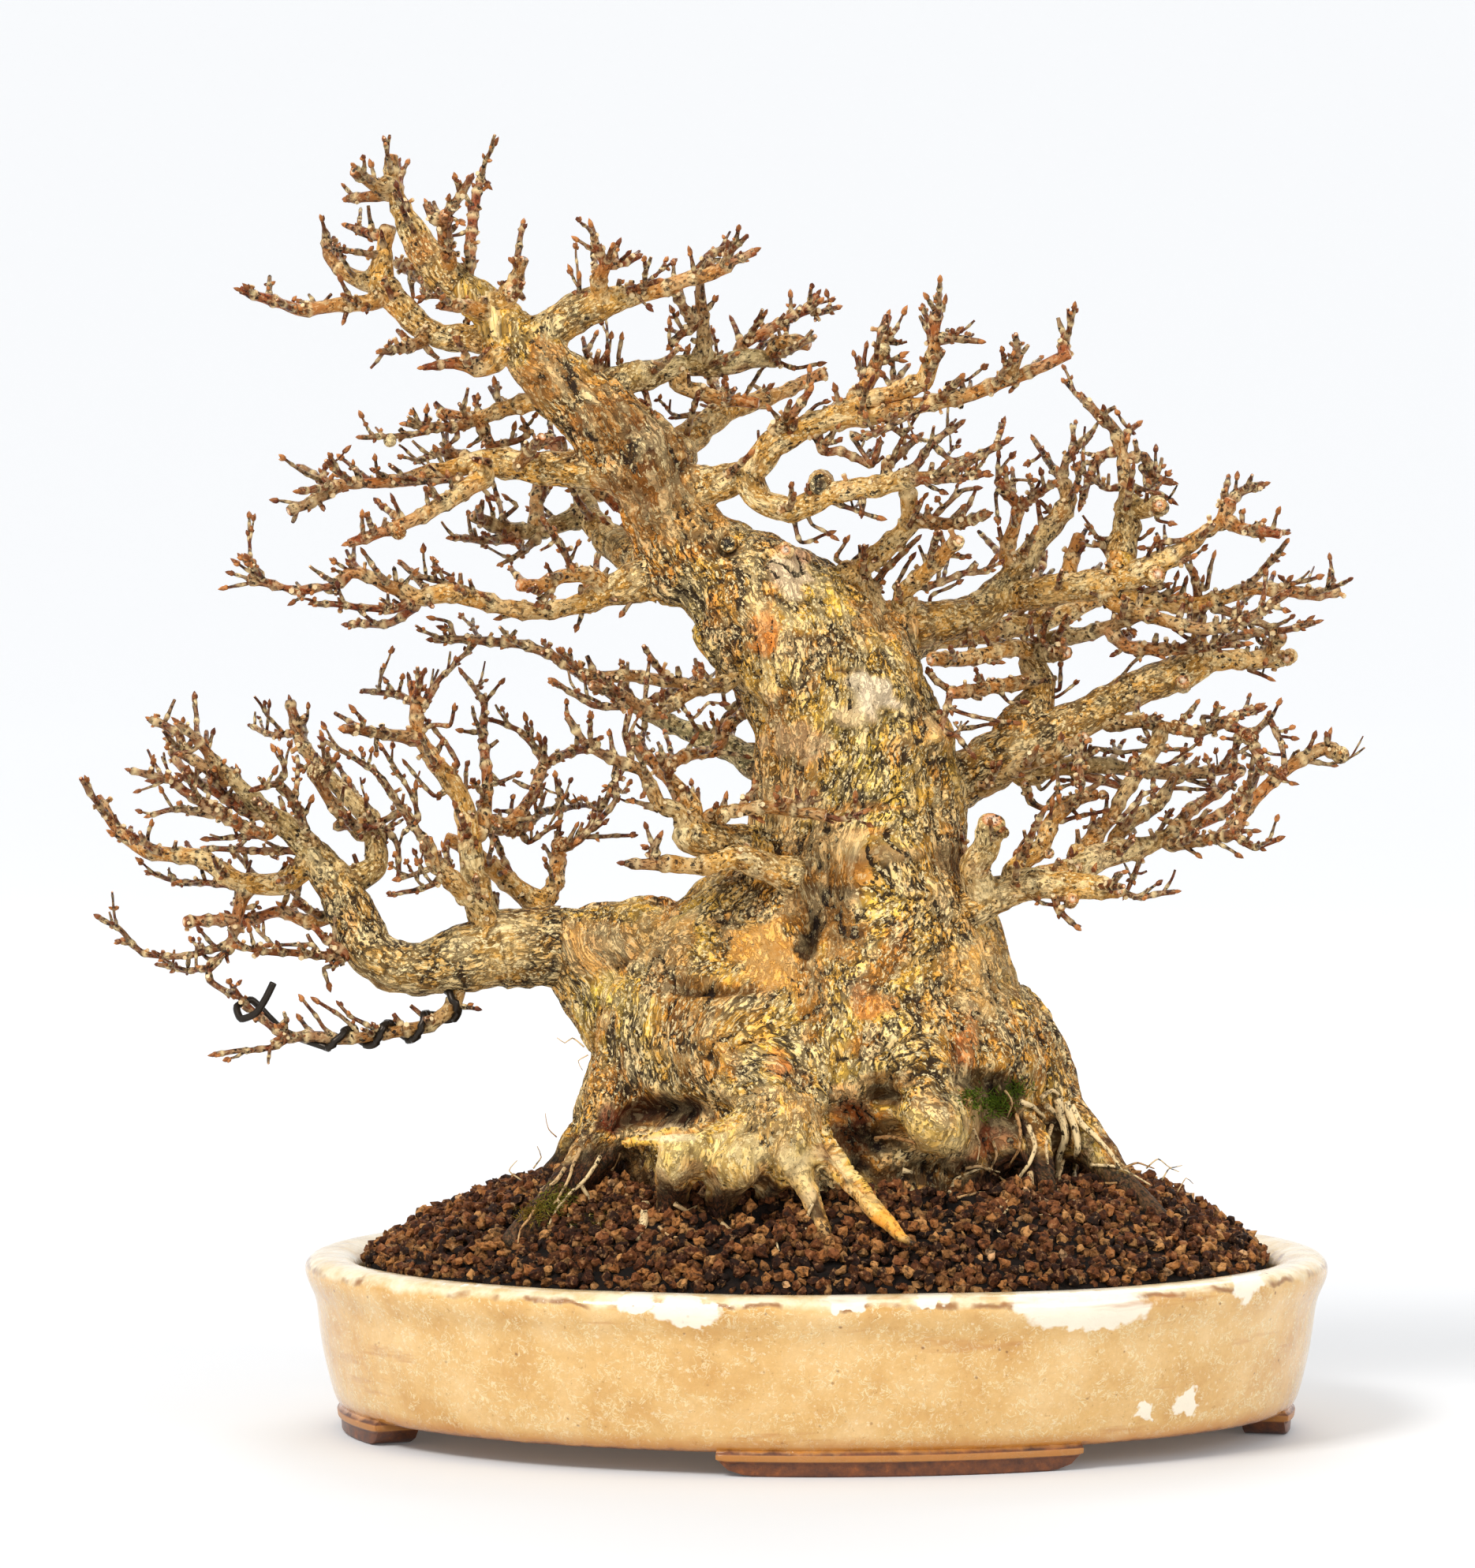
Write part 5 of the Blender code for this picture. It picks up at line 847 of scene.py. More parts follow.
# %% Routes of the surface roots: x, height, depth, radius
ROOTS = """
-14 90 -38 11, -11 79 -50 9, -15 71 -56 7.5, -21 65 -59 6, -24 58 -54 4.5, -25 50 -47 3
-4 84 -42 9, -6 76 -52 7.5, -8 69 -57 5.5, -12 61 -54 4, -14 51 -47 3
-10 80 -50 7, -22 73.5 -55 5.5, -33 70 -57 6.5, -35.5 65 -57 6, -37 58 -52 4.2, -39 50 -46 3
-26 74 -57 3.2, -37 74.3 -59 2.4, -50 72.3 -55 1.3
-2 76 -52 5.5, -3.5 68 -57 3.7, -2.5 61 -60 3.1, 0.5 54 -63 2.5, 3 47 -66 1.8
-1 74 -53 5, 5 67 -58 3.6, 10.5 61 -63 3.2, 16 54.5 -69 2.6, 20.5 50 -73 2, 25 46.5 -77 1
22 94 -32 10, 27 85 -41 9.5, 31 78 -45 8.5, 36 75 -43 6
44 92 -16 12, 51 80 -25 8, 55 68 -31 6, 58 54 -36 5
50 91 -4 12, 62 79 -10 8, 70 71 -15 5.5, 79 61 -22 4, 90 50 -28 3
50 88 12 13, 64 73 24 8, 76 57 34 5
30 88 22 14, 40 73 40 9.5, 48 56 50 5
4 88 26 13, 5 73 46 9.5, 2 56 55 5
-26 88 20 13, -38 73 36 9, -48 56 46 5
-48 88 4 11, -55 77 9 7.5, -63 67 13 5, -73 57 16 4, -84 47 20 3
-47 88 -13 11, -52 76 -24 8, -58 67 -32 6, -68 56 -40 4.4, -78 46 -46 3
-62 121 -3 9, -56 113 -3 11, -47 103 -3 13
"""

# %% [markdown]
# A route's corners are rounded a little, because wood bends between its buds but
# never kinks, and a ring is set every millimetre or so. Each ring keeps its radius,
# its paint, its age and how far along the branch it lies.

# %% From a route to rings
class Branch:
    """Rings along one branch: places, radii, paint, age and distance along."""

    BEND = 0.32      # how softly a route turns at its corners

    def __init__(self, name, corners, radii, step, seed, wobble=0.25):
        self.name = name
        self.seed = seed
        points, widths = [], []
        corners = [Vector(corner) for corner in corners]
        ends = [corners[0] * 2 - corners[1]] + corners + [corners[-1] * 2 - corners[-2]]
        for i in range(len(corners) - 1):
            before, start, end, after = ends[i:i + 4]
            count = max(2, round((end - start).length / step))
            out, into = (end - before) * self.BEND, (after - start) * self.BEND
            for k in range(count):
                t = k / count
                points.append(start * (2 * t ** 3 - 3 * t ** 2 + 1) + out * (t ** 3 - 2 * t ** 2 + t)
                              + end * (3 * t ** 2 - 2 * t ** 3) + into * (t ** 3 - t ** 2))
                widths.append(radii[i] + (radii[i + 1] - radii[i]) * t)
        points.append(corners[-1])
        widths.append(radii[-1])
        shift = Vector((seed * 7.3, seed * 3.1, 0))
        inner = min(1.0, 1.2 / max(radii))
        for i, point in enumerate(points):
            share = min(1.0, i / 6)
            points[i] = point + noise.noise_vector(point / 5 + shift) * wobble * share * (0.4 + inner)
        self.points = np.array([tuple(point) for point in points])
        self.radii = np.array(widths)
        gaps = np.linalg.norm(np.diff(self.points, axis=0), axis=1)
        self.along = np.concatenate([[0], np.cumsum(gaps)])
        self.age = np.clip((self.radii - 1.3) / 4.5, 0, 1)

    def tangent(self, i):
        i = min(max(i, 1), len(self.points) - 2)
        step = Vector(self.points[i + 1]) - Vector(self.points[i - 1])
        return step.normalized()


def bough_rows(text):
    return [tuple(float(v) for v in row.split()) for row in text.split(",")]


def entries(table):
    """The words of each entry of a table: its entries end with a semicolon or the line."""
    return [entry.split() for entry in table.strip().replace("\n", ";").split(";")]


BOUGHS = {}
for route in BOUGH_ROUTES.replace("\n", " ").split(";"):
    name, places = route.split(":")
    BOUGHS[name.strip()] = bough_rows(places)
branches = {}
for number, (name, rows) in enumerate(BOUGHS.items()):
    branches[name] = Branch(name, [seen(*row[:3]) for row in rows], [row[3] for row in rows], 1.1, number)


def start_on(parent, x, z):
    """The ring of a parent that shows closest to (x, z)."""
    flat = [shown(Vector(point)) for point in parent.points[:-2]]
    gaps = [(a - x) ** 2 + (b - z) ** 2 for a, b in flat]
    return int(np.argmin(gaps))


for number, line in enumerate(BRANCHES.strip().split("\n")):
    head, tail = line.split(":")
    name, parent_name, tip_depth, thick, thin = head.split()
    tip_depth, thick, thin = float(tip_depth), float(thick), float(thin)
    pairs = bough_rows(tail)
    parent = branches[parent_name]
    ring = start_on(parent, *pairs[0])
    start, at = Vector(parent.points[ring]), float(parent.radii[ring])
    lengths, last = [0.0], (start.x, start.z)
    for x, z in pairs:
        lengths.append(lengths[-1] + sqrt((x - last[0]) ** 2 + (z - last[1]) ** 2))
        last = x, z
    corners, radii = [start], [min(thick, at * 0.93)]
    for (x, z), length in zip(pairs, lengths[1:]):
        share = length / lengths[-1]
        corners.append(seen(x, z, start.y + (tip_depth - start.y) * share))
        radii.append(thick + (thin - thick) * share)
    if (corners[1] - corners[0]).length < 1.5:
        corners.pop(1), radii.pop(1)
    branches[name] = Branch(name, corners, radii, 0.95, 50 + number)
print(len(branches), "boughs and branches")

# %% Fine shoots find their own depth
ring_flat, ring_place, ring_width = [], [], []
for branch in branches.values():
    for point, radius in zip(branch.points, branch.radii):
        ring_flat.append(shown(Vector(point)))
        ring_place.append(point)
        ring_width.append(radius)
ring_flat, ring_place, ring_width = map(np.array, (ring_flat, ring_place, ring_width))
chance = random.Random(7)


def nearest_wood(x, z):
    """Place, radius and shown place of the wood nearest to (x, z): thick wood wins when it covers it."""
    gaps = np.hypot(ring_flat[:, 0] - x, ring_flat[:, 1] - z) - ring_width * 0.7
    ring = int(np.argmin(gaps))
    return ring_place[ring], ring_width[ring], ring_flat[ring]


for number, words in enumerate(entries(SHOOTS), 1):
    *values, radius = map(float, words)
    pairs = list(zip(values[::2], values[1::2]))
    wood, width, flat = nearest_wood(*pairs[0])
    if np.hypot(*(flat - pairs[0])) > width * 0.6 and width < 6:
        pairs.insert(0, tuple(flat))
    depth = wood[1] - (width * 0.8 if width > 6 else 0)
    lean = chance.uniform(-0.5, 0.35) * (4 if width > 6 else 8)
    corners = [seen(x, z, depth + lean * i / (len(pairs) - 1)) for i, (x, z) in enumerate(pairs)]
    radii = [radius * (1 - 0.35 * i / (len(pairs) - 1)) for i in range(len(pairs))]
    name = f"shoot_{number}"
    branches[name] = Branch(name, corners, radii, 0.9, 300 + number)
print(number, "fine shoots")

# %% [markdown]
# A tree seen only from the front would be flat. Short side shoots are grown from the
# knuckles of every branch, chiefly towards the front and the back, so the layers
# have depth from the side while the front keeps its outline. The draws are seeded,
# so the tree grows the same way each time.

# %% Side shoots in depth
grow = random.Random(21)
side_shoots = {}


def add_side_shoot(corners, radii, first_seed=600):
    name = f"side_{len(side_shoots)}"
    side_shoots[name] = Branch(name, corners, radii, 0.95, first_seed + len(side_shoots))
    return side_shoots[name]


for branch in list(branches.values()):
    if branch.name in ("upper_trunk", "front_snag", "front_burl") or branch.radii.max() < 0.9:
        continue
    spot = grow.uniform(4, 8)
    turn = grow.choice((-1, 1))
    while spot < branch.along[-1] - 2:
        i = int(np.searchsorted(branch.along, spot))
        spot += grow.uniform(7.0, 13.0)
        turn = -turn
        radius = float(branch.radii[min(i, len(branch.radii) - 1)])
        if radius > 4.4 or grow.random() < 0.16:
            continue
        ahead = branch.tangent(i)
        facing = Vector((grow.uniform(-0.25, 0.25), turn, grow.uniform(0.0, 0.45)))
        way = (facing + ahead * grow.uniform(0.25, 0.6)).normalized()
        long = grow.uniform(6, 17) * (1.25 if radius > 2 else 1.0)
        start = Vector(branch.points[i])
        bend = Vector((grow.uniform(-0.3, 0.3), 0, grow.uniform(0.0, 0.5)))
        corners = [start, start + way * long * 0.35, start + way * long * 0.7 + bend * long * 0.2,
                   start + way * long + bend * long * 0.45]
        thick = min(radius * 0.62, grow.uniform(0.75, 1.25))
        parent = add_side_shoot(corners, [thick, thick * 0.9, thick * 0.78, thick * 0.62])
        if long > 10 and grow.random() < 0.75:
            k = int(len(parent.points) * grow.uniform(0.4, 0.65))
            fork = (parent.tangent(k) + Vector((grow.uniform(-0.5, 0.5), grow.uniform(-0.6, 0.6),
                                                grow.uniform(0.1, 0.8)))).normalized()
            base = Vector(parent.points[k])
            reach = grow.uniform(4, 8)
            add_side_shoot([base, base + fork * reach * 0.5, base + fork * reach],
                           [thick * 0.7, thick * 0.62, thick * 0.5], 900)
    # Short twiglets in every direction, which don't reach past the outline
    spot = grow.uniform(3, 7)
    while spot < branch.along[-1] * 0.9:
        i = int(np.searchsorted(branch.along, spot))
        spot += grow.uniform(5.0, 11.0)
        radius = float(branch.radii[min(i, len(branch.radii) - 1)])
        if radius > 3.6:
            continue
        start, ahead = Vector(branch.points[i]), branch.tangent(i)
        way = Vector((grow.gauss(0, 1), grow.gauss(-0.3, 0.7), grow.gauss(0.5, 0.9)))
        way = (way.normalized() + ahead * 0.4).normalized()
        long = grow.uniform(2.8, 6.8)
        thick = min(radius * 0.55, grow.uniform(0.6, 0.95))
        add_side_shoot([start, start + way * long * 0.5, start + way * long + Vector((0, 0, 0.8))],
                       [thick, thick * 0.9, thick * 0.75])
branches.update(side_shoots)
print(len(side_shoots), "side shoots")

# %% [markdown]
# Maple twigs are ringed: at each pair of buds the twig swells, and old bud scars
# leave a pale ring. So every branch gets knuckles, close together on thin wood, and a
# paint that is red-brown on this year's wood, pinkish tan on older twigs and golden
# or lichen grey on boughs. A pair of buds sits at each knuckle of thin wood, each pair
# turned a quarter from the last.

# %% Knuckles, paint and buds
TWIG_RED, TWIG_TAN, TWIG_PINK = colour("5C260E"), colour("80481E"), colour("96481E")
BOUGH_GOLD, LICHEN, RING_CREAM = colour("E6AA4E"), colour("958A5C"), colour("F6DDA4")
# The colour of the painted shadow just past each knuckle
KNUCKLE_SHADOW = colour("260F05")


def held(share):
    """A share held between nothing and all."""
    return min(1.0, max(0.0, share))


def blend_paint(a, b, share):
    return tuple(x + (y - x) * share for x, y in zip(a, b))


def tinted(paint, share, chip):
    """The paint of many points with a chip laid over each point by its own share."""
    return paint * (1 - share[:, None]) + np.array(chip) * share[:, None]


bud_list, spur_list = [], []
skin = random.Random(5)
for branch in branches.values():
    count = len(branch.points)
    branch.radii = branch.radii * np.interp(branch.radii, (2.2, 4.0), (0.91, 1.0))
    tone = skin.random()
    back = np.clip(branch.points[:, 1] / 45, 0, 1)
    paints = []
    for i in range(count):
        radius = branch.radii[i]
        young = blend_paint(TWIG_RED, TWIG_TAN if tone > 0.5 else TWIG_PINK, held((radius - 0.55) / 0.9))
        old = blend_paint(BOUGH_GOLD, LICHEN, held(back[i] * 0.8 + (tone - 0.62) * 1.6))
        paints.append(blend_paint(young, old, held((radius - 1.3) / 1.3)))
    branch.paint = np.array(paints)
    spot = skin.uniform(2.0, 4.0)
    quarter = skin.uniform(0, pi)
    side = branch.name.startswith("side")
    blunt = skin.random() < 0.5 if side else branch.radii[-1] >= 1.2
    while spot < branch.along[-1] - 0.8:
        i = int(np.searchsorted(branch.along, spot))
        radius = float(branch.radii[i])
        swell = 0.4 if radius < 1.4 else 0.24 if radius < 2.6 else 0.07
        near = np.exp(-((branch.along - spot) / (0.55 + radius * 0.25)) ** 2)
        ring = np.exp(-((branch.along - spot + 0.2) / 0.55) ** 2)
        branch.radii = branch.radii * (1 + swell * near)
        branch.paint = tinted(branch.paint, (0.75 if radius < 2.2 else 0.35) * ring, RING_CREAM)
        # A painted shadow: a dark band just past each knuckle, as if the swelling shaded the twig
        shadow = 0.7 * np.exp(-((branch.along - spot - 1.0) / 0.5) ** 2)
        branch.paint = tinted(branch.paint, shadow, KNUCKLE_SHADOW)
        for spur in range(skin.choice((0, 1, 1, 2)) if 0.8 < radius < 4 else 0):
            out = Vector((skin.gauss(0, 1), skin.gauss(0, 1) - 0.5, skin.gauss(0, 1) + 0.4))
            out = (out - branch.tangent(i) * out.dot(branch.tangent(i)) * 0.6).normalized()
            spur_list.append((Vector(branch.points[i]) + out * radius * 0.8, out, skin.uniform(0.8, 2.3)))
        if radius < 1.5 and spot > 2.5 and skin.random() < 0.36:
            ahead = branch.tangent(i)
            aside = ahead.orthogonal().normalized()
            aside.rotate(Matrix.Rotation(quarter, 3, ahead))
            for way in (1, -1):
                if skin.random() < 0.85:
                    foot = Vector(branch.points[i]) + aside * way * radius * 0.8
                    out = (aside * way + ahead * 0.95).normalized()
                    bud_list.append((foot, out, skin.uniform(1.3, 2.1)))
            quarter += pi / 2
        spot += skin.uniform(3.2, 6.5) * (1.0 if radius < 1.5 else 1.7)
    flare = 0.0 if branch.name == "upper_trunk" else 0.1 if branch.name in BOUGHS else 0.28
    collar = 1 + flare * np.exp(-branch.along / (1.4 * branch.radii[0] + 0.5))
    branch.radii = branch.radii * collar
    end, ahead = Vector(branch.points[-1]), branch.tangent(count)
    branch.cut = blunt
    if not blunt:
        aside = ahead.orthogonal().normalized()
        bud_list.append((end - ahead * 0.2, ahead, skin.uniform(2.2, 3.3)))
        for way in (1, -1):
            if skin.random() < 0.6:
                out = (ahead + aside * way * 0.8).normalized()
                bud_list.append((end - ahead * 0.3, out, skin.uniform(1.4, 2.2)))
print(len(bud_list), "buds and", len(spur_list), "spurs to place")

# %% [markdown]
# ## Skinning the branches
# A curve with a round bevel is the quickest skin for a branch: each of its points has
# its own radius. All branches of one thickness go in one curve object, which is then
# made a mesh. Its rings come out in order, so the paint and age of each ring can be
# laid on its points, with a grain that runs along the branch for the bark pattern.

# %% Bevelled curve to painted mesh
def skin_branches(name, group, resolution):
    around = 4 + 2 * resolution
    data = bpy.data.curves.new(name, "CURVE")
    data.dimensions = "3D"
    data.bevel_depth = 1.0
    data.bevel_resolution = resolution
    paint, age, grain = [], [], []
    turns = np.linspace(0, 2 * pi, around, endpoint=False)
    circle = np.stack([np.cos(turns), np.sin(turns)], axis=1)
    for branch in group:
        ahead = branch.points[-1] - branch.points[-2]
        ahead = ahead / np.linalg.norm(ahead)
        first, last = branch.points[0], branch.points[-1]
        end_r = branch.radii[-1]
        places = np.vstack([first - (branch.points[1] - first) * 0.02, branch.points,
                            *(last + ahead * rise * end_r for rise in (0.12, 0.2, 0.22))])
        widths = np.concatenate([[0.0], branch.radii, end_r * np.array([0.86, 0.7, 0.0])])
        cut = branch.cut
        tip = branch.paint[-1]
        caps = [tip, colour("C7793F") if cut else tip, colour("F3E7CC") if cut else tip]
        colours = np.vstack([branch.paint[:1], branch.paint, caps])
        ages = np.concatenate([branch.age[:1], branch.age, [branch.age[-1], 0, 0]])
        alongs = np.concatenate([[0], branch.along, [branch.along[-1]] * 3])
        spline = data.splines.new("POLY")
        spline.points.add(len(places) - 1)
        spline.points.foreach_set("co", np.hstack([places, np.ones((len(places), 1))]).ravel())
        spline.points.foreach_set("radius", widths)
        paint.append(np.repeat(colours, around, axis=0))
        age.append(np.repeat(ages, around))
        ring = np.empty((len(places), around, 3))
        ring[:, :, :2] = circle[None] * np.maximum(widths, 0.4)[:, None, None]
        ring[:, :, 2] = alongs[:, None] + branch.seed * 17.0
        grain.append(ring.reshape(-1, 3) * MM)
    piece = bpy.data.objects.new(name, data)
    bpy.context.scene.collection.objects.link(piece)
    pick(piece)
    bpy.ops.object.convert(target="MESH")
    piece = bpy.context.view_layer.objects.active
    piece.name = name
    lay_on(piece, np.vstack(paint), np.concatenate(age), np.vstack(grain))
    merge_points(piece)
    return piece


def merge_points(piece, distance=1e-5):
    pick(piece)
    bpy.ops.object.mode_set(mode="EDIT")
    bpy.ops.mesh.select_all(action="SELECT")
    bpy.ops.mesh.remove_doubles(threshold=distance)
    close_editing()


LAYER_KINDS = {1: ("FLOAT", "value"), 3: ("FLOAT_VECTOR", "vector"), 4: ("FLOAT_COLOR", "color")}


def lay_layer(piece, name, values):
    """Store one value, vector or colour for each point of a mesh."""
    values = np.asarray(values, np.float32).reshape(len(piece.data.vertices), -1)
    kind, key = LAYER_KINDS[values.shape[1]]
    piece.data.attributes.new(name, kind, "POINT").data.foreach_set(key, values.ravel())


def lay_on(piece, paint, age=None, grain=None):
    """Store paint, and for bark also age and grain, on a mesh's points."""
    lay_layer(piece, "paint", np.hstack([paint, np.ones((len(paint), 1))]))
    if age is not None:
        lay_layer(piece, "age", age)
        lay_layer(piece, "grain", grain)


def smooth(piece, angle=None):
    pick(piece)
    if angle is None:
        bpy.ops.object.shade_smooth()
    else:
        bpy.ops.object.shade_smooth_by_angle(angle=radians(angle))


def points_of(obj):
    flat = np.empty(len(obj.data.vertices) * 3)
    obj.data.vertices.foreach_get("co", flat)
    return flat.reshape(-1, 3)


def normals_of(obj):
    flat = np.empty(len(obj.data.vertices) * 3)
    obj.data.vertex_normals.foreach_get("vector", flat)
    return flat.reshape(-1, 3)


def move_points(obj, points):
    obj.data.vertices.foreach_set("co", points.ravel())
    obj.data.update()


def noisy(points, size, shift=0.0):
    """Soft noise between -1 and 1 at each point; size is its grain in mm."""
    scaled = points / size + shift
    return np.array([noise.noise(row) for row in scaled.tolist()])


def taken_apart(model):
    """The points and triangles of a small model, which is then removed."""
    model.data.calc_loop_triangles()
    points = points_of(model)
    faces = np.array([tuple(tri.vertices) for tri in model.data.loop_triangles])
    bpy.data.objects.remove(model, do_unlink=True)
    return points, faces


def roughen(piece, amount):
    """Knock a skinned branch out of round with lumps of two sizes."""
    points = points_of(piece)
    lumps = noisy(points, 5.5, 2.0) + 0.6 * noisy(points, 2.4, 7.0)
    move_points(piece, points + normals_of(piece) * (lumps * amount)[:, None])


# %% [markdown]
# Bark on twigs and on the trunk is one finish, told apart by age. Old bark is golden
# with short dark dashes that follow the grain and flakes that lift; young bark is
# smooth and shiny with fine specks. The grain attribute turns the pattern along each
# branch, and the crack attribute, which only the trunk has, darkens its real furrows.

# %% Bark
bark = Recipe("maple_bark", 0.7)
paint = bark.painted("paint")
age = bark.painted("age", "Fac")
crack = bark.painted("crack", "Fac")
damp_and_shade = bark.painted("damp_and_shade", "Fac")
open_skin = bark.less(1.0, bark.times(bark.painted("plain", "Fac"), 0.85))
grown_skin = bark.times(open_skin, bark.ramp(age, (0.08, 0.25), (0.4, 1.0)))


def over(factor, most):
    """How strongly a pattern lies over the paint: less where the paint is to be seen plain."""
    return bark.times(bark.times(factor, most), grown_skin)


def laid_over(tint, pattern, start, end, most, chip):
    return bark.mix(over(bark.ramp(pattern, start, end), most), tint, colour(chip))


older = bark.plus(bark.times(age, 0.45), 0.2)
grain = bark.painted("grain", "Vector")
grain = bark.stirred(160, 0.0022, grain)
dashes = bark.noise(700, 3, 0.62, grain, (1, 1, 0.42), 0.25)
flecks = bark.noise(1250, 3, 0.65, grain, (1, 1, 0.55))
flakes = bark.noise(330, 4, 0.65, grain, (1, 1, 0.6))
patches = bark.noise(75, 3, 0.6)
tint = laid_over(paint, patches, (0.52, 0.0), (0.64, 1.0), 0.6, "A89C70")
blush = bark.noise(58, 2, 0.5)
tint = laid_over(tint, blush, (0.6, 0.0), (0.7, 1.0), 0.5, "C87440")
rust = bark.noise(210, 3, 0.6, grain, (1, 1, 0.5))
tint = laid_over(tint, rust, (0.56, 0.0), (0.66, 1.0), 0.5, "7C4A1C")
tint = laid_over(tint, flakes, (0.5, 0.0), (0.64, 1.0), older, "F0D08E")
line_noise = bark.noise(300, 3, 0.55, grain, (1, 1, 0.2), 0.15)
line_gap = bark.math("ABSOLUTE", bark.less(line_noise, 0.5))
lines = bark.times(bark.ramp(line_gap, (0.006, 1.0), (0.028, 0.0)), bark.ramp(rust, (0.4, 0.25), (0.55, 1.0)))
old_dark = bark.times(bark.most(bark.ramp(dashes, (0.405, 1.0), (0.44, 0.0)), lines), age)
fleck_dark = bark.ramp(flecks, (0.385, 1.0), (0.425, 0.0))
fleck_share = bark.plus(bark.times(age, 0.1), 0.8)
# Crisp specks, and plates with open gaps where the wood is old
specks = bark.cells(520, place=bark.stirred(1000, 0.0017))
speck_where = bark.ramp(bark.noise(150, 3, 0.6), (0.36, 0.25), (0.52, 1.0))
speck_dark = bark.times(bark.ramp(specks, (0.24, 1.0), (0.33, 0.0)), speck_where)
plate_place = bark.stirred(420, 0.0026, grain)
plates = bark.cells(380, "DISTANCE_TO_EDGE", plate_place, (1, 1, 0.42))
plate_where = bark.ramp(bark.noise(230, 3, 0.6), (0.4, 0.0), (0.5, 1.0))
plate_gap = bark.times(bark.ramp(plates, (0.045, 1.0), (0.12, 0.0)), bark.times(plate_where, age))
plate_tone = bark.cells(380, "F1", plate_place, (1, 1, 0.42), "Color")
tint = laid_over(tint, plate_tone, (0.5, 0.0), (0.75, 1.0), 0.6, "FFE4A8")
tint = laid_over(tint, plate_tone, (0.2, 1.0), (0.42, 0.0), 0.4, "A06E30")
darkness = bark.most(bark.times(old_dark, 0.85), bark.times(fleck_dark, fleck_share))
darkness = bark.most(darkness, bark.most(speck_dark, plate_gap))
darkness = bark.times(darkness, bark.plus(bark.times(open_skin, 0.65), 0.35))
calm = bark.ramp(bark.noise(95, 3, 0.6), (0.36, 0.55), (0.52, 1.0))
calm = bark.most(calm, bark.less(1.0, age))
crack_grain = bark.plus(crack, bark.times(bark.less(flecks, 0.5), 1.5))
deep_crack = bark.ramp(crack_grain, (0.42, 0.0), (0.56, 1.0))
darkness = bark.most(bark.times(darkness, calm), deep_crack)
tint = bark.wash(tint, darkness, 0.97, "1A0B03")
# Pale cream specks laid over the bark as painted highlights (the glint)
bright_spots = bark.cells(470, place=bark.stirred(800, 0.0019), squeeze=(1.1, 1.1, 0.9))
glint = bark.most(bark.ramp(flecks, (0.57, 0.0), (0.62, 1.0)),
                  bark.ramp(bright_spots, (0.16, 1.0), (0.26, 0.0)))
tint = bark.mix(over(glint, 0.85), tint, colour("F8DFA6"))
# Near the soil the bark is darkened: partly damp, soil-stained bark and partly painted shade
damp_and_shade_colour = bark.mix(bark.ramp(flecks, (0.45, 0.0), (0.62, 1.0)), colour("150A05"), colour("5A3218"))
tint = bark.mix(bark.times(damp_and_shade, 0.95), tint, damp_and_shade_colour)
bark_relief = bark.less(bark.times(flakes, 0.8), bark.times(darkness, 0.7))
bark_relief = bark.times(bark_relief, bark.plus(bark.times(age, 0.75), 0.25))
bark_bump = bark.bump(bark_relief, 0.0012, 1.0)
bark_rough = bark.ramp(age, (0.0, 0.46), (0.5, 0.72))
bark.finish(tint, bark_rough, bark_bump)
print("bark mixed")

# %% [markdown]
# ## Twigs and thin boughs
# The wood is sorted by thickness: the finest shoots get six sides, the branches eight
# and the boughs sixteen, so that roundness is spent where it shows. A thick bough is
# kept back to be melted into the trunk; where it gets thin it sinks into its own
# slimmer skin, so the two overlap without a step.

# %% Skinning by thickness
def stretch_of(branch, first, last):
    """The rings of a branch from first to last as a branch of its own."""
    part = copy(branch)
    for key in ("points", "radii", "along", "age", "paint"):
        setattr(part, key, getattr(branch, key)[first:last].copy())
    part.cut = branch.cut and last >= len(branch.points)
    return part


THIN, MIDDLE = 1.35, 2.6
MELTED = {"upper_trunk": 140, "left_bough": 46, "right_bough": 22, "high_right_bough": 26, "left_arm": 22}
MELTED_REACH = 15
fine_group, branch_group, bough_group, thick_parts = [], [], [], []
for branch in branches.values():
    if branch.name in BOUGHS:
        last = int(np.searchsorted(branch.along, MELTED.get(branch.name, MELTED_REACH)))
        thick_part = stretch_of(branch, 0, last)
        if last < len(branch.points):
            bough_group.append(stretch_of(branch, max(0, last - 7), len(branch.points)))
            thick_part.radii[-6:] *= np.linspace(0.97, 0.6, 6)
        thick_parts.append(thick_part)
        continue
    widest = float(np.median(branch.radii))
    group = fine_group if widest < THIN else branch_group if widest < MIDDLE else bough_group
    group.append(branch)
PARTING = -20      # the fine twigs are so many that they are kept in two pieces
fine_left = [branch for branch in fine_group if branch.points[0][0] < PARTING]
fine_right = [branch for branch in fine_group if branch.points[0][0] >= PARTING]
for name, group, resolution in (("fine_twigs_left", fine_left, 1), ("fine_twigs_right", fine_right, 1),
                                ("branches", branch_group, 2), ("boughs", bough_group, 6)):
    piece = skin_branches(name, group, resolution)
    if group not in (fine_left, fine_right):
        roughen(piece, 0.22 if name == "branches" else 0.6)
    to_frame(piece)
    smooth(piece)
    settle(piece, "tree", bark.material, "tree")
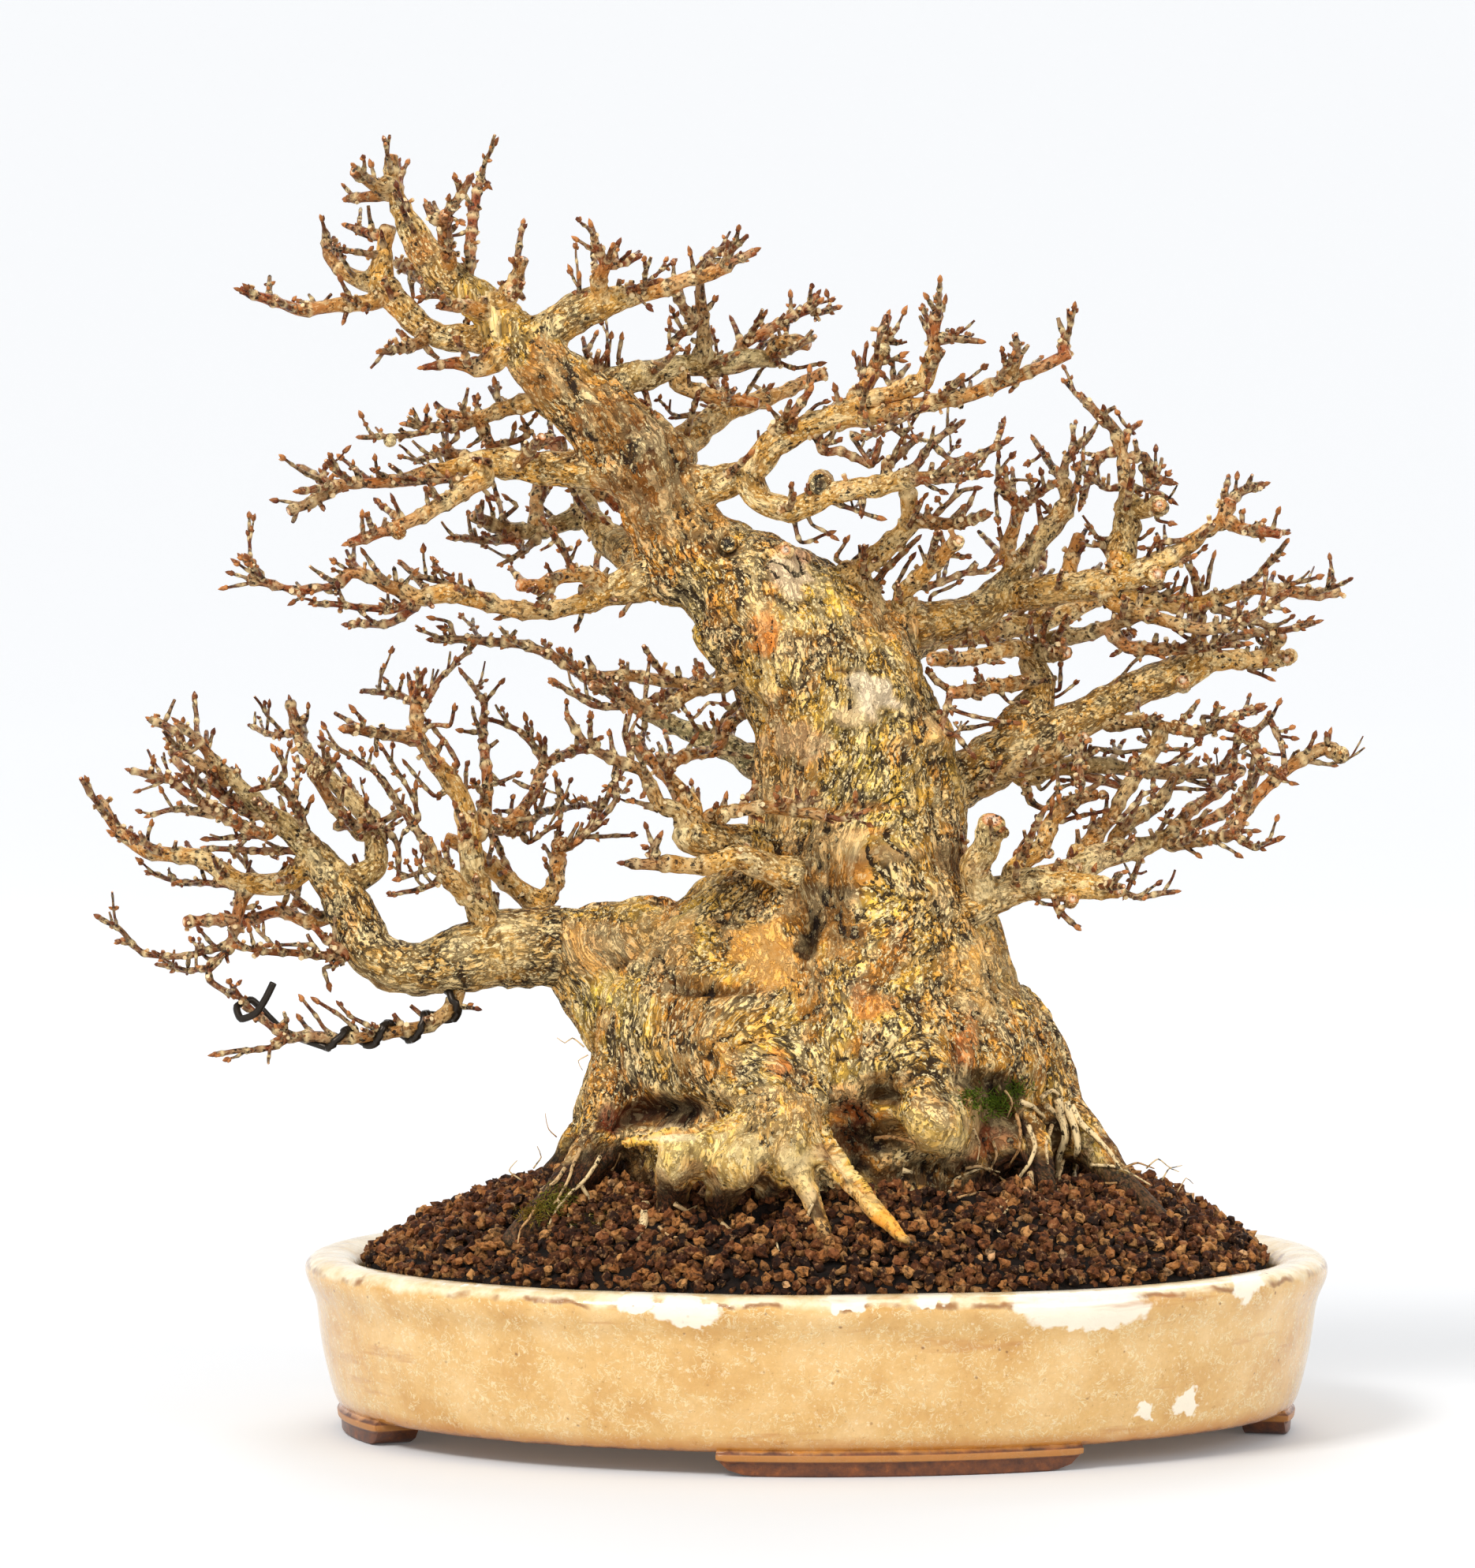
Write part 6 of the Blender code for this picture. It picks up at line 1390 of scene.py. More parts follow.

# %% [markdown]
# ## The trunk and the starts of the boughs
# Trunk, roots and boughs grow into each other with no seam, so they are one piece.
# The trunk is pulled up ring by ring, the roots and the thick starts of the boughs
# are skinned curves, and a voxel remesh melts them together. A little smoothing then
# rounds the crotches, and the skin is worked like clay: lumps and hollows one by one
# first, then furrows.

# %% Trunk core
# Height, left side, right side, front, back
TRUNK_RINGS = (
    (50, -56, 62, -38, 44), (57, -59, 65, -40, 46), (69, -61, 68, -42, 48), (83, -60, 68, -44, 46),
    (95, -57, 64, -45, 43), (105, -57, 60, -43, 41), (113, -56, 51, -41, 39), (123, -48, 49, -37, 37),
    (133, -36, 45, -33, 34), (143, -24, 40, -29, 31), (153, -17, 38, -27, 28), (165, -16, 36, -25, 26),
    (177, -16, 34, -24, 25), (187, -20, 30, -24, 24), (195, -27, 27, -23, 24), (203, -32, 22, -21, 22),
)
core_rings = [((left + right) / 2, (front + back) / 2, z, (right - left) / 2, (back - front) / 2)
              for z, left, right, front, back in TRUNK_RINGS]
trunk = pull_up("trunk_and_roots", core_rings, 72)
root_branches = []
for number, line in enumerate(ROOTS.strip().split("\n")):
    rows = bough_rows(line)
    root = Branch(f"root_{number}", [seen(*row[:3]) for row in rows], [row[3] for row in rows],
                  2.0, 1200 + number, wobble=1.4)
    root.paint = np.tile(np.array(BOUGH_GOLD), (len(root.points), 1))
    root.cut = False
    root_branches.append(root)
core_wood = thick_parts + root_branches
sleeves = skin_branches("sleeves", core_wood, 5)
for layer in ("paint", "age", "grain"):
    sleeves.data.attributes.remove(sleeves.data.attributes[layer])
pick(trunk, sleeves)
bpy.ops.object.join()
VOXEL = 1.08
apply_modifier(trunk, "REMESH", mode="VOXEL", voxel_size=VOXEL, adaptivity=0.0)
apply_modifier(trunk, "SMOOTH", factor=0.5, iterations=4)
print("trunk melted:", len(trunk.data.vertices), "points")

# %% [markdown]
# How thick the wood is under a point decides how deep its furrows are. So the nearest
# wood is looked up: the trunk is a row of fat rings on its middle line, every bough
# and root adds its rings, and the ring whose skin is nearest wins.

# %% Which wood is each point on
wood_place, wood_radius, wood_kind = [], [], []
for z in range(46, 206, 3):
    k = max(i for i, ring in enumerate(TRUNK_RINGS) if ring[0] <= max(z, 50))
    low, high = TRUNK_RINGS[k], TRUNK_RINGS[min(k + 1, len(TRUNK_RINGS) - 1)]
    share = held((z - low[0]) / max(1e-6, high[0] - low[0]))
    left, right, front, back = (a + (b - a) * share for a, b in zip(low[1:], high[1:]))
    wood_place.append(((left + right) / 2, (front + back) / 2, z))
    wood_radius.append(((right - left) + (back - front)) / 4)
    wood_kind.append(0)
for branch in core_wood:
    for i in range(0, len(branch.points), 2):
        wood_place.append(branch.points[i])
        wood_radius.append(branch.radii[i])
        wood_kind.append(2 if branch.name.startswith("root") else 1)
wood_place, wood_radius, wood_kind = map(np.array, (wood_place, wood_radius, wood_kind))
skin_points = points_of(trunk)
owner = np.empty(len(skin_points), int)
for start in range(0, len(skin_points), 4000):
    block = skin_points[start:start + 4000]
    gaps = np.linalg.norm(block[:, None] - wood_place[None], axis=2) - wood_radius[None]
    owner[start:start + 4000] = gaps.argmin(axis=1)
girth = wood_radius[owner]
on_root = wood_kind[owner] == 2
print("points on trunk, boughs, roots:", [int((wood_kind[owner] == k).sum()) for k in (0, 1, 2)])

# %% [markdown]
# Old bark flows: its furrows run down the trunk, bend round the healed knots and
# turn out along the limbs. The flow is drawn as a few strokes from top to bottom. A
# direction is blended between them, and two maps are then relaxed until one rises
# across the flow and the other along it. Those two and the depth are the bark's own
# grain, so furrows and colour streaks follow the strokes.

# %% The flow of the bark
FLOW = """
-90 124 -72 122 -61 117 -56 108 -55 95 -57 84 -62 72; -52 128 -43 118 -41 105 -42 92 -40 82 -46 72
-12 113 -26 112 -37 105 -39 94 -31 86 -18 84; -10 107 -20 106 -28 99 -25 91 -12 88
-30 132 -22 122 -18 114; -2 134 -1 118 0 104 -2 94 -7 84 -16 76 -26 71
6 132 5 117 9 108 17 101 27 97 40 92; 11 126 14 115 22 107 32 100 43 92
36 128 40 116 42 104 46 92 54 80 62 70; 45 122 51 110 57 98 63 86 68 74 78 64
9 99 14 90 25 87 36 86 43 79 40 70
-48 252 -40 240 -30 226 -18 208 -13 190 -13 170 -15 152 -24 138 -40 132 -60 128
-26 230 -4 214 10 198 20 180 25 160 30 142; 0 195 3 172 3 152 5 138; 20 205 30 186 36 166 46 140 52 130
-68 272 -56 260 -46 246 -38 232; 12 137 16 142 25 144 34 139 38 130; -28 73 -22 66 -28 56
-8 78 -6 66 0 52; 22 84 31 86 40 80 39 72
"""
FLOW_STEP = 2.0
RELAX_TURNS = 2500
map_x, map_z = np.arange(-100, 101, FLOW_STEP), np.arange(40, 280, FLOW_STEP)
grid_x, grid_z = np.meshgrid(map_x, map_z, indexing="ij")
flow_x, flow_z = np.zeros_like(grid_x), np.zeros_like(grid_x)
for words in entries(FLOW):
    values = [float(word) for word in words]
    pairs = np.array(list(zip(values[::2], values[1::2])))
    for start, end in zip(pairs[:-1], pairs[1:]):
        step = end - start
        length = np.hypot(*step)
        for share in np.linspace(0, 1, max(2, int(length / 4))):
            x, z = start + step * share
            weight = 1 / (((grid_x - x) ** 2 + (grid_z - z) ** 2) ** 2 + 60.0)
            flow_x += weight * step[0] / length
            flow_z += weight * step[1] / length
size = np.hypot(flow_x, flow_z) + 1e-12
flow_x, flow_z = flow_x / size, flow_z / size


def relaxed(slope_x, slope_z, start):
    """The map whose slopes are closest to the ones asked for."""
    source = np.gradient(slope_x, FLOW_STEP, axis=0) + np.gradient(slope_z, FLOW_STEP, axis=1)
    height = start.copy()
    for turn in range(RELAX_TURNS):
        edge = np.pad(height, 1, mode="edge")
        edge[0] = edge[1] - np.pad(slope_x[0], 1) * FLOW_STEP
        edge[-1] = edge[-2] + np.pad(slope_x[-1], 1) * FLOW_STEP
        edge[:, 0] = edge[:, 1] - np.pad(slope_z[:, 0], 1) * FLOW_STEP
        edge[:, -1] = edge[:, -2] + np.pad(slope_z[:, -1], 1) * FLOW_STEP
        across, up = edge[:-2, 1:-1] + edge[2:, 1:-1], (edge[1:-1, :-2], edge[1:-1, 2:])
        height = (across + up[0] + up[1] - source * FLOW_STEP ** 2) / 4
    return height


across_map = relaxed(-flow_z, flow_x, grid_x)
along_map = relaxed(flow_x, flow_z, -grid_z)


def read_map(values, x, z):
    """Bilinear look-up of a map at front places."""
    i = np.clip((x - map_x[0]) / FLOW_STEP, 0, len(map_x) - 1.001)
    k = np.clip((z - map_z[0]) / FLOW_STEP, 0, len(map_z) - 1.001)
    i0, k0 = i.astype(int), k.astype(int)
    a, b = i - i0, k - k0
    return ((values[i0, k0] * (1 - a) + values[i0 + 1, k0] * a) * (1 - b)
            + (values[i0, k0 + 1] * (1 - a) + values[i0 + 1, k0 + 1] * a) * b)


flat_share = -EYE.y / (skin_points[:, 1] - EYE.y)
flat_x = EYE.x + (skin_points[:, 0] - EYE.x) * flat_share
flat_z = EYE.z + (skin_points[:, 2] - EYE.z) * flat_share
stir_x, stir_z = noisy(skin_points, 8.0, 1.7) * 1.3, noisy(skin_points, 8.0, 11.1) * 1.3
grain_at = np.stack([read_map(across_map, flat_x + stir_x, flat_z + stir_z), skin_points[:, 1],
                     read_map(along_map, flat_x + stir_x, flat_z + stir_z)], axis=1)
print("grain spans:", grain_at.min(axis=0).round(), grain_at.max(axis=0).round())

# %% [markdown]
# The front of an old trunk has its own face: a bare orange triangle and a hollow between
# the limb and the trunk, a whorl where a branch healed over, a pale scar, and swollen feet
# over hollows. Each is an oval with a soft push and a paint whose edge is ragged; the
# near-black paints in the hollows, in the crease under the fold and under the lumps are
# painted shadow.

# %% Lumps, hollows and patches of the front
# x, height, half width, half height, push, paint, strength of the paint
# The dark brown and near-black paints in the hollows, holes and creases are painted shadow; the red-brown
# ones are the wood's own colour
FACE = """
-22 99 13 10 3.5 D0A050 .2; 24 101 17 11 3 C9A468 0; -2 92 13 7 1.5 C9A468 0; -48 100 9 16 2 C9A468 0
-26 111.5 14 1.6 -3.2 1E0F05 .8; -43 79.5 15 4.8 -6.5 3A140A .95; -51 80 4 4 -2 8E3C22 .7
-36 80.5 9 3.4 -4 2A1409 .85; -53 71 9 5 -4 1E110A .92; -62 66 10 7 -1 1A0F09 .92
-20 56 26 4.5 -2 1C0F08 .92; -48 60 12 6 -2 20120A .92; -27 62 3 5 -2 2A160C .7
-31 64 2.5 5 -2.5 2A160C .8; -13 62 3 5 -2 1C0F08 .8; 10 79 7 5 -5 8A4424 .85; 9 70 8 8 -7 4A2012 .92
17 84 5.5 2.8 -4 0E0906 .95; 18 72 6 5 -5 1E110A .92; 24 64 22 5.5 -3 160D08 .92
44 88 9 3.5 -4 1A1A0A .92; 50 80 12 8 -7 120B06 .92; 44 72 6 4 -3 8A4424 .85; 56 71 9 10 -6 1C110A .92
50 61 15 6 -3 3A2010 .9; -34 68 7.5 6.5 2 FFE4AC .45; -20 68 9 7 2 FADEA4 .4; -9 75 9 7 2 FADEA6 .4
-4 81 9 4 .8 D9BC80 .5; -6 68 4 4 1 F2E4BC .85; -3 64 3.4 7 .3 F0E0B4 .7; 6 66 3.5 3.5 .3 E8D4A0 .7
11 60 4 4 0 E6C880 .6; 19 52 6 4 0 E8A63A .85; -38 74.2 13 1.6 .4 F4E6C4 .9; 30 77.5 11.5 7.5 3 F4D698 .45
36 72 6 3 .6 F0DCA8 .6; -16 84 12 2.5 1 D8CFA8 .5; 8 85 4.5 3 1 E8A880 .6; 21 88.5 9 2 -2 1C1008 .75
2 132 12 8 -2.4 5E4420 .7; -13.5 121 9 9 -1.8 F0B45C .9; -10 116 8 4 -1 F0B662 .8
-2 126.5 4.2 6.5 -8 0E0804 .95; 7 124 5 5 -2 4A3418 .6; 22 125 11 12 2.4 C9A468 0
27 135 3 3 1.6 D8B878 .3; -1 111 3.5 12 -1.8 2E1C0C .55; 3 134 8 6 -3 4A3418 .6
13.5 187 9 5.5 1.6 EDE6D6 .95; 9 181 6 3 .8 E6DEC8 .7; 31 177 4 6 2.2 CDBB8C .5; -4 174 8 5 1.2 B0AA98 .65
-7 217 5.5 5.5 .8 E6E0CE .85; -13 201 5.5 5.5 -.6 D48438 .8; 7 193 4 1 -1.6 1A0F08 .85
-3 222 3 2.4 1 D9A080 .6; 42 116 9 12 2 C4B27C .4; -40 124 14 8 1.2 B8AC84 .45; -60 122 12 8 .6 BCAF88 .4
2 149 9 6 1.2 C6BC94 .5; -8 160 10 7 .6 BCB28C .45; 16 146 9 2 1.8 A8A484 .7; 5 141 8 5 -2 2E1E10 .5
-32 113 8 2 -1.8 2A1A0E .6; 38 100 3 8 .6 DC7E50 .45; -10 92 3.5 3.5 .8 D98452 .45
14 108 7 4 .5 D68E4E .65; -52 103 3.5 5 .6 CF7440 .4; 24 175 8 2 1.4 D8B87C .4
12 158 16 1.2 -1.4 2A1A0E .5; 8 152 14 1.2 -1.2 2A1A0E .4; -43 238 10 14 1 7E4A12 .6
-50 254 10 8 1 74481A .6; -38 250 7 9 1.4 6A4616 .5; -30 232 8 6 1 A89A70 .5; -14 238 7 4 1 C9A468 0
44 153 6 6 2 9A9270 .6; 36 145 6 4 -1.5 3A2412 .6; -22.5 225 3.4 3.2 -4 14100C .95
-70 268 10 8 .6 7E5026 .6; 20 208 10 7 0 8A6430 .5
"""
normals = normals_of(trunk)
front = np.clip(-normals[:, 1] * 2.0 + 0.45, 0, 1) * (skin_points[:, 1] < 8)
rough_edge = noisy(skin_points, 5.0, 3.3)
push = np.zeros(len(skin_points))
paint_face = []
for *values, code, strength in entries(FACE):
    x, z, half_x, half_z, amount, strength = map(float, (*values, strength))
    gap = ((flat_x - x) / half_x) ** 2 + ((flat_z - z) / half_z) ** 2
    push += amount * np.exp(-gap * 1.3) * front
    if strength:
        mask = np.clip((1.15 - gap + rough_edge * 1.3) * 2.2, 0, 1) * front * strength
        paint_face.append((mask, colour(code)))
print(len(paint_face), "patches")

# %% Furrows and flakes
age_at = np.clip((girth - 1.5) / 6.0, 0, 1)
thick = np.clip(girth / 16, 0.12, 1)
in_neck = np.exp(-((flat_x + 44) / 18) ** 2 - ((flat_z - 244) / 24) ** 2) * front
craggy = np.maximum(in_neck, np.exp(-(((flat_x + 14) / 34) ** 4 + ((flat_z - 68) / 13) ** 4)) * front)
lumps = noisy(skin_points, 17.0, 8.0) * 1.7 * thick + noisy(skin_points, 7.5, 4.0) * (1.0 + craggy) * thick
lumps += noisy(skin_points, 3.6, 21.0) * (0.25 + 0.9 * craggy) * thick
deep = noisy(grain_at / np.array([1, 1, 4.2]), 4.4, 2.0)
shallow = noisy(grain_at / np.array([1, 1, 3.4]), 2.3, 9.0)
# The healed whorl: rings round the old branch's place
WHORL_X, WHORL_Z, WHORL_RADIUS, RING_WIDTH = 22, 126, 11, 3.1
ring_gap = np.hypot(flat_x - WHORL_X, (flat_z - WHORL_Z) * 0.95) + noisy(skin_points, 6.0, 14.0) * 1.4
in_whorl = np.exp(-(np.hypot(flat_x - WHORL_X, flat_z - WHORL_Z) / WHORL_RADIUS) ** 4) * front
deep = deep * (1 - in_whorl) + np.sin(ring_gap * 2 * pi / RING_WIDTH) * 0.34 * in_whorl
furrow = np.clip(1 - np.abs(deep) / (0.14 + 0.08 * in_neck), 0, 1) ** 1.3
small_furrow = np.clip(1 - np.abs(shallow) / 0.15, 0, 1)
bare = 1 - 0.9 * np.exp(-(((flat_x + 13) / 9) ** 2 + ((flat_z - 121) / 9) ** 2)) * front
cream_lump = 1 - 0.15 * np.exp(-(((flat_x + 20) / 24) ** 2 + ((flat_z - 67) / 9) ** 2)) * front
depth_share = age_at * bare * cream_lump * np.clip(girth / 9, 0.25, 1)
relief = (-furrow * 1.25 - small_furrow * 0.6 + np.clip(deep, 0, 1) * 1.1) * depth_share
skin_points = skin_points + normals * (push + lumps + relief)[:, None]
move_points(trunk, skin_points)
crack_at = np.clip(furrow * 0.85 + small_furrow * 0.35, 0, 1) * depth_share
crack_at *= np.clip(0.9 + noisy(skin_points, 11.0, 41.0) * 1.2, 0.15, 1)
# Close to the soil the bark is darker, partly as soil-stained damp bark and partly as painted shade, and more
# so at the sides and the back
side = np.clip((np.abs(flat_x + 2) - 36) / 12, 0, 1) + (skin_points[:, 1] > -20)
dark_base_line = 52 + 11 * np.clip((-5 - flat_x) / 5, 0, 1)
damp_and_shade_at = np.clip((dark_base_line - flat_z + noisy(skin_points, 5.0) * 6) / 6, 0, 1)
damp_and_shade_at = np.maximum(damp_and_shade_at, np.clip((78 - skin_points[:, 2] + noisy(skin_points, 6.0) * 12) / 8, 0, 1)
                    * np.clip(side, 0, 1))
gold = np.array(BOUGH_GOLD)
shade = noisy(skin_points, 22.0, 6.0)
paint_at = gold[None] * (1.4 + 0.35 * shade[:, None])
grey = np.clip(noisy(skin_points, 19.0, 31.0) * 1.8 - 0.25, 0, 0.65)
grey = grey * np.clip((skin_points[:, 1] + 60) / 90, 0.4, 1)
paint_at = tinted(paint_at, grey, np.array(LICHEN) * 1.3)
brown = np.clip(noisy(skin_points, 10.0, 51.0) * 2.2 - 0.35, 0, 0.7)
paint_at = tinted(paint_at, brown, colour("96652C"))
cream_root = on_root * np.clip((74 - skin_points[:, 2]) / 10, 0, 1) * front * 0.45
paint_at = tinted(paint_at, cream_root, colour("E3CB95"))
plain_at = np.zeros(len(skin_points))
for mask, chip in paint_face:
    paint_at = tinted(paint_at, mask, chip)
    plain_at = np.maximum(plain_at, mask)
NECK_SHADE, WARMTH = (0.6, 0.65, 0.76), (1.2, 1.0, 0.78)
paint_at = paint_at * np.array(WARMTH) * (1 - in_neck[:, None] * np.array(NECK_SHADE))
lay_on(trunk, np.clip(paint_at, 0, 1), age_at, grain_at * MM)
for name, values in (("crack", crack_at), ("damp_and_shade", damp_and_shade_at), ("plain", plain_at)):
    lay_layer(trunk, name, values)
to_frame(trunk)
smooth(trunk)
settle(trunk, "tree", bark.material, "tree")

# %% [markdown]
# ## Buds
# A winter bud is a small pointed egg in pairs of scales. One is modelled from a ring
# of five points, pulled out four times, and copied to every knuckle and tip, turned to
# its own direction. All the copies are one piece, because thousands of loose objects
# are hard to handle.

# %% One bud
def pulled_stalk(sides, radius, steps):
    """A disc pulled up step by step, each step with its rise and how much the end grows."""
    deselect()
    bpy.ops.mesh.primitive_circle_add(vertices=sides, radius=radius, fill_type="NGON")
    stalk = bpy.context.object
    bpy.ops.object.mode_set(mode="EDIT")
    bpy.ops.mesh.select_all(action="SELECT")
    for rise, grow_by in steps:
        bpy.ops.mesh.extrude_region_move(TRANSFORM_OT_translate={"value": (0, 0, rise)})
        bpy.ops.transform.resize(value=(grow_by, grow_by, 1))
    bpy.ops.object.mode_set(mode="OBJECT")
    merge_points(stalk, 0.002)
    return taken_apart(stalk)


bud_points, bud_faces = pulled_stalk(5, 0.28, ((0.2, 1.3), (0.3, 1.0), (0.28, 0.6), (0.25, 0.02)))
print("one bud:", len(bud_faces), "triangles")


def spread_copies(name, points, faces, turns, places, paints):
    """Copies of one small mesh, each turned and sized by its own 3 x 3 matrix, as one piece."""
    count = len(places)
    moved = np.einsum("nij,pj->npi", np.array(turns), points) + np.array(places)[:, None]
    indices = faces[None] + (np.arange(count) * len(points))[:, None, None]
    mesh = bpy.data.meshes.new(name)
    mesh.from_pydata(moved.reshape(-1, 3).tolist(), [], indices.reshape(-1, 3).tolist())
    piece = bpy.data.objects.new(name, mesh)
    bpy.context.scene.collection.objects.link(piece)
    lay_on(piece, np.repeat(np.array(paints), len(points), axis=0))
    return piece


# %% Buds in place
turns, places, paints = [], [], []
bud_draw = random.Random(11)
for place, way, long in bud_list:
    turn = way.to_track_quat("Z", "Y").to_matrix() @ Matrix.Rotation(bud_draw.uniform(0, pi), 3, "Z")
    fat = min(1.8, 0.75 + long * 0.42) * bud_draw.uniform(0.85, 1.15)
    turns.append(np.array(turn @ Matrix.Diagonal((fat, fat, long * 0.82))))
    places.append(tuple(place))
    paints.append(blend_paint(colour("5E2A12"), colour("BE7A40"), bud_draw.random()))
buds = to_frame(spread_copies("buds", bud_points, bud_faces, turns, places, paints))
smooth(buds)
bud_skin = Recipe("bud_scales", 0.42)
scale_line = bud_skin.noise(900, 3, 0.6)
bud_base = bud_skin.stain(bud_skin.painted("paint"), scale_line, (0.35, 0.5), (0.5, 0.0), "2E130C")
bud_base = bud_skin.stain(bud_base, scale_line, (0.58, 0.0), (0.68, 0.55), "D9A878")
bud_skin.finish(bud_base, None, bud_skin.bump(scale_line, 0.0003, 0.7))
settle(buds, "tree", bud_skin.material, "tree")

# %% [markdown]
# ## Spurs
# Years of pinching leave every twig full of short spurs, each a stub with a pale
# scar on its end. They are the same kind of copy as the buds: a little six-sided
# stub, pinched under its end.

# %% Spurs in place
stub_points, stub_faces = pulled_stalk(6, 0.5, ((0.45, 0.72), (0.3, 1.3), (0.25, 0.85)))
turns, places, paints = [], [], []
for place, way, long in spur_list:
    turn = way.to_track_quat("Z", "Y").to_matrix()
    fat = bud_draw.uniform(1.1, 1.9)
    turns.append(np.array(turn @ Matrix.Diagonal((fat, fat, long))))
    places.append(tuple(place))
    paints.append(blend_paint(TWIG_RED, colour("C8935A"), bud_draw.random()))
spurs = spread_copies("spurs", stub_points, stub_faces, turns, places, paints)
scar = np.tile(stub_points[:, 2] > 0.95, len(places))
scar_layer = spurs.data.attributes["paint"]
flat = np.empty(len(scar) * 4, np.float32)
scar_layer.data.foreach_get("color", flat)
flat = flat.reshape(-1, 4)
flat[scar, :3] = colour("E9CFA0")
scar_layer.data.foreach_set("color", flat.ravel())
to_frame(spurs)
smooth(spurs, 40)
settle(spurs, "tree", bark.material, "tree")

# %% [markdown]
# ## Knobs and cut ends
# Where twigs were pruned the wood heals in knobs; a fresh cut shows a pale disc in an
# orange ring, an old one a dark one. Each is a short round stub that grows out of the
# wood towards the front, closed by its own rings.

# %% Stubs
ring_paint = np.vstack([branch.paint for branch in branches.values()])[:len(ring_flat)]


def branches_paint(x, z):
    return ring_paint[int(np.argmin(np.hypot(ring_flat[:, 0] - x, ring_flat[:, 1] - z) - ring_width * 0.7))]


# Height and width of each ring in radii: a knob, a pale cut and a dark cut
STUB_STEPS = {
    "k": ((-1.6, 0.5), (-0.9, 0.85), (-0.3, 1.0), (0.3, 0.9), (0.7, 0.6), (0.9, 0.25)),
    "c": ((-2.2, 1.1), (-1.0, 1.0), (0.0, 0.95), (0.5, 1.08), (0.72, 1.0), (0.78, 0.8)),
    "d": ((-2.2, 1.1), (-1.0, 1.0), (-0.3, 0.97), (0.0, 0.92), (0.08, 0.8), (0.1, 0.6)),
}
stubs = []
for number, (x, z, radius, kind) in enumerate(entries(KNOBS)):
    x, z, radius = float(x), float(z), float(radius) * (0.95 if kind == "k" else 0.72)
    wood, width, flat = nearest_wood(x, z)
    off = np.hypot(flat[0] - x, flat[1] - z)
    if off > width:
        x, z = flat + (np.array((x, z)) - flat) * width / off
    depth = wood[1] - width * 0.75
    ahead_way = Vector((skin.uniform(-0.25, 0.25), -1, skin.uniform(-0.1, 0.3))).normalized()
    middle = seen(x, z, depth)
    steps = STUB_STEPS[kind]
    stub = Branch(f"stub_{number}", [middle + ahead_way * radius * s for s, w in steps],
                  [radius * w for s, w in steps], 50, 1500 + number, wobble=0.0)
    near = branches_paint(x, z)
    stub.paint = np.tile(near, (len(stub.points), 1))
    if kind != "k":
        stub.paint[-3:] = colour("C98C50")
    stub.age[:] = 0.4
    stub.cut = kind == "c"
    if kind == "d":
        stub.paint[-4:] = colour("1E1A14")
    stubs.append(stub)
knobs = to_frame(skin_branches("knobs_and_cuts", stubs, 4))
smooth(knobs)
settle(knobs, "tree", bark.material, "tree")

# %% [markdown]
# ## The soil
# The pot is heaped with baked-clay granules, two to four millimetres across. The CAD
# mound stays as the bed, painted near black as painted shade in the gaps between the
# grains, and grains are strewn on it: one layer that covers it and a looser one on top,
# the lower painted darker and the upper lighter as painted shade. A grain is a small ball
# knocked out of round; four kinds are modelled once and copied, each copy turned and
# sized by its own draw.

# %% Soil bed
# The bed, seen in the gaps between the grains and round the roots, is painted near black as shade
dirt = Recipe("soil_bed_gap_shade", 0.85)
dirt_grain = dirt.noise(420, 4, 0.65)
dirt_base = dirt.ramp(dirt_grain, (0.35, colour("080402")), (0.6, colour("170D07")), (0.75, colour("261710")))
dirt.finish(dirt_base, None, dirt.bump(dirt_grain, 0.0012, 1.0))
soil_node = nodes["soil"]
soil_node.data.materials.clear()
soil_node.data.materials.append(dirt.material)

# %% Four kinds of grain
grain_draw = random.Random(3)
grain_kinds = []
for kind in range(4):
    deselect()
    bpy.ops.mesh.primitive_uv_sphere_add(segments=6, ring_count=4 + kind % 2, radius=1.0)
    stone = bpy.context.object
    for vert in stone.data.vertices:
        shift = Vector((kind * 9.0, 0, 0))
        vert.co *= 1 + 0.75 * noise.noise(vert.co * 1.3 + shift) + 0.5 * noise.noise(vert.co * 3.3 + shift)
        vert.co.z *= 0.78
    grain_kinds.append(taken_apart(stone))
print("grain:", len(grain_kinds[0][1]), "triangles")


def look_up(objects):
    """A tree of faces to drop plumb lines on, in the frame's metres."""
    corners, faces = [], []
    for obj in objects:
        base = len(corners)
        corners.extend((obj.matrix_world @ vert.co)[:] for vert in obj.data.vertices)
        faces.extend([base + i for i in face.vertices] for face in obj.data.polygons)
    return BVHTree.FromPolygons(corners, faces)


bed = look_up([soil_node])
wood_skin = look_up([trunk])
DOWN = Vector((0, 0, -1))
LIP_WIDTH = 14.2
INNER_X, INNER_Y = POT_HALF_X - LIP_WIDTH, POT_HALF_Y - LIP_WIDTH


def ground(x, y):
    """Height of the soil under (x, y) in mm, or None over the trunk or outside the lip."""
    if (x / INNER_X) ** 2 + (y / INNER_Y) ** 2 > 1:
        return None
    above = POT_MIDDLE + Vector((x, y, 200)) * MM
    hit = bed.ray_cast(above, DOWN)[0]
    if hit is None:
        return None
    swell = noise.noise(Vector((x, y, 0)) / 16) * 1.6 + noise.noise(Vector((x, y, 40)) / 6) * 0.8
    return hit.z / MM + swell


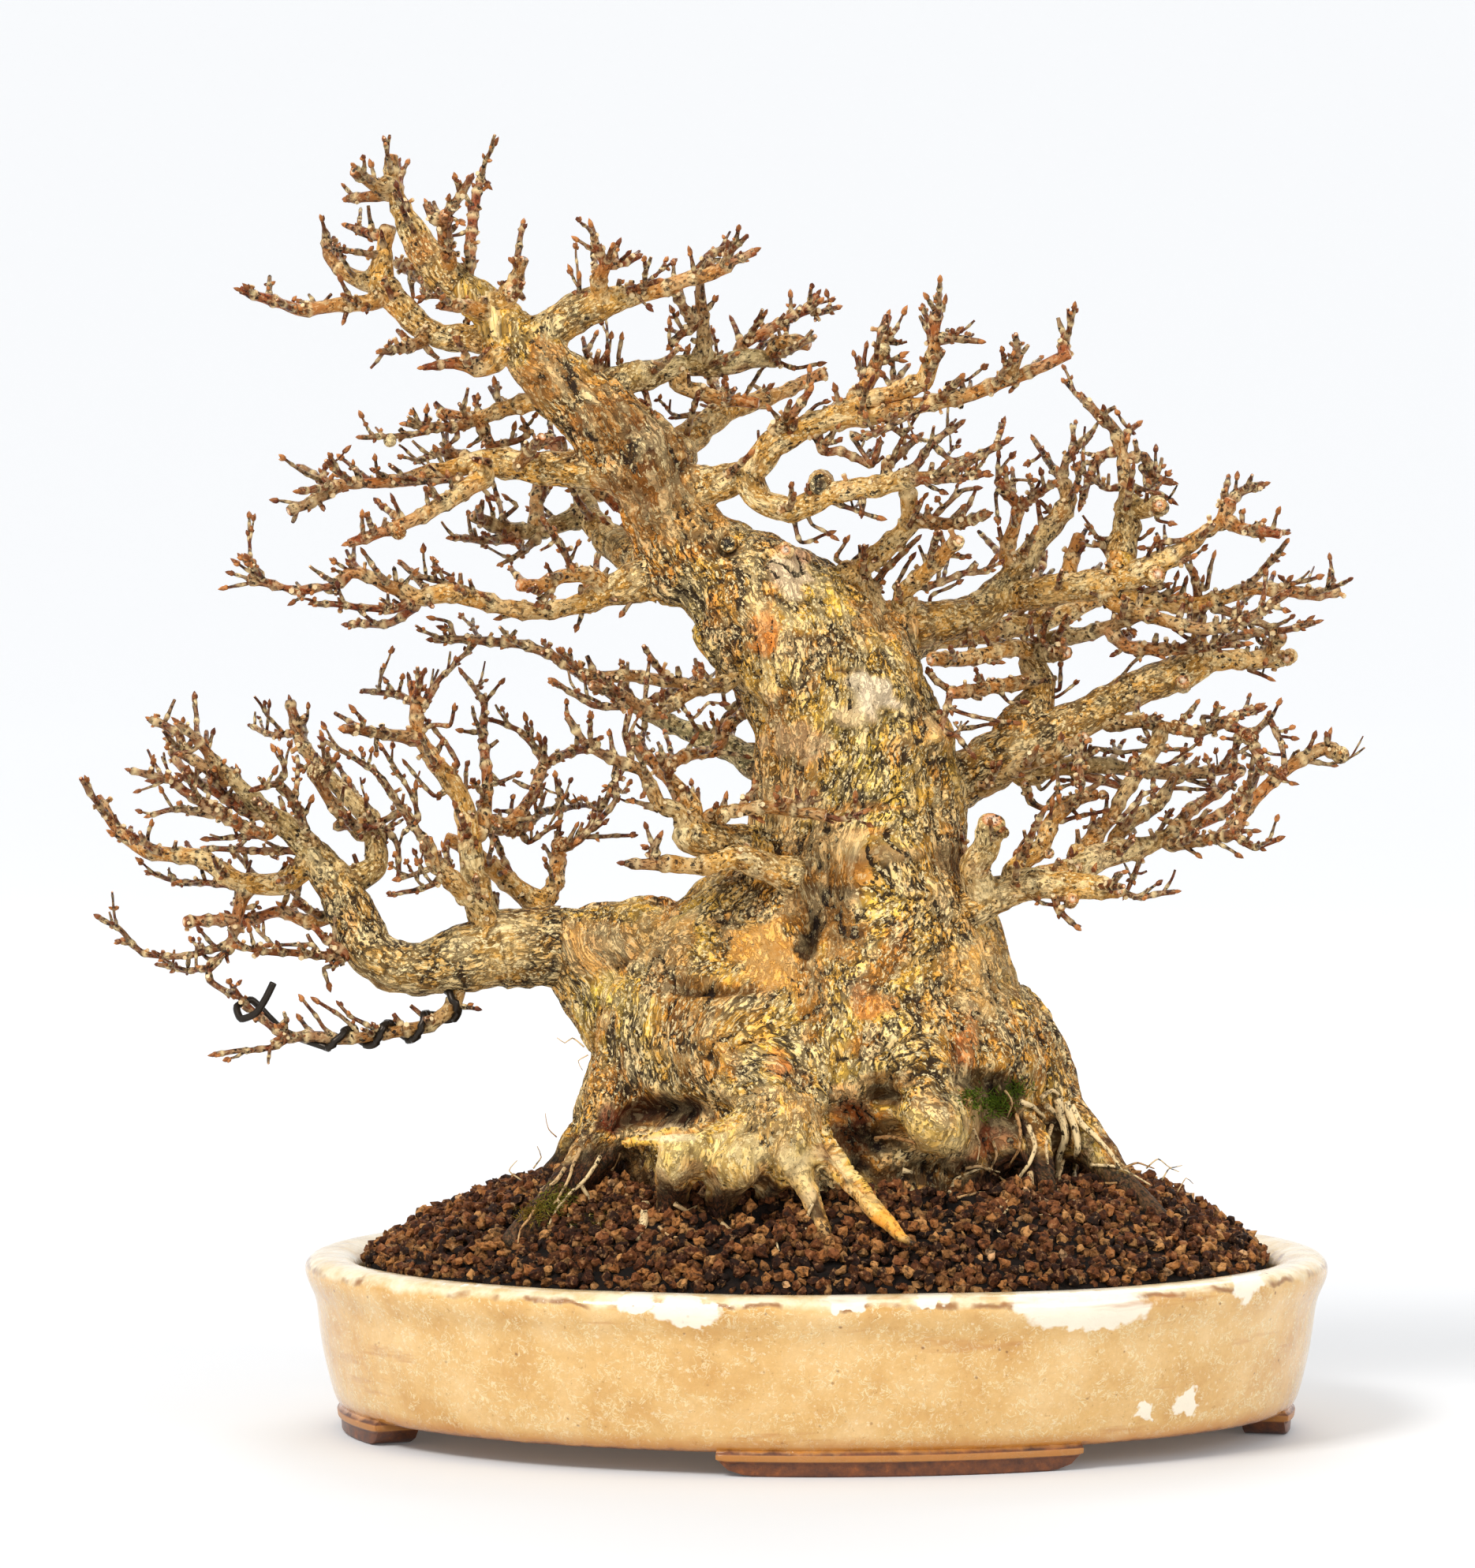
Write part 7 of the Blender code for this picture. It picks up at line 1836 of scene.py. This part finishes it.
# %% Strewing the grains
GRAIN_STEP = 2.55
ROW_GAP = 0.87         # rows of grains lie closer than the grains in a row
SHIFT = 0.8            # how far a grain may lie from its place in the row
MOST_BURIED = 0.0012   # grains deeper in the wood than this, in metres, are left out
SOIL_PAINTS = ("64381A", "7A4826", "8E582C", "3E1E0C", "A06A38", "502A12", "B6824C", "2A1406")
layers = []
for layer_number, (step, sink, share) in enumerate(((GRAIN_STEP, 0.1, 1.0), (GRAIN_STEP * 1.25, 1.5, 0.62))):
    rows = int(2 * INNER_Y / (step * ROW_GAP)) + 1
    for row in range(rows):
        y0 = -INNER_Y + row * step * ROW_GAP
        columns = int(2 * INNER_X / step) + 1
        for column in range(columns):
            x = -INNER_X + (column + 0.5 * (row % 2)) * step + grain_draw.uniform(-SHIFT, SHIFT)
            y = y0 + grain_draw.uniform(-SHIFT, SHIFT)
            size, draw = grain_draw.uniform(1.05, 1.85), grain_draw.random()
            lift_up = grain_draw.uniform(-0.5, 0.7)
            z = None if draw > share else ground(x, y)
            if z is None:
                continue
            place = Vector((x, y, z + sink + lift_up))
            world_place = POT_MIDDLE + place * MM
            near, normal, face, gap = wood_skin.find_nearest(world_place)
            buried = gap > MOST_BURIED and (world_place - near).dot(normal) < 0
            if not buried:
                # The lower layer's paint is darkened and the upper layer's lightened: painted shade between
                # the grains
                layers.append((place, size, 1.1 if layer_number else 0.6))
print(len(layers), "grains")
by_kind = [[] for kind in grain_kinds]
for grain in layers:
    by_kind[grain_draw.randrange(4)].append(grain)
soil_skin = Recipe("baked_clay_grains", 0.82)
soil_noise = soil_skin.noise(650, 4, 0.65)
soil_base = soil_skin.stain(soil_skin.painted("paint"), soil_noise, (0.38, 0.85), (0.52, 0.0), "140A04")
soil_base = soil_skin.stain(soil_base, soil_noise, (0.56, 0.0), (0.68, 0.6), "B88A5C")
soil_skin.finish(soil_base, None, soil_skin.bump(soil_noise, 0.0006, 0.9))
for kind, ((points, faces), members) in enumerate(zip(grain_kinds, by_kind)):
    turns, places, paints = [], [], []
    for place, size, shade in members:
        turn = Matrix.Rotation(grain_draw.uniform(0, 2 * pi), 3, "Z")
        turn = turn @ Matrix.Rotation(grain_draw.uniform(0, pi), 3, "X")
        sides = Matrix.Diagonal((size * grain_draw.uniform(0.85, 1.2), size, size * 0.95))
        turns.append(np.array(turn @ sides))
        places.append(tuple(place))
        pale = grain_draw.random()
        paints.append(np.array(colour("CFA070" if pale < 0.01 else grain_draw.choice(SOIL_PAINTS))) * shade)
    heap = to_frame(spread_copies(f"grains_{kind}", points, faces, turns, places, paints))
    smooth(heap, 12)
    settle(heap, "soil", soil_skin.material)

# %% [markdown]
# ## Fine roots
# Hair roots and bare feeder roots hang over the hollows and lie on the soil. Each is
# drawn as it shows from the front and laid on whatever surface is behind it: a ray
# from the eye finds the bark or the soil, and the root lies its own radius above.

# %% Laying roots on the surface
surface = look_up([trunk, soil_node])


def on_surface(x, z, lift, fallback):
    eye = POT_MIDDLE + EYE * MM
    way = (POT_MIDDLE + Vector((x, 0, z)) * MM - eye).normalized()
    hit = surface.ray_cast(eye, way)[0]
    if hit is None:
        return seen(x, z, fallback), fallback
    place = (hit - POT_MIDDLE) / MM
    return place - way * lift, place.y


WHISKERS = """
61.5 84 62.5 79 63.5 74 62 69 61.5 64 64 60 65.5 57.5 1.3; 63.5 83 65.5 77 66.5 71 65.5 65 66 59 1.1
65 82 68 77 71 74 75 70 77 66.5 .9; 58.5 82 61 80 63.5 76 .9; 52 83 55 82 58 79 .9
51 80 52 75 51 70 49 66 .6; 54 77 55.5 72 54 67 51.5 63 50 58 47.5 54 .7; 54.5 65 55 61 54.5 58 .8
34 60 36 63.5 40 65.5 44 66 47 65 .5; 38 66 42 66.5 47 64 51 61 .5; 51 62 49 58 45 55 44.5 51.5 47 49.5 .6
36 58.5 40 59.5 43.5 60 .5; 54 53.5 58 54 63 53.8 .5; 68 62.5 72 62 76.5 62.5 .7
70 67 75 66.5 80 65 85 62 .5; 78 66 82 67.5 86 66 .4; 34 52.5 37 50.5 39 47 .5
-9.5 51 -11 48.5 -12 45.5 .5; -10.5 48 -9.5 45 .4; 4 49 6 46 9 45.5 .4; -60 71 -62 66 -64 61 -67 57 .6
-55 69 -58 64 -62 60 -66 56 -68 51 .6; -50 70 -53 64 -56 58 -58 53 .5; -64 66 -67 62 -72 60 -77 58.5 .6
-70 60 -72 55 -75 51 -76 47 .5; -60 62 -57 57 -55 53 -56 49 .6; -66 58 -63 54 -62 49 .5
-74 57 -78 56 -82 53 .6; -48 60 -49 55 -51 51 .7; -43.5 56.5 -44 52 -45.5 48 1.6
-80 60 -76 61.5 -71 61 .5; -54 63 -50 61 -46 61.5 .5; -72 66 -70 69 -71 71.5 .25; -66 74 -68 76 -69 80 .2
-75 63 -78 65.5 -76 68 .25; -59 97 -62 99.5 -64 98 -66 99.5 .25; -58 95 -60.5 93.5 -59.5 91 .2
88 63 90 66 92.5 65 .25; 84 66 87 68.5 90 66.5 93 67 .25; 92 60 94 63.5 96 62 .2; 40 76 41.5 72 41 68 .5
45 73 46 69 44 65 .5; 60 77 58.5 72 59 67 .6; 57 84 60 86 62 84.5 .7; 15 73.5 20 74 25 72.5 .8
22 65.5 24.5 65 .9; -36 57 -33 55 -30 56.5 .7; -24 52 -21 50 -18 51 .6; -40 51 -37 48.5 -34 48 .5
63 68 61.5 62 62 58 .5; 48 86 50 83 49 79 .4; -1 57 -2.5 52 -1.5 48 .5
"""
whiskers = []
for number, words in enumerate(entries(WHISKERS)):
    *values, radius = map(float, words)
    depth, corners = -20.0, []
    for x, z in zip(values[::2], values[1::2]):
        corner, depth = on_surface(x, z, radius * 0.8 + 0.3, depth)
        corners.append(corner)
    steps = len(corners) - 1
    radii = [radius * (1 - 0.55 * i / steps) for i in range(steps + 1)]
    root = Branch(f"whisker_{number}", corners, radii, 1.1, 1700 + number, wobble=0.35)
    tone = blend_paint(colour("F0D4A0"), colour("A06A34"), skin.random() * (1.0 if radius < 0.9 else 0.15))
    root.paint = np.tile(np.array(tone), (len(root.points), 1))
    root.age[:] = 0.05
    root.cut = False
    whiskers.append(root)
fine_roots = to_frame(skin_branches("fine_roots", whiskers, 1))
smooth(fine_roots)
settle(fine_roots, "tree", bark.material, "tree")

# %% [markdown]
# ## Moss
# A tuft of moss is a small cushion of blades. One blade is a thin pointed leaf of a
# few faces, copied many times over each cushion, and tipped outwards.

# %% Moss tufts
deselect()
bpy.ops.mesh.primitive_cone_add(vertices=4, radius1=0.22, radius2=0.0, depth=1.0, location=(0, 0, 0.5))
blade = bpy.context.object
bpy.ops.object.transform_apply(location=True)
blade_points, blade_faces = taken_apart(blade)
moss_draw = random.Random(8)
moss_skin = Recipe("moss_blades", 0.6)
moss_noise = moss_skin.noise(500, 3, 0.6)
moss_base = moss_skin.wash(moss_skin.painted("paint"), moss_noise, 0.6, "1E240A")
moss_skin.finish(moss_base, None, moss_skin.bump(moss_noise, 0.0003, 0.6))
TUFTS = {
    "moss_right": ((45, 82.5, 6, 3.8, 260, "3E5A12", "8C9E30"), (51, 86, 4, 3, 90, "34480F", "7A8A26"),
                   (39, 84.5, 3.5, 2.2, 60, "3E5A12", "8C9E30")),
    "moss_left": ((-66, 57, 7, 4.5, 300, "5A5E1A", "A8983A"), (-58, 52, 5, 4, 160, "4E4A18", "8E7C30"),
                  (-73, 55, 5, 3, 140, "6A5E1E", "B08A34")),
}
for name, cushions in TUFTS.items():
    turns, places, paints = [], [], []
    for x0, z0, wide, high, count, dark, light in cushions:
        for number in range(count):
            x, z = x0 + moss_draw.gauss(0, 0.45) * wide, z0 + moss_draw.gauss(0, 0.45) * high
            place, depth = on_surface(x, z, 0.0, -38.0)
            way = Vector((moss_draw.gauss(0, 0.6), -0.8, moss_draw.gauss(0.35, 0.5))).normalized()
            long = moss_draw.uniform(1.2, 2.9)
            turn = way.to_track_quat("Z", "Y").to_matrix()
            turns.append(np.array(turn @ Matrix.Diagonal((0.9, 0.9, long))))
            places.append(tuple(place))
            paints.append(blend_paint(colour(dark), colour(light), moss_draw.random()))
    tuft = to_frame(spread_copies(name + "_blades", blade_points, blade_faces, turns, places, paints))
    settle(tuft, "moss", moss_skin.material, name)

# %% [markdown]
# ## Training wire
# The dark wire is wound on the thin branch under the left bough. It touches the bark
# all the way, so its path is a helix on the branch's own rings, and it ends in a loose
# turn with its free end up.

# %% Wire along the branch
wired = branches["wired"]
WIRE_RADIUS, TURNS, FIRST_ANGLE = 0.95, 3.6, radians(200)
STEPS_A_TURN = 18
wind_from = float(wired.along[-1]) * 0.12
wind_to = float(wired.along[-1]) * 0.80
wire_path = []
for number in range(int(TURNS * STEPS_A_TURN) + 1):
    share = number / (TURNS * STEPS_A_TURN)
    spot = wind_from + (wind_to - wind_from) * share
    i = int(np.searchsorted(wired.along, spot))
    middle, ahead = Vector(wired.points[i]), wired.tangent(i)
    aside = ahead.cross(Vector((0, 1, 0))).normalized()
    angle = FIRST_ANGLE - TURNS * 2 * pi * share
    out = aside * cos(angle) + ahead.cross(aside) * sin(angle)
    wire_path.append(middle + out * (float(wired.radii[i]) * 0.9 + WIRE_RADIUS))
LOOSE_TURN = ((-134.5, 100.5, -12.5), (-139, 104.5, -11.5), (-143.5, 109, -12.5), (-147.3, 107.3, -15.5),
              (-146.2, 104.2, -18.5), (-142.5, 105.6, -20), (-140, 109.3, -20), (-138, 113.3, -19.5))
wire_path.extend(seen(*corner) for corner in LOOSE_TURN)
wire = Branch("training_wire_wound", wire_path, [WIRE_RADIUS] * len(wire_path), 0.8, 1990, wobble=0.0)
wire.paint = np.tile(np.array(colour("241E1A")), (len(wire.points), 1))
wire.cut = False
print("training wire:", round(float(wire.along[-1])), "mm long")
wound = to_frame(skin_branches("training_wire_wound", [wire], 3))
smooth(wound, 50)

# %% [markdown]
# ## Finishes of the wires and netting
# The training wire is dark anodised aluminium. The tie wire, netting and clips are
# right as the frame has them and get finishes of their own.

# %% Small finishes
def plain_metal(name, chip, roughness, metallic):
    metal = Recipe(name, roughness, Metallic=metallic)
    draw_lines = metal.noise(900, 3, 0.6)
    metal.finish(metal.mix(metal.times(draw_lines, 0.5), colour(chip), colour("0E0C0B")), None,
                 metal.bump(draw_lines, 0.0001, 0.4))
    return metal.material


dark_wire = plain_metal("dark_wire", "3A332C", 0.38, 0.75)
bright_wire = plain_metal("bright_wire", "B9B7B2", 0.32, 1.0)
netting = plain_metal("black_netting", "14201A", 0.55, 0.0)
settle(wound, "training_wire", dark_wire, "training_wire")
for material, kept_nodes in ((bright_wire, ("tie_down_wire", "mesh_clip_left", "mesh_clip_right")),
                             (netting, ("drain_mesh_left", "drain_mesh_right"))):
    for node in kept_nodes:
        nodes[node].data.materials.clear()
        nodes[node].data.materials.append(material)
